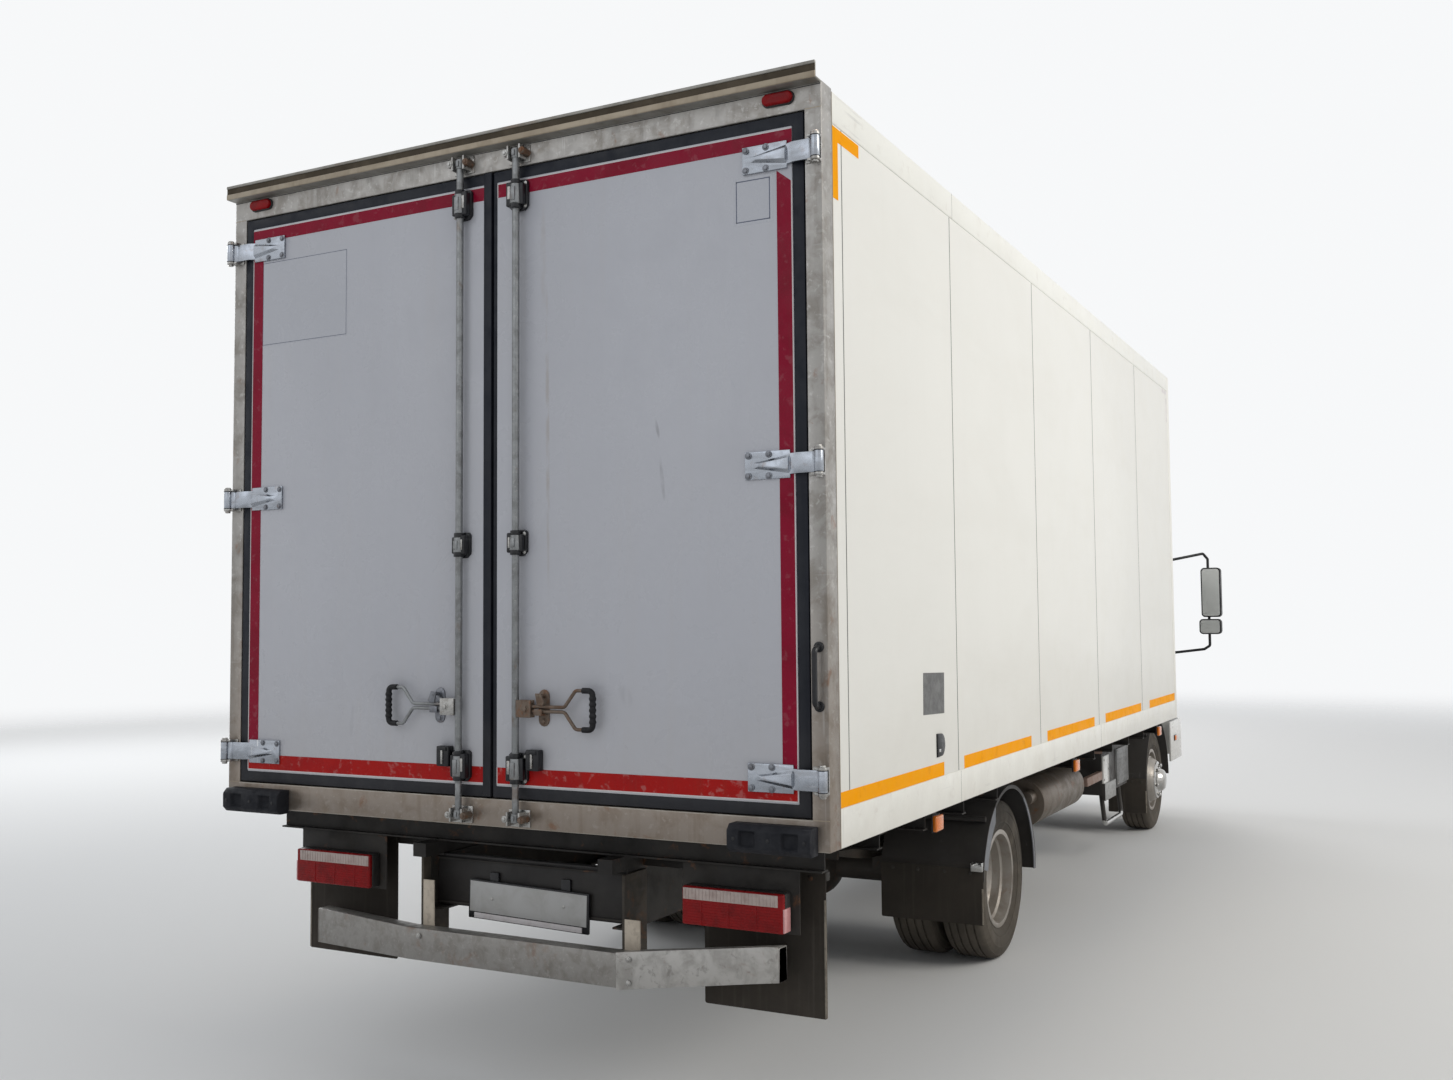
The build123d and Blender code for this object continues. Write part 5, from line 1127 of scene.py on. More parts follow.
@dataclass
class HingeStraps:
    """One leaf's three pressed hinge straps."""

    side: Side
    heights: tuple[float, ...] = (1.172, 2.165, 3.165)
    plate: float = 0.008
    bolts: tuple[Pair, ...] = ((1.032, 0.033), (1.105, 0.035))

    def build(self) -> None:
        """Build the straps with their ribs and bolts."""
        shape = Shape().node("door_straps_left", 0.0014)
        face = REAR - self.plate
        for height in self.heights:
            for across, up in self.bolts:
                for sign in (-1, 1):
                    shape.paint(1).bolt((face, across, height + sign * up), (-1, 0, 0), 0.0085, 0.006)
        tag = self.side.tag
        shape.on(self.side).place("hinge_straps_" + tag, "box_door_" + tag,
                                  [FINISHES["strap_steel"], EXTRAS["Latch steel"]],
                                  replaces=["door_straps_" + tag])


@dataclass
class LockRod:
    """One leaf's lock rod with its guides, retainer, handle and catch."""

    side: Side
    offset: float = 0.125
    standoff: float = 0.028
    low: float = 0.976
    high: float = 3.355
    radius: float = 0.013
    guides: tuple[tuple[float, float, float], ...] = (
        # height, width, total height
        (1.160, 0.080, 0.110), (1.947, 0.072, 0.092), (3.190, 0.080, 0.110))
    handle: float = 1.370
    wire: float = 0.0062
    wire_gap: float = 0.008
    reach: float = 0.447
    spread: float = 0.066

    def build(self) -> None:
        """Build the whole rod for the left leaf and mirror it for the right one."""
        shape = Shape()
        self.bar(shape)
        for height, width, tall in self.guides:
            self.guide(shape, height, width, tall)
        self.retainer(shape)
        self.hub_and_wires(shape)
        self.grip(shape)
        self.catch(shape)
        tag = self.side.tag
        if self.side is Side.RIGHT:
            worn = [EXTRAS["Rusty hub"], EXTRAS["Rusty hub"]]
        else:
            worn = [FINISHES["fitting_steel"], EXTRAS["Latch steel"]]
        finishes = [FINISHES["rod_steel"], EXTRAS["Guide housing"], FINISHES["fitting_steel"], *worn,
                    EXTRAS["Grip rubber"]]
        shape.on(self.side).place("lock_rod_" + tag, "box_door_" + tag, finishes,
                                  replaces=["door_lock_" + tag])

    @property
    def rod_x(self) -> float:
        """The rod's place behind the leaf."""
        return REAR - self.standoff

    def bar(self, shape: Shape) -> None:
        """Add the rod, thinner below its lowest guide, with cam noses at both ends."""
        x, y = self.rod_x, self.offset
        shape.paint(0).rod((x, y, 1.10), (x, y, self.high - 0.03), self.radius, 28, bevel=0.001)
        shape.rod((x, y, self.low + 0.02), (x, y, 1.105), self.radius - 0.0012, 28, bevel=0.001)
        for z0, z1 in ((self.low, self.low + 0.03), (self.high - 0.034, self.high)):
            shape.rod((x, y, z0), (x, y, z1), self.radius + 0.0025, 28, bevel=0.002)
            shape.block((x - 0.02, y - 0.006, z0 + 0.006), (x + 0.012, y + 0.006, z1 - 0.006), 0.002)

    def guide(self, shape: Shape, height: float, width: float, tall: float) -> None:
        """Add one guide: a black housing, a tapered steel sleeve and dark collars.

        Args:
            shape: The piece that takes it.
            height: Its middle's height.
            width: The housing's width.
            tall: The housing's height.
        """
        x, y = self.rod_x, self.offset
        half, wide, cut = tall / 2, width / 2, 0.016
        outline = [(y - wide, height - half + cut), (y - wide + cut, height - half),
                   (y + wide - cut, height - half), (y + wide, height - half + cut),
                   (y + wide, height + half - 0.008), (y + wide - 0.008, height + half),
                   (y - wide + 0.008, height + half), (y - wide, height + half - 0.008)]
        shape.paint(1).prism(outline, Axis.X, REAR - 0.014, REAR + 0.001, 0.003)
        shape.block((REAR - 0.040, y - wide + 0.004, height - half + 0.012),
                    (REAR - 0.010, y - 0.012, height + half - 0.010), 0.005, 3)
        shape.block((REAR - 0.034, y + 0.012, height - half + 0.016),
                    (REAR - 0.010, y + wide - 0.006, height + half - 0.016), 0.004, 3)
        shape.paint(2).block((REAR - 0.0425, y - wide + 0.012, height - 0.018),
                             (REAR - 0.034, y - 0.016, height + half - 0.026), 0.0015)
        shape.paint(0).rod((x, y, height - half + 0.020), (x, y, height + half - 0.018), 0.0215, 28, 0.0185,
                           0.002)
        shape.block((x - 0.0235, y - 0.008, height - half + 0.030), (x, y + 0.010, height + half - 0.030),
                    0.003)
        for z0, z1, radius in ((height - half + 0.004, height - half + 0.022, 0.0195),
                               (height + half - 0.020, height + half - 0.002, 0.0185)):
            shape.paint(1).rod((x, y, z0), (x, y, z1), radius, 28, bevel=0.002)
        for sign in (-1, 1):
            shape.paint(2).bolt((REAR - 0.014, y + wide - 0.009, height + sign * (half - 0.014)),
                                (-1, 0, 0), 0.0055, 0.004)

    def retainer(self, shape: Shape) -> None:
        """Add the black stay block beside the lower guide."""
        shape.paint(1).block((REAR - 0.032, 0.168, 1.156), (REAR + 0.001, 0.224, 1.228), 0.005, 3)
        shape.block((REAR - 0.037, 0.176, 1.212), (REAR - 0.028, 0.216, 1.226), 0.002)
        shape.paint(2).rod((REAR - 0.034, 0.196, 1.165), (REAR - 0.034, 0.196, 1.214), 0.0045, 12,
                           bevel=0.001)

    def hub_and_wires(self, shape: Shape) -> None:
        """Add the hub plates on the rod and the handle's bent wire."""
        x, z = self.rod_x - 0.002, self.handle
        shape.paint(3).block((x - 0.013, 0.136, z - 0.030), (x - 0.007, 0.199, z + 0.030), 0.0015)
        shape.block((x + 0.007, 0.136, z - 0.030), (x + 0.013, 0.199, z + 0.030), 0.0015)
        shape.block((x - 0.008, 0.136, z - 0.029), (x + 0.008, 0.150, z + 0.029), 0.001)
        shape.bolt((x - 0.013, 0.176, z), (-1, 0, 0), 0.010, 0.007)
        spread, gap, reach = self.spread, self.wire_gap, self.reach
        loop = [(x, 0.170, z + gap), (x, 0.332, z + gap), (x, 0.378, z + spread), (x, reach, z + spread),
                (x, reach, z - spread), (x, 0.378, z - spread), (x, 0.332, z - gap), (x, 0.170, z - gap)]
        shape.paint(4 if self.side is Side.RIGHT else 0).tube(loop, self.wire, 0.020, 4)

    def grip(self, shape: Shape) -> None:
        """Add the ribbed rubber grip round the wire's upright end."""
        x, z, reach, spread = self.rod_x - 0.002, self.handle, self.reach, self.spread
        shape.paint(5).tube([(x, reach - 0.040, z + spread), (x, reach, z + spread), (x, reach, z - spread),
                             (x, reach - 0.040, z - spread)], 0.0102, 0.020, 5)
        wave = [(-0.0085, 0.0095), (-0.0045, 0.0118), (0.0, 0.0128), (0.0045, 0.0118), (0.0085, 0.0095),
                (0.0085, 0.004), (-0.0085, 0.004)]
        for count in range(5):
            shape.lathe(wave, (x, reach, z + (count - 2) * 0.0195), Axis.Z, 24)

    def catch(self, shape: Shape) -> None:
        """Add the oval catch plate, the ledge that bears the wires and the swinging latch."""
        y, z = 0.229, self.handle + 0.002
        turns = (0.01, 30, 60, 90, 120, 150, 179.9, 180.1, 210, 240, 270, 300, 330, 359.9)
        oval = [(y + 0.022 * math.cos(t), z + math.copysign(0.042, math.sin(t)) + 0.022 * math.sin(t))
                for t in map(math.radians, turns)]
        shape.paint(4).prism(oval, Axis.X, REAR - 0.005, REAR + 0.001, 0.0012)
        shape.block((REAR - 0.040, y - 0.017, z - 0.024), (REAR - 0.004, y + 0.017, z - 0.018), 0.0015)
        shape.block((REAR - 0.043, y - 0.017, z - 0.024), (REAR - 0.038, y + 0.017, z - 0.002), 0.0015)
        edge = ((-0.012, 0.052), (0.012, 0.052), (0.026, 0.020), (0.020, 0.010), (-0.004, 0.012))
        arm = [(REAR - x, y + dy, z + dz) for x in (0.036, 0.042) for dy, dz in edge]
        shape.hull(arm, 0.0012)
        shape.rod((REAR - 0.044, y, z + 0.042), (REAR - 0.003, y, z + 0.042), 0.006, 16, bevel=0.001)
        for dz in (-0.046, 0.042):
            shape.bolt((REAR - 0.005, y, z + dz), (-1, 0, 0), 0.0085, 0.006)


@dataclass
class RearFrame:
    """The steel door frame with its gutter, sill, seams, hinge brackets, keepers and grab handle."""

    hinge_heights: tuple[float, ...] = (1.172, 2.165, 3.165)
    hinge_x: float = -4.1725
    hinge_y: float = 1.290
    ear: float = 0.035
    seam: float = 0.0012
    seam_heights: Pair = (1.048, 3.302)
    lip: float = 0.045
    # The heights of the dark band painted as the shadow under the gutter's top lip.
    shadow_band_up: Pair = (3.4015, 3.4255)
    crest: float = 3.4358
    flange_up: Pair = (3.3812, 3.4020)
    keepers: tuple[Point, ...] = (
        # height, half spacing, radius
        (0.988, 0.034, 0.0125), (3.340, 0.036, 0.013))
    grab_y: float = -1.270
    grab_heights: Pair = (1.400, 1.585)

    def build(self) -> None:
        """Build the frame and its fittings."""
        self.frame()
        self.fittings()

    def frame(self) -> None:
        """Dress the frame's own node, with a tan gutter and sill, dark seams and a dark band painted as the
        shadow under the gutter's top lip.
        """
        shape = Shape().node("rear_frame", 0.0035)
        shape.repaint(1, lambda c: c.z > TOP_Z + 0.0005 or c.x < REAR - 0.0005)
        shape.repaint(2, lambda c: c.z < 1.0485 and c.x < REAR + 0.02)
        face = REAR - 0.0004
        shape.paint(3).block((face, -1.298, TOP_Z - 0.005), (REAR + 0.001, 1.298, TOP_Z - 0.0005))
        lip, half = REAR - self.lip, 1.2995
        low, high = self.shadow_band_up
        # A dark sheet just below the top lip: painted shadow under the lip.
        shape.paint(4).block((lip - 0.0006, -1.299, low), (lip + 0.001, 1.299, high))
        shape.paint(1).block((lip - 0.004, -half, high - 0.0005), (lip + 0.003, half, self.crest), 0.0015)
        low, high = self.flange_up
        shape.paint(5).block((lip - 0.0035, -half, low), (lip + 0.002, half, high), 0.0015)
        for sign in (-1, 1):
            for z in self.seam_heights:
                shape.block((face, sign * 1.242, z - self.seam),
                            (REAR + 0.001, sign * 1.2985, z + self.seam))
            shape.block((REAR + 0.0835, sign * 1.3003, 0.953), (REAR + 0.0850, sign * 1.2980, 3.377))
        shape.place("rear_frame_dressed", "chassis",
                    [FINISHES["frame_steel"], EXTRAS["Gutter sheet"], EXTRAS["Sill steel"],
                     FINISHES["seal_rubber"], EXTRAS["Gutter lip shadow"], EXTRAS["Gutter flange"]],
                    replaces=["rear_frame"])

    def fittings(self) -> None:
        """Dress the hinge brackets, keepers and grab handle and add their bolts and pin heads."""
        shape = Shape().node("frame_fittings", 0.0012)
        shape.repaint(1, lambda c: c.y < -1.25 and 1.385 < c.z < 1.60)
        for sign in (-1, 1):
            for height in self.hinge_heights:
                y = sign * self.hinge_y
                top, foot = height + self.ear + 0.008, height - self.ear - 0.008
                shape.paint(0).bolt((self.hinge_x, y, top), (0, 0, 1), 0.011, 0.007)
                shape.bolt((self.hinge_x, y, foot), (0, 0, -1), 0.011, 0.009)
                for end in (-1, 1):
                    shape.paint(2).rod((self.hinge_x, y, height + end * 0.0335),
                                       (self.hinge_x, y, height + end * 0.0347), 0.0162, 24)
                    shape.paint(0).bolt((REAR - 0.005, sign * 1.262, height + end * 0.022), (-1, 0, 0),
                                        0.007, 0.005)
            for low, spread, size in self.keepers:
                for out in (-1, 1):
                    y = sign * (0.125 + out * spread)
                    shape.paint(3 if out * sign < 0 else 0)
                    shape.rod((REAR - 0.048, y, low), (REAR - 0.004, y, low), size, 20, bevel=0.002)
                    shape.bolt((REAR - 0.048, y, low), (-1, 0, 0), size * 0.62, 0.006)
        y = self.grab_y
        for z in self.grab_heights:
            shape.paint(1).rod((REAR - 0.008, y, z), (REAR + 0.001, y, z), 0.017, 24, bevel=0.003)
        shape.place("frame_fittings_dressed", "chassis",
                    [FINISHES["fitting_steel"], EXTRAS["Guide housing"], FINISHES["seal_rubber"],
                     EXTRAS["Rusty hub"]], replaces=["frame_fittings"])


# Tail


@dataclass
class TailLamps:
    """The lamp clusters under the body and the oval lamps on the header."""

    place: float = 0.140
    depth: float = 0.062
    inner: float = 0.690
    outer: float = 1.070
    low: float = 0.650
    high: float = 0.780
    split: float = 0.736
    ribs: int = 26
    flutes: int = 9
    header: Pair = (1.150, 3.350)
    oval_half: float = 0.055
    oval_tall: float = 0.020

    def build(self) -> None:
        """Build both clusters and both header lamps as one piece each side."""
        for side in Side:
            shape = Shape()
            self.cluster(shape)
            self.header_lamp(shape)
            finishes = [FINISHES["black_plastic"], EXTRAS["Lamp red"], EXTRAS["Ribbed lens"],
                        EXTRAS["Pink marker"], EXTRAS["Guide housing"]]
            shape.on(side).place("tail_lamps_" + side.tag, "chassis", finishes, "red_lens", ["rear_lamps"])

    def cluster(self, shape: Shape) -> None:
        """Add one cluster: a black case, a red lens, a ribbed clear strip and an end marker."""
        face = aft(self.place)
        shape.paint(0).block((face + 0.016, self.inner, self.low),
                             (face + self.depth, self.outer, self.high), 0.008, 3)
        shape.paint(1).block((face, self.inner + 0.001, self.low + 0.001),
                             (face + 0.020, self.outer - 0.001, self.high - 0.001), 0.007, 3)
        shape.paint(2).block((face - 0.0018, self.inner + 0.006, self.split),
                             (face + 0.004, self.outer - 0.020, self.high - 0.006), 0.0015)
        pitch = (self.outer - self.inner - 0.034) / self.ribs
        for count in range(self.ribs):
            y = self.inner + 0.014 + pitch * count
            width = 0.0022 + 0.0022 * (count % 5 == 0)
            shape.block((face - 0.0034, y - width / 2, self.split + 0.002),
                        (face, y + width / 2, self.high - 0.008), 0.0008)
        shape.paint(1)
        for share in (0.2, 0.47, 0.74):
            y = self.inner + share * (self.outer - self.inner)
            shape.block((face - 0.0020, y - 0.002, self.low + 0.006),
                        (face + 0.002, y + 0.002, self.split - 0.004), 0.0008)
        for count in range(self.flutes):
            z = self.low + 0.009 + 0.009 * count
            shape.block((face - 0.0011, self.inner + 0.006, z - 0.0016),
                        (face + 0.002, self.outer - 0.008, z + 0.0016), 0.0006)
        shape.paint(3).block((face + 0.002, self.outer - 0.004, self.low + 0.004),
                             (face + 0.050, self.outer + 0.003, self.split - 0.004), 0.0025)

    def header_lamp(self, shape: Shape) -> None:
        """Add one oval lamp with its dark bezel."""
        (y, z), half, tall = self.header, self.oval_half, self.oval_tall

        def oval(grow: float) -> list[Pair]:
            """Return the lamp's outline grown by a margin."""
            radius = tall + grow
            points = []
            for turn in range(24):
                angle = math.tau * turn / 24 + 0.001
                shift = (half - tall) * (1 if math.cos(angle) > 0 else -1)
                points.append((y + shift + radius * math.cos(angle), z + radius * math.sin(angle)))
            return points

        shape.paint(4).prism(oval(0.003), Axis.X, REAR - 0.007, REAR + 0.001, 0.002)
        shape.paint(1).prism(oval(-0.001), Axis.X, REAR - 0.020, REAR - 0.002, 0.006, 4)


@dataclass
class NumberPlate:
    """The bare number plate in its black holder, hung under the first cross-member."""

    reach: float = 0.215
    low: float = 0.588
    high: float = 0.700
    left: float = 0.262
    right: float = -0.258
    skew: float = 1.5
    sheet: float = 0.002
    hangers: Pair = (-0.16, 0.16)
    hanger_top: float = 0.74
    bolt_z: float = 0.645

    def build(self) -> None:
        """Build the holder, its lip, the plate and the hanger strips."""
        x = aft(self.reach)
        turn = Matrix.Rotation(math.radians(self.skew), 3, "X")
        shape = Shape().paint(0)
        shape.block((x, self.right - 0.008, self.low - 0.026),
                    (x + 0.012, self.left + 0.008, self.high + 0.006), 0.003, turn=turn)
        shape.paint(1).block((x - self.sheet, self.right, self.low), (x + 0.001, self.left, self.high),
                             0.0008, turn=turn)
        shape.paint(2).block((x - 0.004, self.right + 0.02, self.low - 0.022),
                             (x + 0.001, self.left - 0.02, self.low - 0.003), 0.001, turn=turn)
        for y in self.hangers:
            low = (x + 0.010, y - 0.02, self.low + 0.02)
            shape.paint(0).block(low, (x + 0.022, y + 0.02, self.hanger_top), 0.002)
            shape.paint(3).bolt((x - self.sheet, y, self.bolt_z), (-1, 0, 0), 0.005, 0.003)
        shape.place("number_plate", "chassis",
                    [EXTRAS["Guide housing"], EXTRAS["Plate white"], EXTRAS["Tape edge"],
                     FINISHES["fitting_steel"]])


# Body sides


@dataclass
class BodySides:
    """The panel joints, contour tapes and patches on both long sides."""

    joints: tuple[float, ...] = (0.165, 1.27, 2.50, 3.73, 4.95)
    rail_joints: tuple[float, ...] = (1.29, 3.76)
    tapes: tuple[Pair, ...] = (
        (0.089, 1.095), (1.34, 2.334), (2.62, 3.616), (3.89, 4.907), (5.187, 6.110))
    tape_low: float = 1.076
    tape_high: float = 1.126
    corner_tapes: tuple[tuple[Pair, Pair], ...] = (
        # along, up
        ((0.089, 0.135), (3.032, 3.270)), ((0.135, 0.315), (3.225, 3.270)))
    front_marks: tuple[tuple[Pair, Pair], ...] = (
        # along, up
        ((6.070, 6.105), (3.05, 3.22)), ((5.93, 6.105), (3.245, 3.270)))
    panel_up: Pair = (1.0765, 3.2735)
    low_rail_up: Pair = (0.952, 1.073)
    top_rail_up: Pair = (3.277, 3.378)
    panel_y: float = 1.297
    rail_y: float = 1.300
    sheet: float = 0.0006
    patch_along: Pair = (0.873, 1.107)
    patch_up: Pair = (1.313, 1.467)
    patch_skew: float = 1.8
    vent: Pair = (1.050, 1.194)
    vent_radius: float = 0.044
    vent_steps: int = 9

    def strip(self, shape: Shape, along: Pair, up: Pair, face: float, proud: float = 1.0) -> None:
        """Lay a thin sheet on the left side.

        Args:
            shape: The piece that takes it.
            along: Its two distances from the rear face.
            up: Its two heights.
            face: The surface it lies on.
            proud: How many sheets it stands proud.
        """
        shape.block((aft(along[0]), face - 0.001, up[0]), (aft(along[1]), face + self.sheet * proud, up[1]))

    def build(self) -> None:
        """Dress both sides."""
        for side in Side:
            lines, tapes = Shape().paint(0), Shape().paint(0)
            for place in self.joints:
                self.strip(lines, (place - 0.0028, place + 0.0028), self.panel_up, self.panel_y, 0.6)
            for place in self.rail_joints:
                self.strip(lines, (place - 0.001, place + 0.001), self.low_rail_up, self.rail_y, 0.3)
            self.strip(lines, (1.299, 1.301), self.top_rail_up, self.rail_y, 0.3)
            for start, end in self.tapes:
                self.strip(tapes, (start, end), (self.tape_low, self.tape_high), self.panel_y)
            for along, up in self.corner_tapes:
                self.strip(tapes, along, up, self.panel_y)
            tapes.paint(1)
            for along, up in self.front_marks:
                self.strip(tapes, along, up, self.panel_y, 0.7)
            lines.on(side).place("side_joints_" + side.tag, "chassis", [EXTRAS["Joint line"]])
            tapes.on(side).place("side_tapes_" + side.tag, "chassis",
                                 [EXTRAS["Orange tape"], EXTRAS["Tape edge"]])
        self.right_patches()

    def right_patches(self) -> None:
        """Lay the skewed grey patch and set the small half-round drain vent on the right side."""
        face = -self.panel_y
        turn = Matrix.Rotation(math.radians(self.patch_skew), 3, "Y")
        (rear, front), (low, high) = self.patch_along, self.patch_up
        shape = Shape().paint(0)
        shape.block((aft(rear), face + 0.001, low), (aft(front), face - 0.001, high), turn=turn)
        (middle, z), radius = self.vent, self.vent_radius
        outline = [(aft(middle - 0.040), z - radius), (aft(middle - 0.040), z + radius)]
        for count in range(1, self.vent_steps):
            angle = math.pi / 2 - math.pi * count / self.vent_steps
            outline.append((aft(middle) + radius * math.cos(angle), z + radius * math.sin(angle)))
        shape.paint(1).prism(outline, Axis.Y, face + 0.001, face - 0.007, 0.002)
        shape.paint(2).block((aft(1.022), face - 0.005, 1.168), (aft(1.040), face - 0.0085, 1.180), 0.001)
        shape.place("side_patches", "chassis",
                    [EXTRAS["Grey tape"], EXTRAS["Guide housing"], EXTRAS["Bright steel"]])


# Wheels


@dataclass
class Wheels:
    """All tyres and rims: the tread's grooves, the sidewalls' rings, wheel nuts and hub covers."""

    outer: float = 0.3835
    half: float = 0.1075
    seat: float = 0.2228
    bead: float = 0.0822
    rear_track: float = 0.9225
    twin: float = 0.255
    front_track: float = 0.830
    nut_circle: float = 0.0995
    nuts: int = 6
    cap_bolts: int = 8
    cap_circle: float = 0.048
    cover_circle: float = 0.113
    groove_depth: float = 0.009
    grooves: tuple[Pair, ...] = (
        # middle, width
        (0.060, 0.010), (0.021, 0.011))

    def build(self) -> None:
        """Build every wheel's tyre and rim pieces."""
        for side in Side:
            sign, tag = side.value, side.tag
            twin = Shape().paint(0)
            for track in (self.rear_track, self.rear_track - self.twin):
                self.tyre(twin, (REAR_AXLE_X, sign * track, AXLE_Z))
            twin.place("rear_tyres_dressed_" + tag, "rear_wheels_" + tag, [FINISHES["tyre_rubber"]],
                       replaces=["rear_tyres_" + tag], smooth=24)
            front = Shape().paint(0)
            self.tyre(front, (FRONT_AXLE_X, sign * self.front_track, AXLE_Z))
            front.place("front_tyre_dressed_" + tag, "front_wheel_" + tag, [FINISHES["tyre_rubber"]],
                        replaces=["front_tyre_" + tag], smooth=24)
            self.rear_rims(side)
            self.front_rim(side)

    def tyre(self, shape: Shape, centre: Point) -> None:
        """Add one tyre with its tread grooves and sidewall rings.

        Args:
            shape: The piece that takes it.
            centre: The tyre's centre.
        """
        half, outer, seat, depth = self.half, self.outer, self.seat, self.groove_depth
        right = [(self.bead, seat), (self.bead + 0.002, seat + 0.008), (self.bead + 0.004, seat + 0.018),
                 (half - 0.011, seat + 0.034), (half - 0.007, seat + 0.046), (half - 0.0045, seat + 0.047),
                 (half - 0.0035, seat + 0.052), (half - 0.0045, seat + 0.057), (half - 0.002, seat + 0.066),
                 (half, seat + 0.085), (half - 0.001, seat + 0.100), (half + 0.001, seat + 0.102),
                 (half + 0.0005, seat + 0.108), (half - 0.002, seat + 0.112), (half - 0.005, outer - 0.036),
                 (half - 0.008, outer - 0.030), (half - 0.0115, outer - 0.022),
                 (half - 0.010, outer - 0.019), (half - 0.016, outer - 0.011),
                 (half - 0.026, outer - 0.0045)]
        grooves = []
        for middle, width in self.grooves:
            grooves += [(middle + width / 2, outer - 0.0008), (middle + width / 2 - 0.002, outer - depth),
                        (middle - width / 2 + 0.002, outer - depth), (middle - width / 2, outer - 0.0003)]
        far = [(-a, r) for a, r in reversed(right + grooves)]
        sign = 1 if centre[1] > 0 else -1
        profile = [(sign * a, r) for a, r in right + grooves + far]
        shape.lathe(profile, centre, Axis.Y, 96)

    def nut_ring(self, shape: Shape, centre: Point, out: int) -> None:
        """Add the wheel nuts on their circle.

        Args:
            shape: The piece that takes them.
            centre: The point on the axle where their feet lie.
            out: The way they point along Y.
        """
        for count in range(self.nuts):
            angle = math.tau * count / self.nuts
            foot = (centre[0] + self.nut_circle * math.cos(angle), centre[1],
                    centre[2] + self.nut_circle * math.sin(angle))
            shape.bolt(foot, (0, out, 0), 0.0125, 0.018)
            tip = (foot[0], foot[1] + out * 0.026, foot[2])
            shape.rod((foot[0], foot[1] + out * 0.017, foot[2]), tip, 0.007, 12, bevel=0.001)

    def rear_rims(self, side: Side) -> None:
        """Dress the twin rims with their nuts and the hub's bolted cap."""
        sign, tag = side.value, side.tag
        shape = Shape().node("rear_rims_" + tag, 0.002)
        middle = self.rear_track - self.twin / 2
        shape.paint(1)
        self.nut_ring(shape, (REAR_AXLE_X, sign * (middle + 0.0125), AXLE_Z), sign)
        cap_y = middle + 0.110
        for count in range(self.cap_bolts):
            angle = math.tau * (count + 0.5) / self.cap_bolts
            x = REAR_AXLE_X + self.cap_circle * math.cos(angle)
            z = AXLE_Z + self.cap_circle * math.sin(angle)
            shape.bolt((x, sign * cap_y, z), (0, sign, 0), 0.0065, 0.005)
        shape.rod((REAR_AXLE_X, sign * (cap_y - 0.001), AXLE_Z),
                  (REAR_AXLE_X, sign * (cap_y + 0.012), AXLE_Z), 0.03, 32, 0.026, 0.003)
        shape.place("rear_rims_dressed_" + tag, "rear_wheels_" + tag,
                    [FINISHES["rim_silver"], FINISHES["axle_iron"]], replaces=["rear_rims_" + tag])

    def front_rim(self, side: Side) -> None:
        """Dress the front rim with a bright hub cover and its nut caps."""
        sign, tag = side.value, side.tag
        shape = Shape().node("front_rim_" + tag, 0.002)
        face = self.front_track + self.twin / 2
        profile = [(0.0005, 0.143), (0.006, 0.142), (0.013, 0.128), (0.015, 0.100), (0.018, 0.088),
                   (0.046, 0.080), (0.060, 0.066), (0.066, 0.044), (0.068, 0.020), (0.068, 0.0005),
                   (0.064, 0.0005), (0.062, 0.042), (0.056, 0.062), (0.042, 0.075), (0.012, 0.083),
                   (0.0005, 0.086)]
        shape.paint(1).lathe([(sign * a, r) for a, r in profile], (FRONT_AXLE_X, sign * face, AXLE_Z),
                             Axis.Y, 72)
        for count in range(self.nuts):
            angle = math.tau * (count + 0.25) / self.nuts
            x = FRONT_AXLE_X + self.cover_circle * math.cos(angle)
            z = AXLE_Z + self.cover_circle * math.sin(angle)
            y = sign * (face + 0.012)
            shape.rod((x, y, z), (x, y + sign * 0.022, z), 0.0150, 20, 0.0125, 0.003)
        shape.place("front_rim_dressed_" + tag, "front_wheel_" + tag,
                    [FINISHES["rim_silver"], EXTRAS["Wheel trim"]], replaces=["front_rim_" + tag])


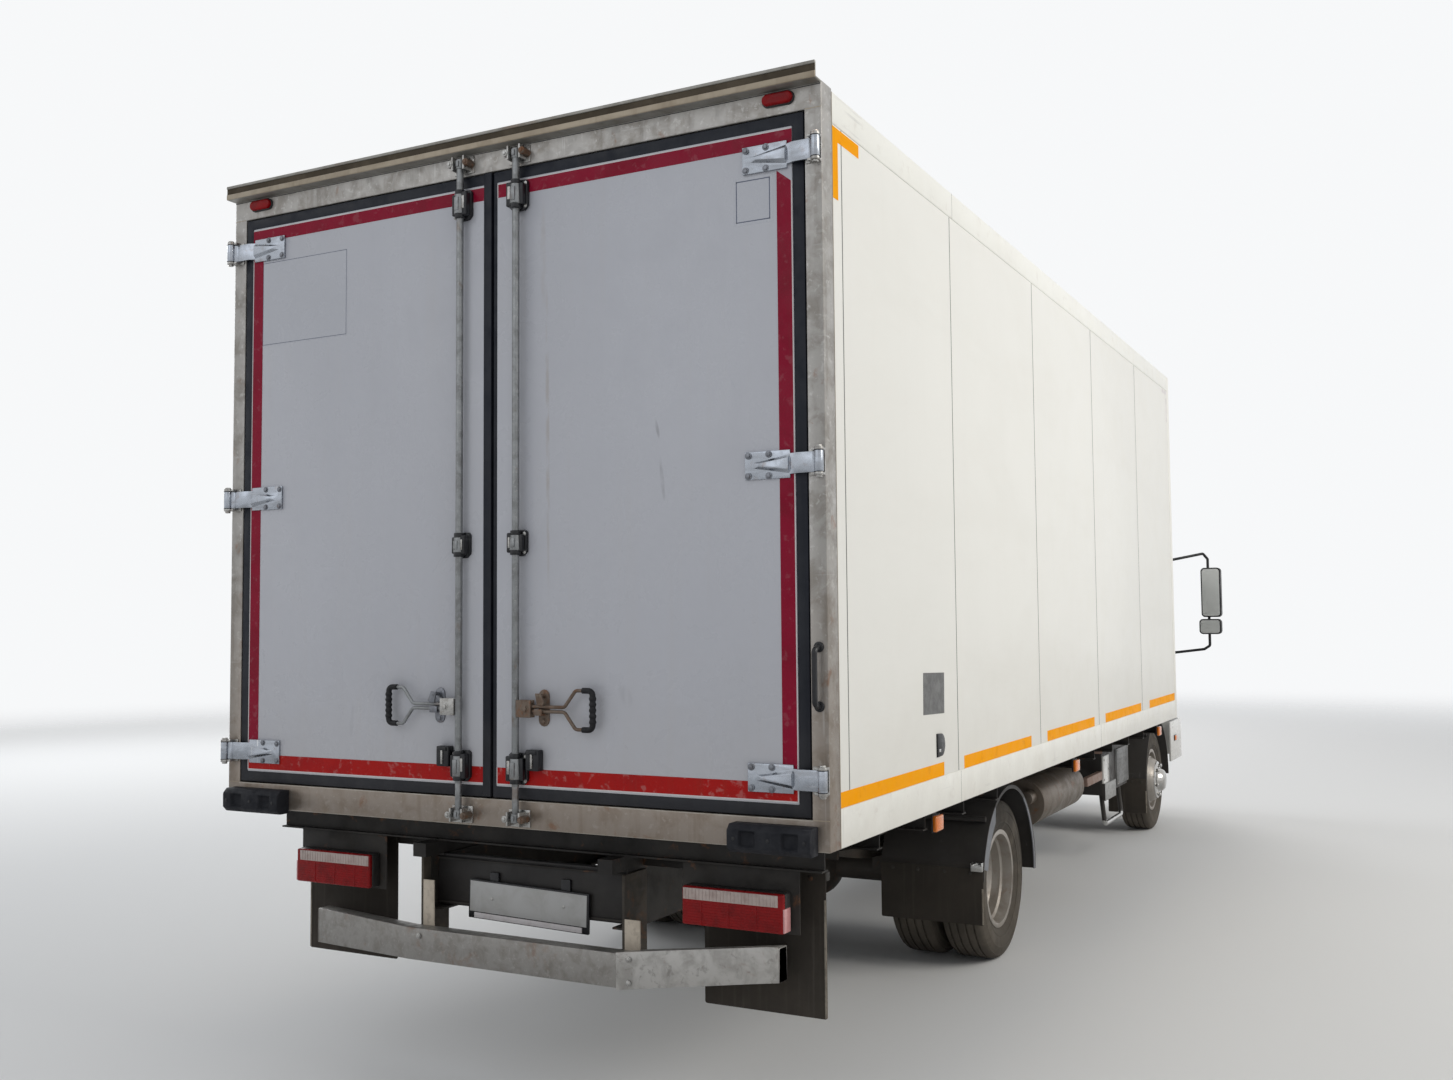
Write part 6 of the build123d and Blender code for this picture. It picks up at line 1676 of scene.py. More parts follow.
@dataclass
class Guards:
    """The rear mudguards with a pale lip round their outer edge, partly road dust and partly painted
    sunlight, and a bright clip each.
    """

    radius: float = 0.457
    lip_y: float = 1.0625
    lip_sheet: float = 0.005
    clip_z: float = 0.505
    clip_aft: float = 0.443
    clip_across: Pair = (1.010, 1.066)
    stay_across: Pair = (1.028, 1.040)
    skirt: tuple[Pair, ...] = (
        # angle above the axle in degrees, the lip's inner radius
        (-2.4, 0.426), (30.0, 0.430), (55.0, 0.440), (122.0, 0.440), (128.0, 0.389), (165.0, 0.386))
    # The lip's front and rear stretches take the pale finish, partly dust and partly painted sunlight; the
    # top stretch stays dark.
    parts: tuple[tuple[int, int, float, float], ...] = (
        # material, steps, first and last angle
        (1, 20, -2.4, 55.0), (0, 24, 55.0, 122.0), (1, 20, 122.0, 165.0))

    @staticmethod
    def spot(radius: float, angle: float) -> Pair:
        """Return the X and Z of a place round the axle."""
        turn = math.radians(angle)
        return REAR_AXLE_X + radius * math.cos(turn), AXLE_Z + radius * math.sin(turn)

    def inner_radius(self, angle: float) -> float:
        """Return the lip's inner radius at an angle in degrees."""
        for (a0, r0), (a1, r1) in zip(self.skirt, self.skirt[1:]):
            if angle <= a1:
                return r0 + (r1 - r0) * (angle - a0) / (a1 - a0)
        return self.skirt[-1][1]

    def build(self) -> None:
        """Dress both guards."""
        shape = Shape().node("rear_mudguards", 0.0)
        for side in Side:
            sign = side.value
            for number, steps, start, end in self.parts:
                angles = [start + (end - start) * count / steps for count in range(steps + 1)]
                outline = [self.spot(self.radius, a) for a in angles]
                outline += [self.spot(self.inner_radius(a), a) for a in reversed(angles)]
                shape.paint(number).prism(outline, Axis.Y, sign * self.lip_y,
                                          sign * (self.lip_y + self.lip_sheet))
            x, z = REAR_AXLE_X - self.clip_aft, self.clip_z
            near, far = (sign * y for y in self.clip_across)
            shape.paint(2).block((x - 0.020, near, z - 0.012), (x + 0.004, far, z + 0.030), 0.002)
            near, far = (sign * y for y in self.stay_across)
            shape.block((x - 0.075, near, z + 0.020), (x, far, z + 0.030), 0.002)
        shape.place("rear_guards_dressed", "chassis",
                    [FINISHES["guard_plastic"], EXTRAS["Guard dust and sunlight"], EXTRAS["Bright steel"]],
                    replaces=["rear_mudguards"])


@dataclass
class Flaps:
    """The rubber flaps, each with a pale strip along its outer edge as a painted highlight, and their
    bolts.
    """

    sheet: float = 0.005
    corner: float = 0.008
    edge: float = 0.007
    flaps: tuple[tuple[float, float, float, float, float], ...] = (
        # rear face, inner side, outer side, bottom, top
        (aft(0.300), 0.690, 1.150, 0.350, 0.830), (-1.8403, 0.560, 1.064, 0.245, 0.5035),
        (2.6035, 0.680, 0.965, 0.180, 0.4385))

    def build(self) -> None:
        """Build all six flaps as one piece."""
        shape = Shape()
        for side in Side:
            for x, inner, outer, low, high in self.flaps:
                y0, y1 = sorted((side.value * inner, side.value * outer))
                shape.paint(0).prism(rounded((y0, low), (y1, high), self.corner), Axis.X, x, x + self.sheet,
                                     0.0012)
                # A pale strip along the outer edge: painted highlight.
                y0, y1 = sorted((side.value * (outer - self.edge), side.value * outer))
                shape.paint(1).block((x - 0.002, y0, low + 0.004),
                                     (x + self.sheet + 0.001, y1, high - 0.09), 0.001)
                for share in (0.12, 0.37, 0.63, 0.88):
                    y = side.value * (inner + share * (outer - inner))
                    shape.paint(2).bolt((x, y, high - 0.022), (-1, 0, 0), 0.007, 0.004)
        shape.place("flaps_dressed", "chassis", [FINISHES["flap_rubber"], EXTRAS["Flap edge highlight"],
                                                 FINISHES["chassis_steel"]], replaces=["mud_flaps"])


@dataclass
class Buffers:
    """The dock buffers at the lower corners, each with two square hollows."""

    face: float = REAR - 0.065
    low: float = 0.940
    high: float = 1.030
    inner: float = 0.970
    outer: float = 1.260
    bevel: float = 0.018
    hollows: tuple[Pair, ...] = ((1.010, 1.070), (1.160, 1.220))

    def build(self) -> None:
        """Build both buffers."""
        outline = [(REAR, self.low), (self.face + self.bevel, self.low), (self.face, self.low + self.bevel),
                   (self.face, self.high - self.bevel), (self.face + self.bevel, self.high),
                   (REAR, self.high)]
        part = bmesh.new()
        floor = part.faces.new([part.verts.new((x, self.inner, z)) for x, z in outline])
        grown = bmesh.ops.extrude_face_region(part, geom=[floor])
        moved = [g for g in grown["geom"] if isinstance(g, bmesh.types.BMVert)]
        bmesh.ops.translate(part, vec=(0, self.outer - self.inner, 0), verts=moved)
        for place in (y for pair in self.hollows for y in pair):
            bmesh.ops.bisect_plane(part, geom=part.verts[:] + part.edges[:] + part.faces[:], dist=1e-6,
                                   plane_co=(0, place, 0), plane_no=(0, 1, 0))
        bmesh.ops.recalc_face_normals(part, faces=part.faces[:])
        dents = [f for f in part.faces if f.normal.x < -0.9 and
                 any(a < f.calc_center_median().y < b for a, b in self.hollows)]
        for face in dents:
            bmesh.ops.inset_region(part, faces=[face], thickness=0.010, depth=-0.016)
        Shape.soften(part, 0.004, 2, 30)
        left = Shape().add(part)
        for y in (0.995, 1.115, 1.240):
            left.paint(1).rod((self.face + 0.004, y, 0.985), (self.face - 0.002, y, 0.985), 0.006, 16,
                              bevel=0.001)
        left.place_both("buffer", "chassis", [FINISHES["buffer_rubber"], EXTRAS["Guide housing"]],
                        replaces=["corner_buffers"])


@dataclass
class SideMarkers:
    """The amber side lamps on dark brackets below the body's edges."""

    places: tuple[float, ...] = (1.253, 3.530, 5.950)
    offset: float = 1.200
    low: float = 0.838
    high: float = 0.900
    half: float = 0.044
    bars: int = 5

    def build(self) -> None:
        """Build the three lamps of a side as one piece, for both sides."""
        shape = Shape()
        for place in self.places:
            x, y = aft(place), self.offset
            shape.paint(1).block((x - 0.025, y - 0.006, self.low + 0.006), (x + 0.025, y, FLOOR_Z), 0.001)
            shape.block((x - self.half - 0.002, y, self.low - 0.002),
                        (x + self.half + 0.002, y + 0.008, self.high + 0.002), 0.003)
            shape.paint(0).block((x - self.half, y + 0.005, self.low),
                                 (x + self.half, y + 0.024, self.high), 0.007, 3)
            for step in range(self.bars):
                line = self.low + 0.014 + 0.009 * step
                shape.block((x - self.half + 0.010, y + 0.022, line - 0.0015),
                            (x + self.half - 0.010, y + 0.0252, line + 0.0015), 0.0008)
        shape.place_both("side_markers", "chassis", [FINISHES["amber_lens"], FINISHES["black_plastic"]],
                         replaces=["side_markers"])


@dataclass
class TailBar:
    """The underrun bar with its patched right end, bright upright edges and dark uprights."""

    place: float = 0.100
    kink: float = 0.465
    end: float = 1.020
    bend: float = 0.110
    plate_proud: float = 0.0035
    plate: tuple[Point, ...] = (
        # the end plate's places across, top and bottom
        (-0.455, 0.541, 0.414), (-1.016, 0.592, 0.512), (-0.990, 0.592, 0.474))
    strips: tuple[Point, ...] = (
        # the pale strips' two places across and top
        (0.389, 0.441, 0.705), (-0.514, -0.451, 0.640))
    bolts: tuple[Pair, ...] = ((-0.50, 0.44), (-0.50, 0.52), (0.41, 0.51))
    board_across: Pair = (-0.438, 0.432)
    board_up: Pair = (0.603, 0.800)
    board_rear: float = 0.2365
    board_front: float = 0.2405

    def face_x(self, y: float) -> float:
        """Return the X place of the bar's rear face at a distance across."""
        past = max(abs(y) - self.kink, 0.0) / (self.end - self.kink)
        return aft(self.place + self.bend * past)

    def build(self) -> None:
        """Build the bar, the overlapping end plate and the uprights' edges."""
        shape = Shape().node("underrun_bar", 0.004)
        shape.repaint(2, lambda c: c.x > aft(0.158) and 0.437 < abs(c.y) < 0.455)
        shape.repaint(1, lambda c: c.y < -0.466)
        plate = [(self.face_x(y) + out, y, z) for y, high, low in self.plate for z in (high, low)
                 for out in (-self.plate_proud, 0.001)]
        shape.paint(1).hull(plate, 0.001)
        for low, high, top in self.strips:
            shape.paint(4).block((aft(0.159), low, 0.47), (aft(0.165), high, top), 0.0015)
        for y, z in self.bolts:
            shape.paint(3).bolt((self.face_x(y) - self.plate_proud, y, z), (-1, 0, 0), 0.008, 0.005)
        shape.place("underrun_bar_dressed", "chassis",
                    [FINISHES["galvanised_steel"], EXTRAS["Mottled zinc"], EXTRAS["Dusty steel"],
                     FINISHES["fitting_steel"], EXTRAS["Pale strip"]], replaces=["underrun_bar"])
        (right, left), (low, high), front = self.board_across, self.board_up, aft(self.board_front)
        board = Shape().block((aft(self.board_rear), right, low), (front, left, high), 0.002)
        board.block((aft(0.205), right + 0.002, high - 0.008), (front, left, high), 0.002)
        board.place("rear_board", "chassis", [FINISHES["black_plastic"]])


@dataclass
class RightBox:
    """The battery box with its cover, tread plate, pale door, rusty channel and bright step."""

    side: float = -0.8805
    ribs: int = 6
    rib_low: float = 0.492
    rib_pitch: float = 0.036
    rib_ends: Pair = (1.950, 2.295)
    cover_bolts: tuple[Pair, ...] = ((1.952, 0.478), (1.952, 0.708), (2.296, 0.478), (2.296, 0.708))
    door_bolts: tuple[Pair, ...] = ((1.53, 0.545), (1.53, 0.68), (1.665, 0.61))

    def build(self) -> None:
        """Dress the box's own node and add the cover's pressed ribs."""
        shape = Shape().node("battery_box", 0.003)
        shape.repaint(1, lambda c: c.y < self.side and c.x > 1.92 and 0.46 < c.z < 0.726)
        shape.repaint(2, lambda c: c.y < self.side and c.x < 1.84 and 0.40 < c.z < 0.521)
        shape.repaint(3, lambda c: c.y < self.side and c.x < 1.69 and 0.5205 < c.z < 0.71)
        shape.repaint(4, lambda c: c.x < 1.4972)
        shape.repaint(5, lambda c: c.z < 0.262)
        rear, front = self.rib_ends
        for count in range(self.ribs):
            z = self.rib_low + self.rib_pitch * count
            shape.paint(1).block((rear, -0.8955, z), (front, -0.893, z + 0.014), 0.0012)
        for x, z in self.cover_bolts:
            shape.paint(6).bolt((x, -0.894, z), (0, -1, 0), 0.007, 0.004)
        for x, z in self.door_bolts:
            shape.bolt((x, -0.890, z), (0, -1, 0), 0.006, 0.004)
        shape.place("battery_box_dressed", "chassis",
                    [FINISHES["black_plastic"], EXTRAS["Cover plate"], EXTRAS["Tread plate"],
                     FINISHES["bumper_white"], EXTRAS["Rusty channel"], EXTRAS["Bright steel"],
                     FINISHES["fitting_steel"]], replaces=["battery_box"])


# Cab


@dataclass
class CabFront:
    """The cab's face: black grille, seams, cowl vent, screen rubber, wipers, headlamps and repeaters."""

    grille_half: float = 0.521
    grille_low: float = 0.984
    grille_high: float = 1.236
    foot: Point = (3.9775, 0.0, 1.390)
    knee: Point = (4.0725, 0.0, 1.310)
    chin: Point = (4.0925, 0.0, 0.830)
    screen_middle: Point = (3.7548, 0.0, 1.7857)
    screen_half: float = 0.752
    screen_tall: float = 0.372
    seam_half: float = 0.66
    seam_top: float = 1.2855
    seam_foot: float = 0.900
    vent_half: float = 0.60
    vent_bars: int = 40
    wiper_places: Pair = (0.06, -0.56)
    lamp_low: Point = (4.1125, 0.4725, 0.5625)
    lamp_high: Point = (4.2030, 0.7575, 0.7175)
    bulb_z: float = 0.640
    bowls: tuple[Pair, ...] = ((0.560, 0.066), (0.690, 0.058))
    repeater: float = 7.840

    def on_nose(self, y: float, z: float, out: float) -> Point:
        """Return a point on the upright nose, pushed out along X."""
        share = (self.knee[2] - z) / (self.knee[2] - self.chin[2])
        return (self.knee[0] + (self.chin[0] - self.knee[0]) * share + out, y, z)

    def on_cowl(self, y: float, share: float, out: float) -> Point:
        """Return a point on the slope under the screen, pushed outwards."""
        a, b = Vector(self.foot), Vector(self.knee)
        way = (b - a).normalized()
        place = a.lerp(b, share) + Vector((-way.z, 0, way.x)) * out
        return (place.x, y, place.z)

    def on_screen(self, y: float, up: float, out: float) -> Point:
        """Return a point on the screen's plane, pushed outwards."""
        rise, normal = Vector((-0.4905, 0, 0.8714)), Vector((0.8714, 0, 0.4905))
        place = Vector(self.screen_middle) + rise * up + normal * out
        return (place.x, y, place.z)

    def build(self) -> None:
        """Build the face."""
        nose = Shape().node("cab_nose", 0.004)
        nose.repaint(1, lambda c: abs(c.y) < self.grille_half and self.grille_low < c.z < self.grille_high
                     and 4.055 < c.x < 4.0795)
        nose.place("cab_nose_dressed", "cab", [FINISHES["cab_paint"], EXTRAS["Guide housing"]],
                   replaces=["cab_nose"])
        self.trim()
        self.wipers()
        self.lamps()

    def seam(self, shape: Shape, low: Pair, high: Pair) -> None:
        """Lay a thin dark seam on the nose between two places given as (Y, Z)."""
        points = [self.on_nose(y, z, out) for y in (low[0], high[0]) for z in (low[1], high[1])
                  for out in (-0.001, 0.0007)]
        shape.hull(points)

    def trim(self) -> None:
        """Add the seams, the cowl vent, the screen rubber and the black sill of the face."""
        shape = Shape().paint(0)
        half, top, foot, wide = self.seam_half, self.seam_top, self.seam_foot, 0.002
        self.seam(shape, (-half, top - wide), (half, top + wide))
        for y in (-half, half):
            self.seam(shape, (y - wide, foot), (y + wide, top + wide))
        self.seam(shape, (-half, foot - wide), (half, foot + wide))
        rim = self.vent_half + 0.02
        corners = [self.on_cowl(y, share, out) for y in (-rim, rim) for share in (0.18, 0.80)
                   for out in (-0.001, 0.0025)]
        shape.paint(1).hull(corners, 0.001)
        for count in range(self.vent_bars):
            y = -self.vent_half + 2 * self.vent_half * count / (self.vent_bars - 1)
            shape.rod(self.on_cowl(y, 0.24, 0.003), self.on_cowl(y, 0.74, 0.003), 0.0028, 8)
        w, t = self.screen_half, self.screen_tall
        ring = [self.on_screen(y, up, 0.001)
                for y, up in ((0, -t), (-w, -t), (-w, t), (w, t), (w, -t), (0, -t))]
        shape.paint(2).tube(ring, 0.0095, 0.075, 3)
        shape.place("cab_face_trim", "cab", [FINISHES["seal_rubber"], EXTRAS["Guide housing"],
                                             FINISHES["seal_rubber"]])

    def wipers(self) -> None:
        """Add two wipers parked along the screen's foot."""
        shape = Shape().paint(0)
        for y in self.wiper_places:
            pivot = self.on_cowl(y, 0.10, 0.0)
            shape.rod(pivot, self.on_cowl(y, 0.10, 0.030), 0.014, 20, 0.011, 0.002)
            arm = [self.on_cowl(y, 0.10, 0.024), self.on_screen(y + 0.06, -0.352, 0.026),
                   self.on_screen(y + 0.26, -0.305, 0.024)]
            shape.tube(arm, 0.0055, 0.03)
            ends = [self.on_screen(y + along, -0.318 + 0.05 * along, 0.014) for along in (0.0, 0.54)]
            shape.tube([ends[0], self.on_screen(y + 0.27, -0.3045, 0.021), ends[1]], 0.0045, 0.2)
            blade = [self.on_screen(y + along, -0.318 + 0.05 * along + up, out) for along in (-0.01, 0.55)
                     for up, out in ((-0.002, 0.001), (0.002, 0.001), (-0.004, 0.013), (0.004, 0.013))]
            shape.paint(1).hull(blade, 0.0008)
            shape.paint(0)
        shape.place("wipers", "cab", [FINISHES["black_plastic"], FINISHES["seal_rubber"]])

    def lamps(self) -> None:
        """Add the headlamps with bowls and clear lenses and the amber repeaters, then mirror them."""
        (x0, y0, z0), (x1, y1, z1), z = self.lamp_low, self.lamp_high, self.bulb_z
        shape = Shape().paint(0).block((x0, y0, z0), (x0 + 0.030, y1, z1), 0.006, 3)
        for y, radius in self.bowls:
            bowl = [(0.0, 0.020), (0.012, 0.034), (0.030, 0.052), (0.046, radius), (0.050, radius + 0.004),
                    (0.046, radius + 0.006), (0.0, radius + 0.002)]
            shape.paint(1).lathe(bowl, (x0 + 0.030, y, z), Axis.X, 40)
            shape.paint(0).rod((x0 + 0.026, y, z), (x0 + 0.032, y, z), 0.024, 24)
            shape.paint(3).rod((x0 + 0.032, y, z), (x0 + 0.062, y, z), 0.008, 16, 0.005, 0.002)
        shape.paint(4).block((x0 + 0.030, 0.6265, z0 + 0.012), (x0 + 0.060, 0.6300, z1 - 0.012), 0.001)
        shape.paint(2).block((x1 - 0.0045, y0 + 0.002, z0 + 0.002), (x1, y1 - 0.002, z1 - 0.002), 0.003)
        for a, b in ((y0, y0 + 0.007), (y1 - 0.007, y1)):
            shape.paint(0).block((x0 + 0.020, a, z0), (x1 + 0.001, b, z1), 0.001)
        for a, b in ((z0, z0 + 0.007), (z1 - 0.007, z1)):
            shape.block((x0 + 0.020, y0, a), (x1 + 0.001, y1, b), 0.001)
        rear = aft(self.repeater)
        shape.paint(0).block((rear - 0.003, 0.9895, 0.637), (rear + 0.083, 0.997, 0.683), 0.002)
        shape.paint(5).block((rear, 0.993, 0.640), (rear + 0.080, 1.004, 0.680), 0.005, 3)
        finishes = [EXTRAS["Guide housing"], EXTRAS["Lamp bowl"], FINISHES["clear_lens"],
                    EXTRAS["Bright steel"], EXTRAS["Bright steel"], FINISHES["amber_lens"]]
        shape.place_both("headlamp", "chassis", finishes, "clear_lens", ["headlamps"])


@dataclass
class CabDoor:
    """The trim on one cab door: window rubber, divider, handle, lock, lower seam and inner pad."""

    side: Side
    waist: float = 1.390
    half: float = 0.965
    lean: float = 0.075 / 0.760
    divider: float = 3.455
    cup_ends: Pair = (3.000, 3.170)
    cup_up: Pair = (1.262, 1.330)
    handle_z: float = 1.316
    lock: Pair = (3.150, 1.280)
    foot_ends: Pair = (2.935, 3.770)
    foot_up: Pair = (0.925, 0.985)
    foot_ribs: tuple[float, ...] = (0.938, 0.955, 0.972)
    seam_z: float = 1.120
    window: tuple[Pair, ...] = (
        # X and Z round the glass
        (3.35, 1.450), (2.9875, 1.450), (2.9875, 2.050), (3.3966, 2.050), (3.7175, 1.485), (3.7175, 1.450),
        (3.35, 1.450))

    def skin(self, x: float, z: float, out: float) -> Point:
        """Return a point on the left door's skin, pushed outwards."""
        return (x, self.half - max(z - self.waist, 0) * self.lean + out, z)

    def build(self) -> None:
        """Build the trim for the left door and mirror it for the right one."""
        shape = Shape().paint(0)
        shape.tube([self.skin(x, z, 0.001) for x, z in self.window], 0.008, 0.04, 3)
        x, half = self.divider, self.half
        shape.rod(self.skin(x, 1.452, -0.004), self.skin(x, 1.945, -0.004), 0.009, 12)
        (rear, front), (low, high) = self.cup_ends, self.cup_up
        shape.paint(1).block((rear, half - 0.004, low), (front, half + 0.002, high), 0.010, 3)
        grip = [self.skin(x, self.handle_z, out) for x, out in
                ((3.015, 0.0), (3.020, 0.026), (3.150, 0.026), (3.155, 0.0))]
        shape.tube(grip, 0.009, 0.016, 3)
        shape.paint(2).rod(self.skin(*self.lock, 0.0), self.skin(*self.lock, 0.006), 0.010, 24, bevel=0.001)
        (rear, front), (low, high) = self.foot_ends, self.foot_up
        shape.paint(1).block((rear, half - 0.001, low), (front, half + 0.004, high), 0.003)
        for z in self.foot_ribs:
            shape.block((rear + 0.005, half + 0.003, z - 0.003), (front - 0.005, half + 0.0065, z + 0.003),
                        0.001)
        z = self.seam_z
        shape.paint(0).block((rear - 0.005, half - 0.001, z - 0.0015),
                             (front + 0.005, half + 0.0007, z + 0.0015))
        tag = self.side.tag
        finishes = [FINISHES["seal_rubber"], FINISHES["black_plastic"], EXTRAS["Bright steel"]]
        shape.on(self.side).place("cab_door_trim_" + tag, "cab_door_" + tag, finishes, "black_plastic")


@dataclass
class MirrorGlasses:
    """The mirror panes on the rear faces of both mirror sets."""

    x: float = 3.8175
    panes: tuple[tuple[float, float, float, float], ...] = (
        # inner and outer side, bottom, top
        (1.2270, 1.3640, 1.6660, 2.0560), (1.2070, 1.3600, 1.5240, 1.6320))

    def build(self) -> None:
        """Lay the panes, each in a thin raised rim."""
        shape = Shape()
        for inner, outer, low, high in self.panes:
            shape.paint(0).prism(rounded((inner, low), (outer, high), 0.022), Axis.X, self.x - 0.0015,
                                 self.x + 0.001)
            rim = [(self.x - 0.002, y, z) for y, z in rounded((inner - 0.002, low - 0.002),
                                                              (outer + 0.002, high + 0.002), 0.024)]
            shape.paint(1).tube(rim + rim[:1], 0.0028, 0.0, 2)
        shape.place_both("mirror_panes", "cab", [EXTRAS["Mirror glass"], FINISHES["black_plastic"]])


@dataclass
class Seats:
    """Both seats: a moulded base, a crowned cushion and a leaning back with sewn channels."""

    rear: float = 2.6175
    length: float = 0.530
    inner: float = 0.385
    width: float = 0.470
    floor: float = 0.910
    cushion_low: float = 1.100
    cushion_top: float = 1.220
    top: float = 1.990
    cuts: int = 11
    fill: float = 0.75

    def pad(self, low: Point, high: Point, crown: float, along: int, lean: float = 0.0) -> Shape:
        """Make one crowned pad with pulled-in sides and sewn channels.

        Args:
            low: One corner of the space that it may fill.
            high: The opposite corner.
            crown: How far its shown face swells, within that space.
            along: The axis number across the shown face: 2 for a cushion, 0 for a back.
            lean: How far its top leans back over its height.

        Returns:
            The pad.
        """
        part = bmesh.new()
        bmesh.ops.create_cube(part, size=2.0)
        bmesh.ops.subdivide_edges(part, edges=part.edges[:], cuts=self.cuts, use_grid_fill=True)
        middle = (Vector(low) + Vector(high)) / 2
        half = (Vector(high) - Vector(low)) / 2
        flat = [n for n in (0, 1, 2) if n != along]
        for vert in part.verts:
            u, v = vert.co[flat[0]], vert.co[flat[1]]
            edge = (1 - u ** 4) * (1 - v ** 4)
            seam = math.exp(-((abs(vert.co.y) - 0.62) / 0.07) ** 2)
            depth = half[along] - crown * (1 - edge) - 0.010 * seam * edge
            place = Vector([c * h for c, h in zip(vert.co, half)])
            height = vert.co[along]
            place[along] = height * (depth if height > 0 else half[along] - 0.012 * (1 - edge))
            for n in flat:
                other = vert.co[flat[0] + flat[1] - n]
                place[n] *= 1 - 0.035 * (1 - abs(height)) * (1 - abs(other) ** 2)
            if lean:
                place.x -= lean * (vert.co.z + 1) / 2
            vert.co = middle + place
        bmesh.ops.smooth_vert(part, verts=part.verts[:], factor=0.5, use_axis_x=True, use_axis_y=True,
                              use_axis_z=True)
        return Shape().add(part)

    def build(self) -> None:
        """Build the base, the cushion and the back of both seats."""
        for side in Side:
            tag, sign = side.tag, side.value
            y0, y1 = sorted((sign * self.inner, sign * (self.inner + self.width)))
            base = Shape().block((self.rear + 0.030, y0 + 0.015, self.floor),
                                 (self.rear + self.length - 0.050, y1 - 0.015, self.cushion_low + 0.004),
                                 0.02, 3)
            base.block((self.rear + 0.10, y0, 1.075), (self.rear + 0.30, y0 + 0.020, 1.098), 0.006)
            base.place("seat_base_" + tag, "cab", [FINISHES["dash_plastic"]], slot="seat_fabric",
                       replaces=["seats"])
            cushion = self.pad((self.rear, y0, self.cushion_low),
                               (self.rear + self.length, y1, self.cushion_top), 0.030, 2)
            back = self.pad((self.rear + 0.015, y0 + 0.012, self.cushion_top - 0.03),
                            (self.rear + 0.135, y1 - 0.012, self.top - 0.16), 0.030, 0, 0.075)
            head = self.pad((self.rear - 0.058, y0 + 0.12, self.top - 0.145),
                            (self.rear + 0.030, y1 - 0.12, self.top), 0.020, 0)
            for name, pad in (("cushion", cushion), ("back", back), ("headrest", head)):
                piece = pad.place("seat_" + name + "_" + tag, "cab", [FINISHES["seat_fabric"]],
                                  replaces=["seats"], smooth=60)
                rounding = piece.modifiers.new("Rounding", "SUBSURF")
                rounding.levels = rounding.render_levels = 1


@dataclass
class CoolingUnit:
    """The cooling unit: dark louvres, fans behind them, dark vents, latches and bolts."""

    back: float = 2.4275
    louvres: Pair = (2.42, 2.4815)
    half: float = 0.761
    low: float = 2.819
    high: float = 3.111
    fans: tuple[float, ...] = (-0.507, 0.0, 0.507)
    fan_radius: float = 0.132
    fan_blades: int = 7
    latches: tuple[float, ...] = (-0.70, -0.235, 0.235, 0.70)
    lid_bolts: tuple[float, ...] = (-0.82, -0.41, 0.0, 0.41, 0.82)

    def build(self) -> None:
        """Dress the unit."""
        shape = Shape().node("cooling_unit", 0.004)
        rear, front = self.louvres
        shape.repaint(1, lambda c: abs(c.y) < self.half and self.low < c.z < self.high
                      and rear < c.x < front)
        shape.repaint(1, lambda c: 0.836 < abs(c.y) < 0.8495 and 2.82 < c.z < 3.11 and c.x < 2.37)
        middle = (self.low + self.high) / 2
        for y in self.fans:
            edge = self.fan_radius
            ring = [(0.0, edge - 0.006), (0.022, edge - 0.004), (0.024, edge), (0.0, edge + 0.006)]
            shape.paint(2).lathe(ring, (self.back, y, middle), Axis.X, 48)
            shape.rod((self.back - 0.001, y, middle), (self.back + 0.026, y, middle), 0.038, 24, 0.032,
                      0.003)
            for count in range(self.fan_blades):
                angle = math.tau * count / self.fan_blades
                blade = []
                for radius, turn, out in ((0.034, -0.30, 0.006), (0.034, 0.25, 0.018),
                                          (0.122, -0.12, 0.006), (0.122, 0.22, 0.018)):
                    for thick in (0.0, 0.0015):
                        blade.append((self.back + out + thick, y + radius * math.cos(angle + turn),
                                      middle + radius * math.sin(angle + turn)))
                shape.paint(2).hull(blade)
        for y in self.latches:
            shape.paint(1).block((2.4840, y - 0.030, 2.722), (2.4985, y + 0.030, 2.748), 0.004)
        for y in self.lid_bolts:
            shape.paint(3).bolt((2.283, y, 3.300), (0, 0, 1), 0.008, 0.005)
        shape.place("cooling_unit_dressed", "chassis",
                    [FINISHES["unit_white"], EXTRAS["Guide housing"], FINISHES["dash_plastic"],
                     FINISHES["fitting_steel"]], replaces=["cooling_unit"])


ASSEMBLIES: tuple[tuple[Callable, tuple[str, ...]], ...] = (
    # builder, the nodes that it stands for
    (lambda: [DoorDressing(side).build() for side in Side], ()),
    (lambda: [HingeStraps(side).build() for side in Side], ("door_straps_left", "door_straps_right")),
    (lambda: [LockRod(side).build() for side in Side], ("door_lock_left", "door_lock_right")),
    (lambda: RearFrame().build(), ("rear_frame", "frame_fittings")),
    (lambda: TailLamps().build(), ("rear_lamps",)),
    (lambda: NumberPlate().build(), ()),
    (lambda: BodySides().build(), ()),
    (lambda: Wheels().build(), ("rear_tyres_left", "rear_tyres_right", "rear_rims_left", "rear_rims_right",
                                "front_tyre_left", "front_tyre_right", "front_rim_left",
                                "front_rim_right")),
    (lambda: Guards().build(), ("rear_mudguards",)),
    (lambda: Flaps().build(), ("mud_flaps",)),
    (lambda: Buffers().build(), ("corner_buffers",)),
    (lambda: SideMarkers().build(), ("side_markers",)),
    (lambda: TailBar().build(), ("underrun_bar",)),
    (lambda: RightBox().build(), ("battery_box",)),
    (lambda: CabFront().build(), ("cab_nose", "headlamps")),
    (lambda: [CabDoor(side).build() for side in Side], ()),
    (lambda: MirrorGlasses().build(), ()),
    (lambda: Seats().build(), ("seats",)),
    (lambda: CoolingUnit().build(), ("cooling_unit",)),
)


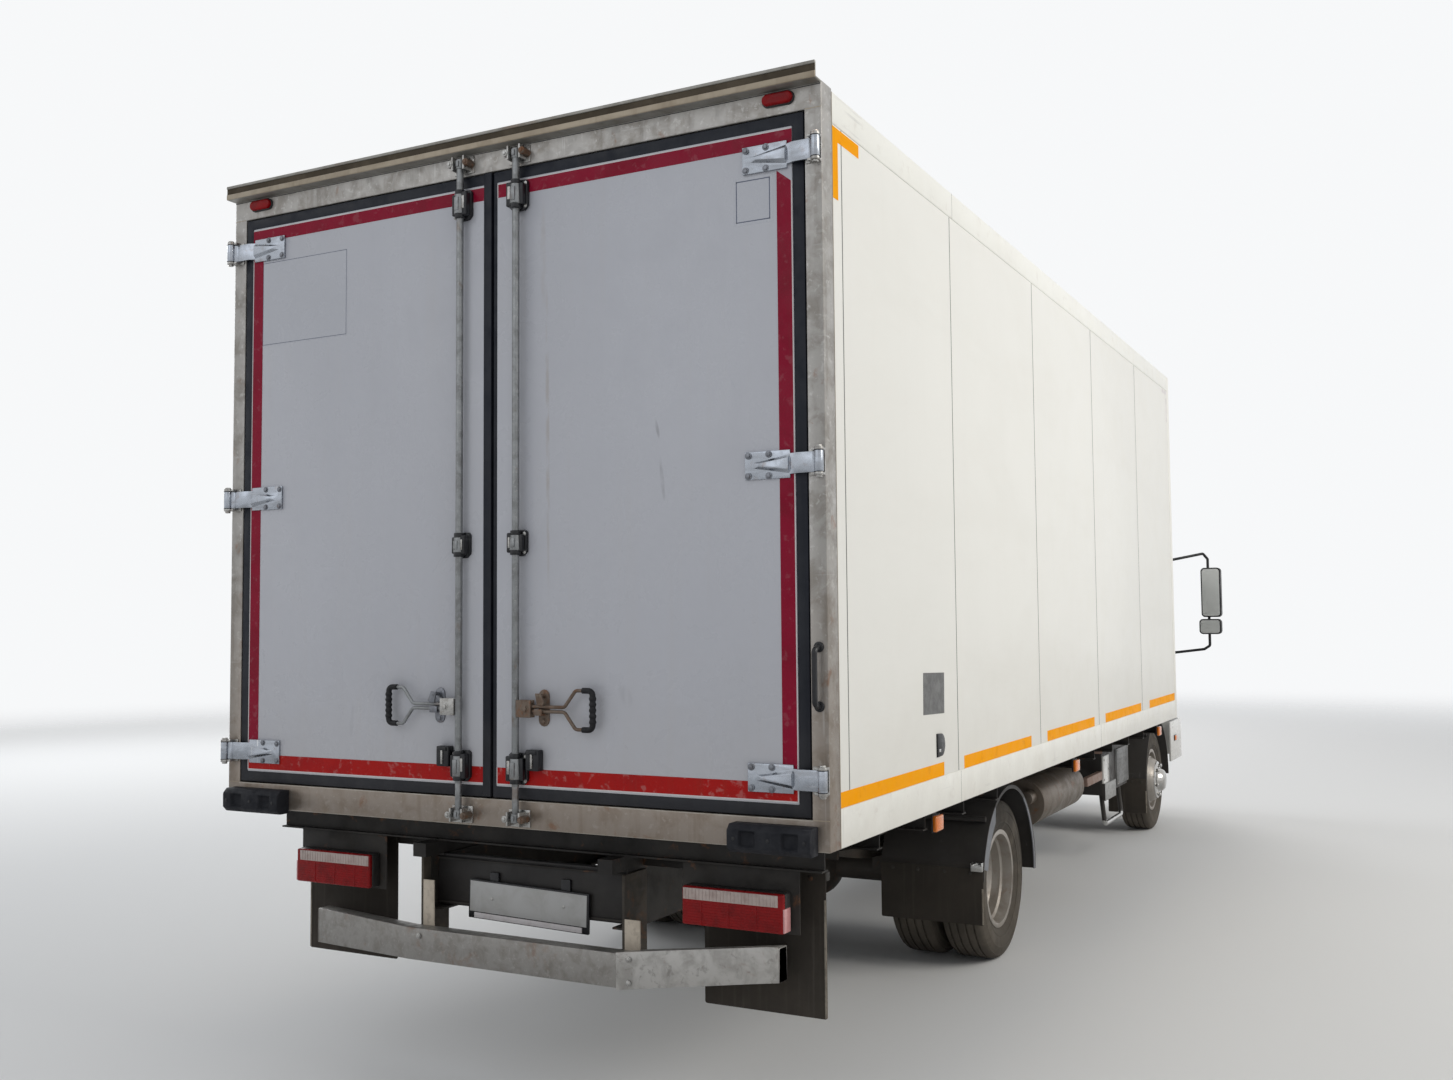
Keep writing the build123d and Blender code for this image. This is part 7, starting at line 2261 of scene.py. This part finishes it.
@dataclass
class Studio:
    """The floor, which fades into the backdrop, the lights and the camera."""

    fade_start: float = 8.0
    fade_end: float = 26.0
    floor_colour: Colour = (0.74, 0.74, 0.735)
    sky_colour: Colour = (0.93, 0.96, 1.0)
    sky_strength: float = 0.46
    backdrop_colour: Colour = (0.93, 0.94, 0.95)
    lights: tuple[tuple[str, Point, Point, float, float, Colour], ...] = (
        # name, place, what it points at, width, power, colour
        ("key", (-1.0, -13.0, 9.0), (0.0, 0.0, 1.6), 9.0, 980.0, (1.0, 0.965, 0.90)),
        ("tail_fill", (-15.0, 4.0, 8.0), (-2.0, 0.0, 1.4), 9.0, 120.0, (0.90, 0.94, 1.0)),
        ("left_fill", (3.0, 14.0, 8.0), (0.0, 0.0, 1.5), 9.0, 700.0, (0.96, 0.98, 1.0)),
        ("nose_fill", (13.0, 6.0, 8.0), (2.0, 0.0, 1.5), 8.0, 600.0, (1.0, 0.98, 0.96)))
    stand: Point = (-8.0302, -2.9932, 1.6755)
    yaw: float = 27.765
    pitch: float = 3.322
    roll: float = -0.476
    sensor: float = 36.0
    focal_share: float = 1356.84 / 1453

    def build(self) -> None:
        """Set up the whole studio."""
        self.floor()
        self.sky()
        self.lamps()
        self.camera()
        bpy.context.scene.view_settings.view_transform = "Standard"

    @staticmethod
    def shown(name: str, data: bpy.types.ID) -> bpy.types.Object:
        """Return a new object of the scene."""
        thing = bpy.data.objects.new(name, data)
        bpy.context.scene.collection.objects.link(thing)
        return thing

    def floor(self) -> None:
        """Lay the pale floor."""
        part = bmesh.new()
        bmesh.ops.create_grid(part, x_segments=1, y_segments=1, size=60)
        mesh = bpy.data.meshes.new("floor")
        part.to_mesh(mesh)
        part.free()
        matte = bpy.data.materials.new("Pale floor")
        matte.use_nodes = True
        tree = matte.node_tree
        shader = feed(tree, tree.nodes["Principled BSDF"],
                      {"Base Color": (*self.floor_colour, 1), "Roughness": 0.9})
        reach = tree.nodes.new("ShaderNodeVectorMath")
        reach.operation = "LENGTH"
        feed(tree, reach, {0: Effects.coords(tree)})
        fade = Effects.ranged(tree, reach.outputs["Value"], self.fade_start, self.fade_end, Ramp.SMOOTHER)
        beyond = tree.nodes.new("ShaderNodeBsdfTransparent")
        blend = feed(tree, tree.nodes.new("ShaderNodeMixShader"),
                     {"Fac": fade, 1: shader.outputs["BSDF"], 2: beyond.outputs["BSDF"]})
        feed(tree, tree.nodes["Material Output"], {"Surface": blend.outputs["Shader"]})
        mesh.materials.append(matte)
        self.shown("floor", mesh)

    def sky(self) -> None:
        """Make a pale world, which the camera and mirrors see as nearly white."""
        world = bpy.data.worlds.new("studio")
        bpy.context.scene.world = world
        world.use_nodes = True
        tree = world.node_tree
        glow = feed(tree, tree.nodes["Background"],
                    {"Color": (*self.sky_colour, 1), "Strength": self.sky_strength})
        seen = feed(tree, tree.nodes.new("ShaderNodeBackground"),
                    {"Color": (*self.backdrop_colour, 1), "Strength": 1.0})
        rays = tree.nodes.new("ShaderNodeLightPath").outputs
        either = Effects.maths(tree, "MAXIMUM", rays["Is Glossy Ray"], rays["Is Transmission Ray"])
        seen_share = Effects.maths(tree, "MAXIMUM", rays["Is Camera Ray"], either)
        mix = feed(tree, tree.nodes.new("ShaderNodeMixShader"),
                   {"Fac": seen_share, 1: glow.outputs["Background"], 2: seen.outputs["Background"]})
        feed(tree, tree.nodes["World Output"], {"Surface": mix.outputs["Shader"]})

    def lamps(self) -> None:
        """Hang large soft lights: a warm key on the right side and fills around."""
        for name, place, target, size, power, colour in self.lights:
            lamp = bpy.data.lights.new(name, "AREA")
            lamp.shape = "DISK"
            lamp.size = size
            lamp.energy = power
            lamp.color = colour
            holder = self.shown(name, lamp)
            holder.location = place
            way = Vector(target) - Vector(place)
            holder.rotation_euler = way.to_track_quat("-Z", "Y").to_euler()

    def camera(self) -> None:
        """Stand the camera where the photograph was taken."""
        yaw, pitch, roll = (math.radians(v) for v in (self.yaw, self.pitch, self.roll))
        ahead = Vector((math.cos(pitch) * math.cos(yaw), math.cos(pitch) * math.sin(yaw), math.sin(pitch)))
        right = Vector((math.sin(yaw), -math.cos(yaw), 0))
        up = right.cross(ahead)
        tilted = math.cos(roll) * right + math.sin(roll) * up
        raised = -math.sin(roll) * right + math.cos(roll) * up
        turn = Matrix((tilted, raised, -ahead)).transposed().to_4x4()
        lens = bpy.data.cameras.new("camera")
        lens.sensor_width = self.sensor
        lens.lens = self.focal_share * self.sensor
        lens.clip_end = 300
        holder = self.shown("camera", lens)
        holder.matrix_world = Matrix.Translation(self.stand) @ turn
        bpy.context.scene.camera = holder


def slot_of(node: str) -> str:
    """Return the record's material slot of a CAD node."""
    for row in frame["record"]["subparts"]:
        if row["node"] == node:
            return row["material_slot"]
    raise KeyError(node)


def body_of(node: str) -> str:
    """Return the body that a CAD node rides on."""
    for body, nodes in frame["record"]["behaviour"]["bodies"].items():
        if node in nodes:
            return body
    raise KeyError(node)


def dress_bare_nodes(done: set[str]) -> None:
    """Give each listed bare node a softened copy with its finish, and every other CAD node that no
    sub-assembly took its finish.

    Args:
        done: The nodes that already have their piece.
    """
    for node, bevel in BARE_NODES:
        shell = Shape().node(node, bevel)
        shell.place(node + "_shell", body_of(node), [FINISHES[slot_of(node)]], replaces=[node])
        done.add(node)
    for node, thing in frame["nodes"].items():
        if node not in done:
            thing.data.materials.clear()
            thing.data.materials.append(FINISHES[slot_of(node)].material())


def main() -> None:
    """Build the studio and the truck's pieces in order."""
    logging.basicConfig(level=logging.INFO, format="%(name)s: %(message)s")
    Studio().build()
    done: set[str] = set()
    for build, nodes in ASSEMBLIES:
        build()
        done.update(nodes)
    dress_bare_nodes(done)


if __name__ == "__main__":
    main()
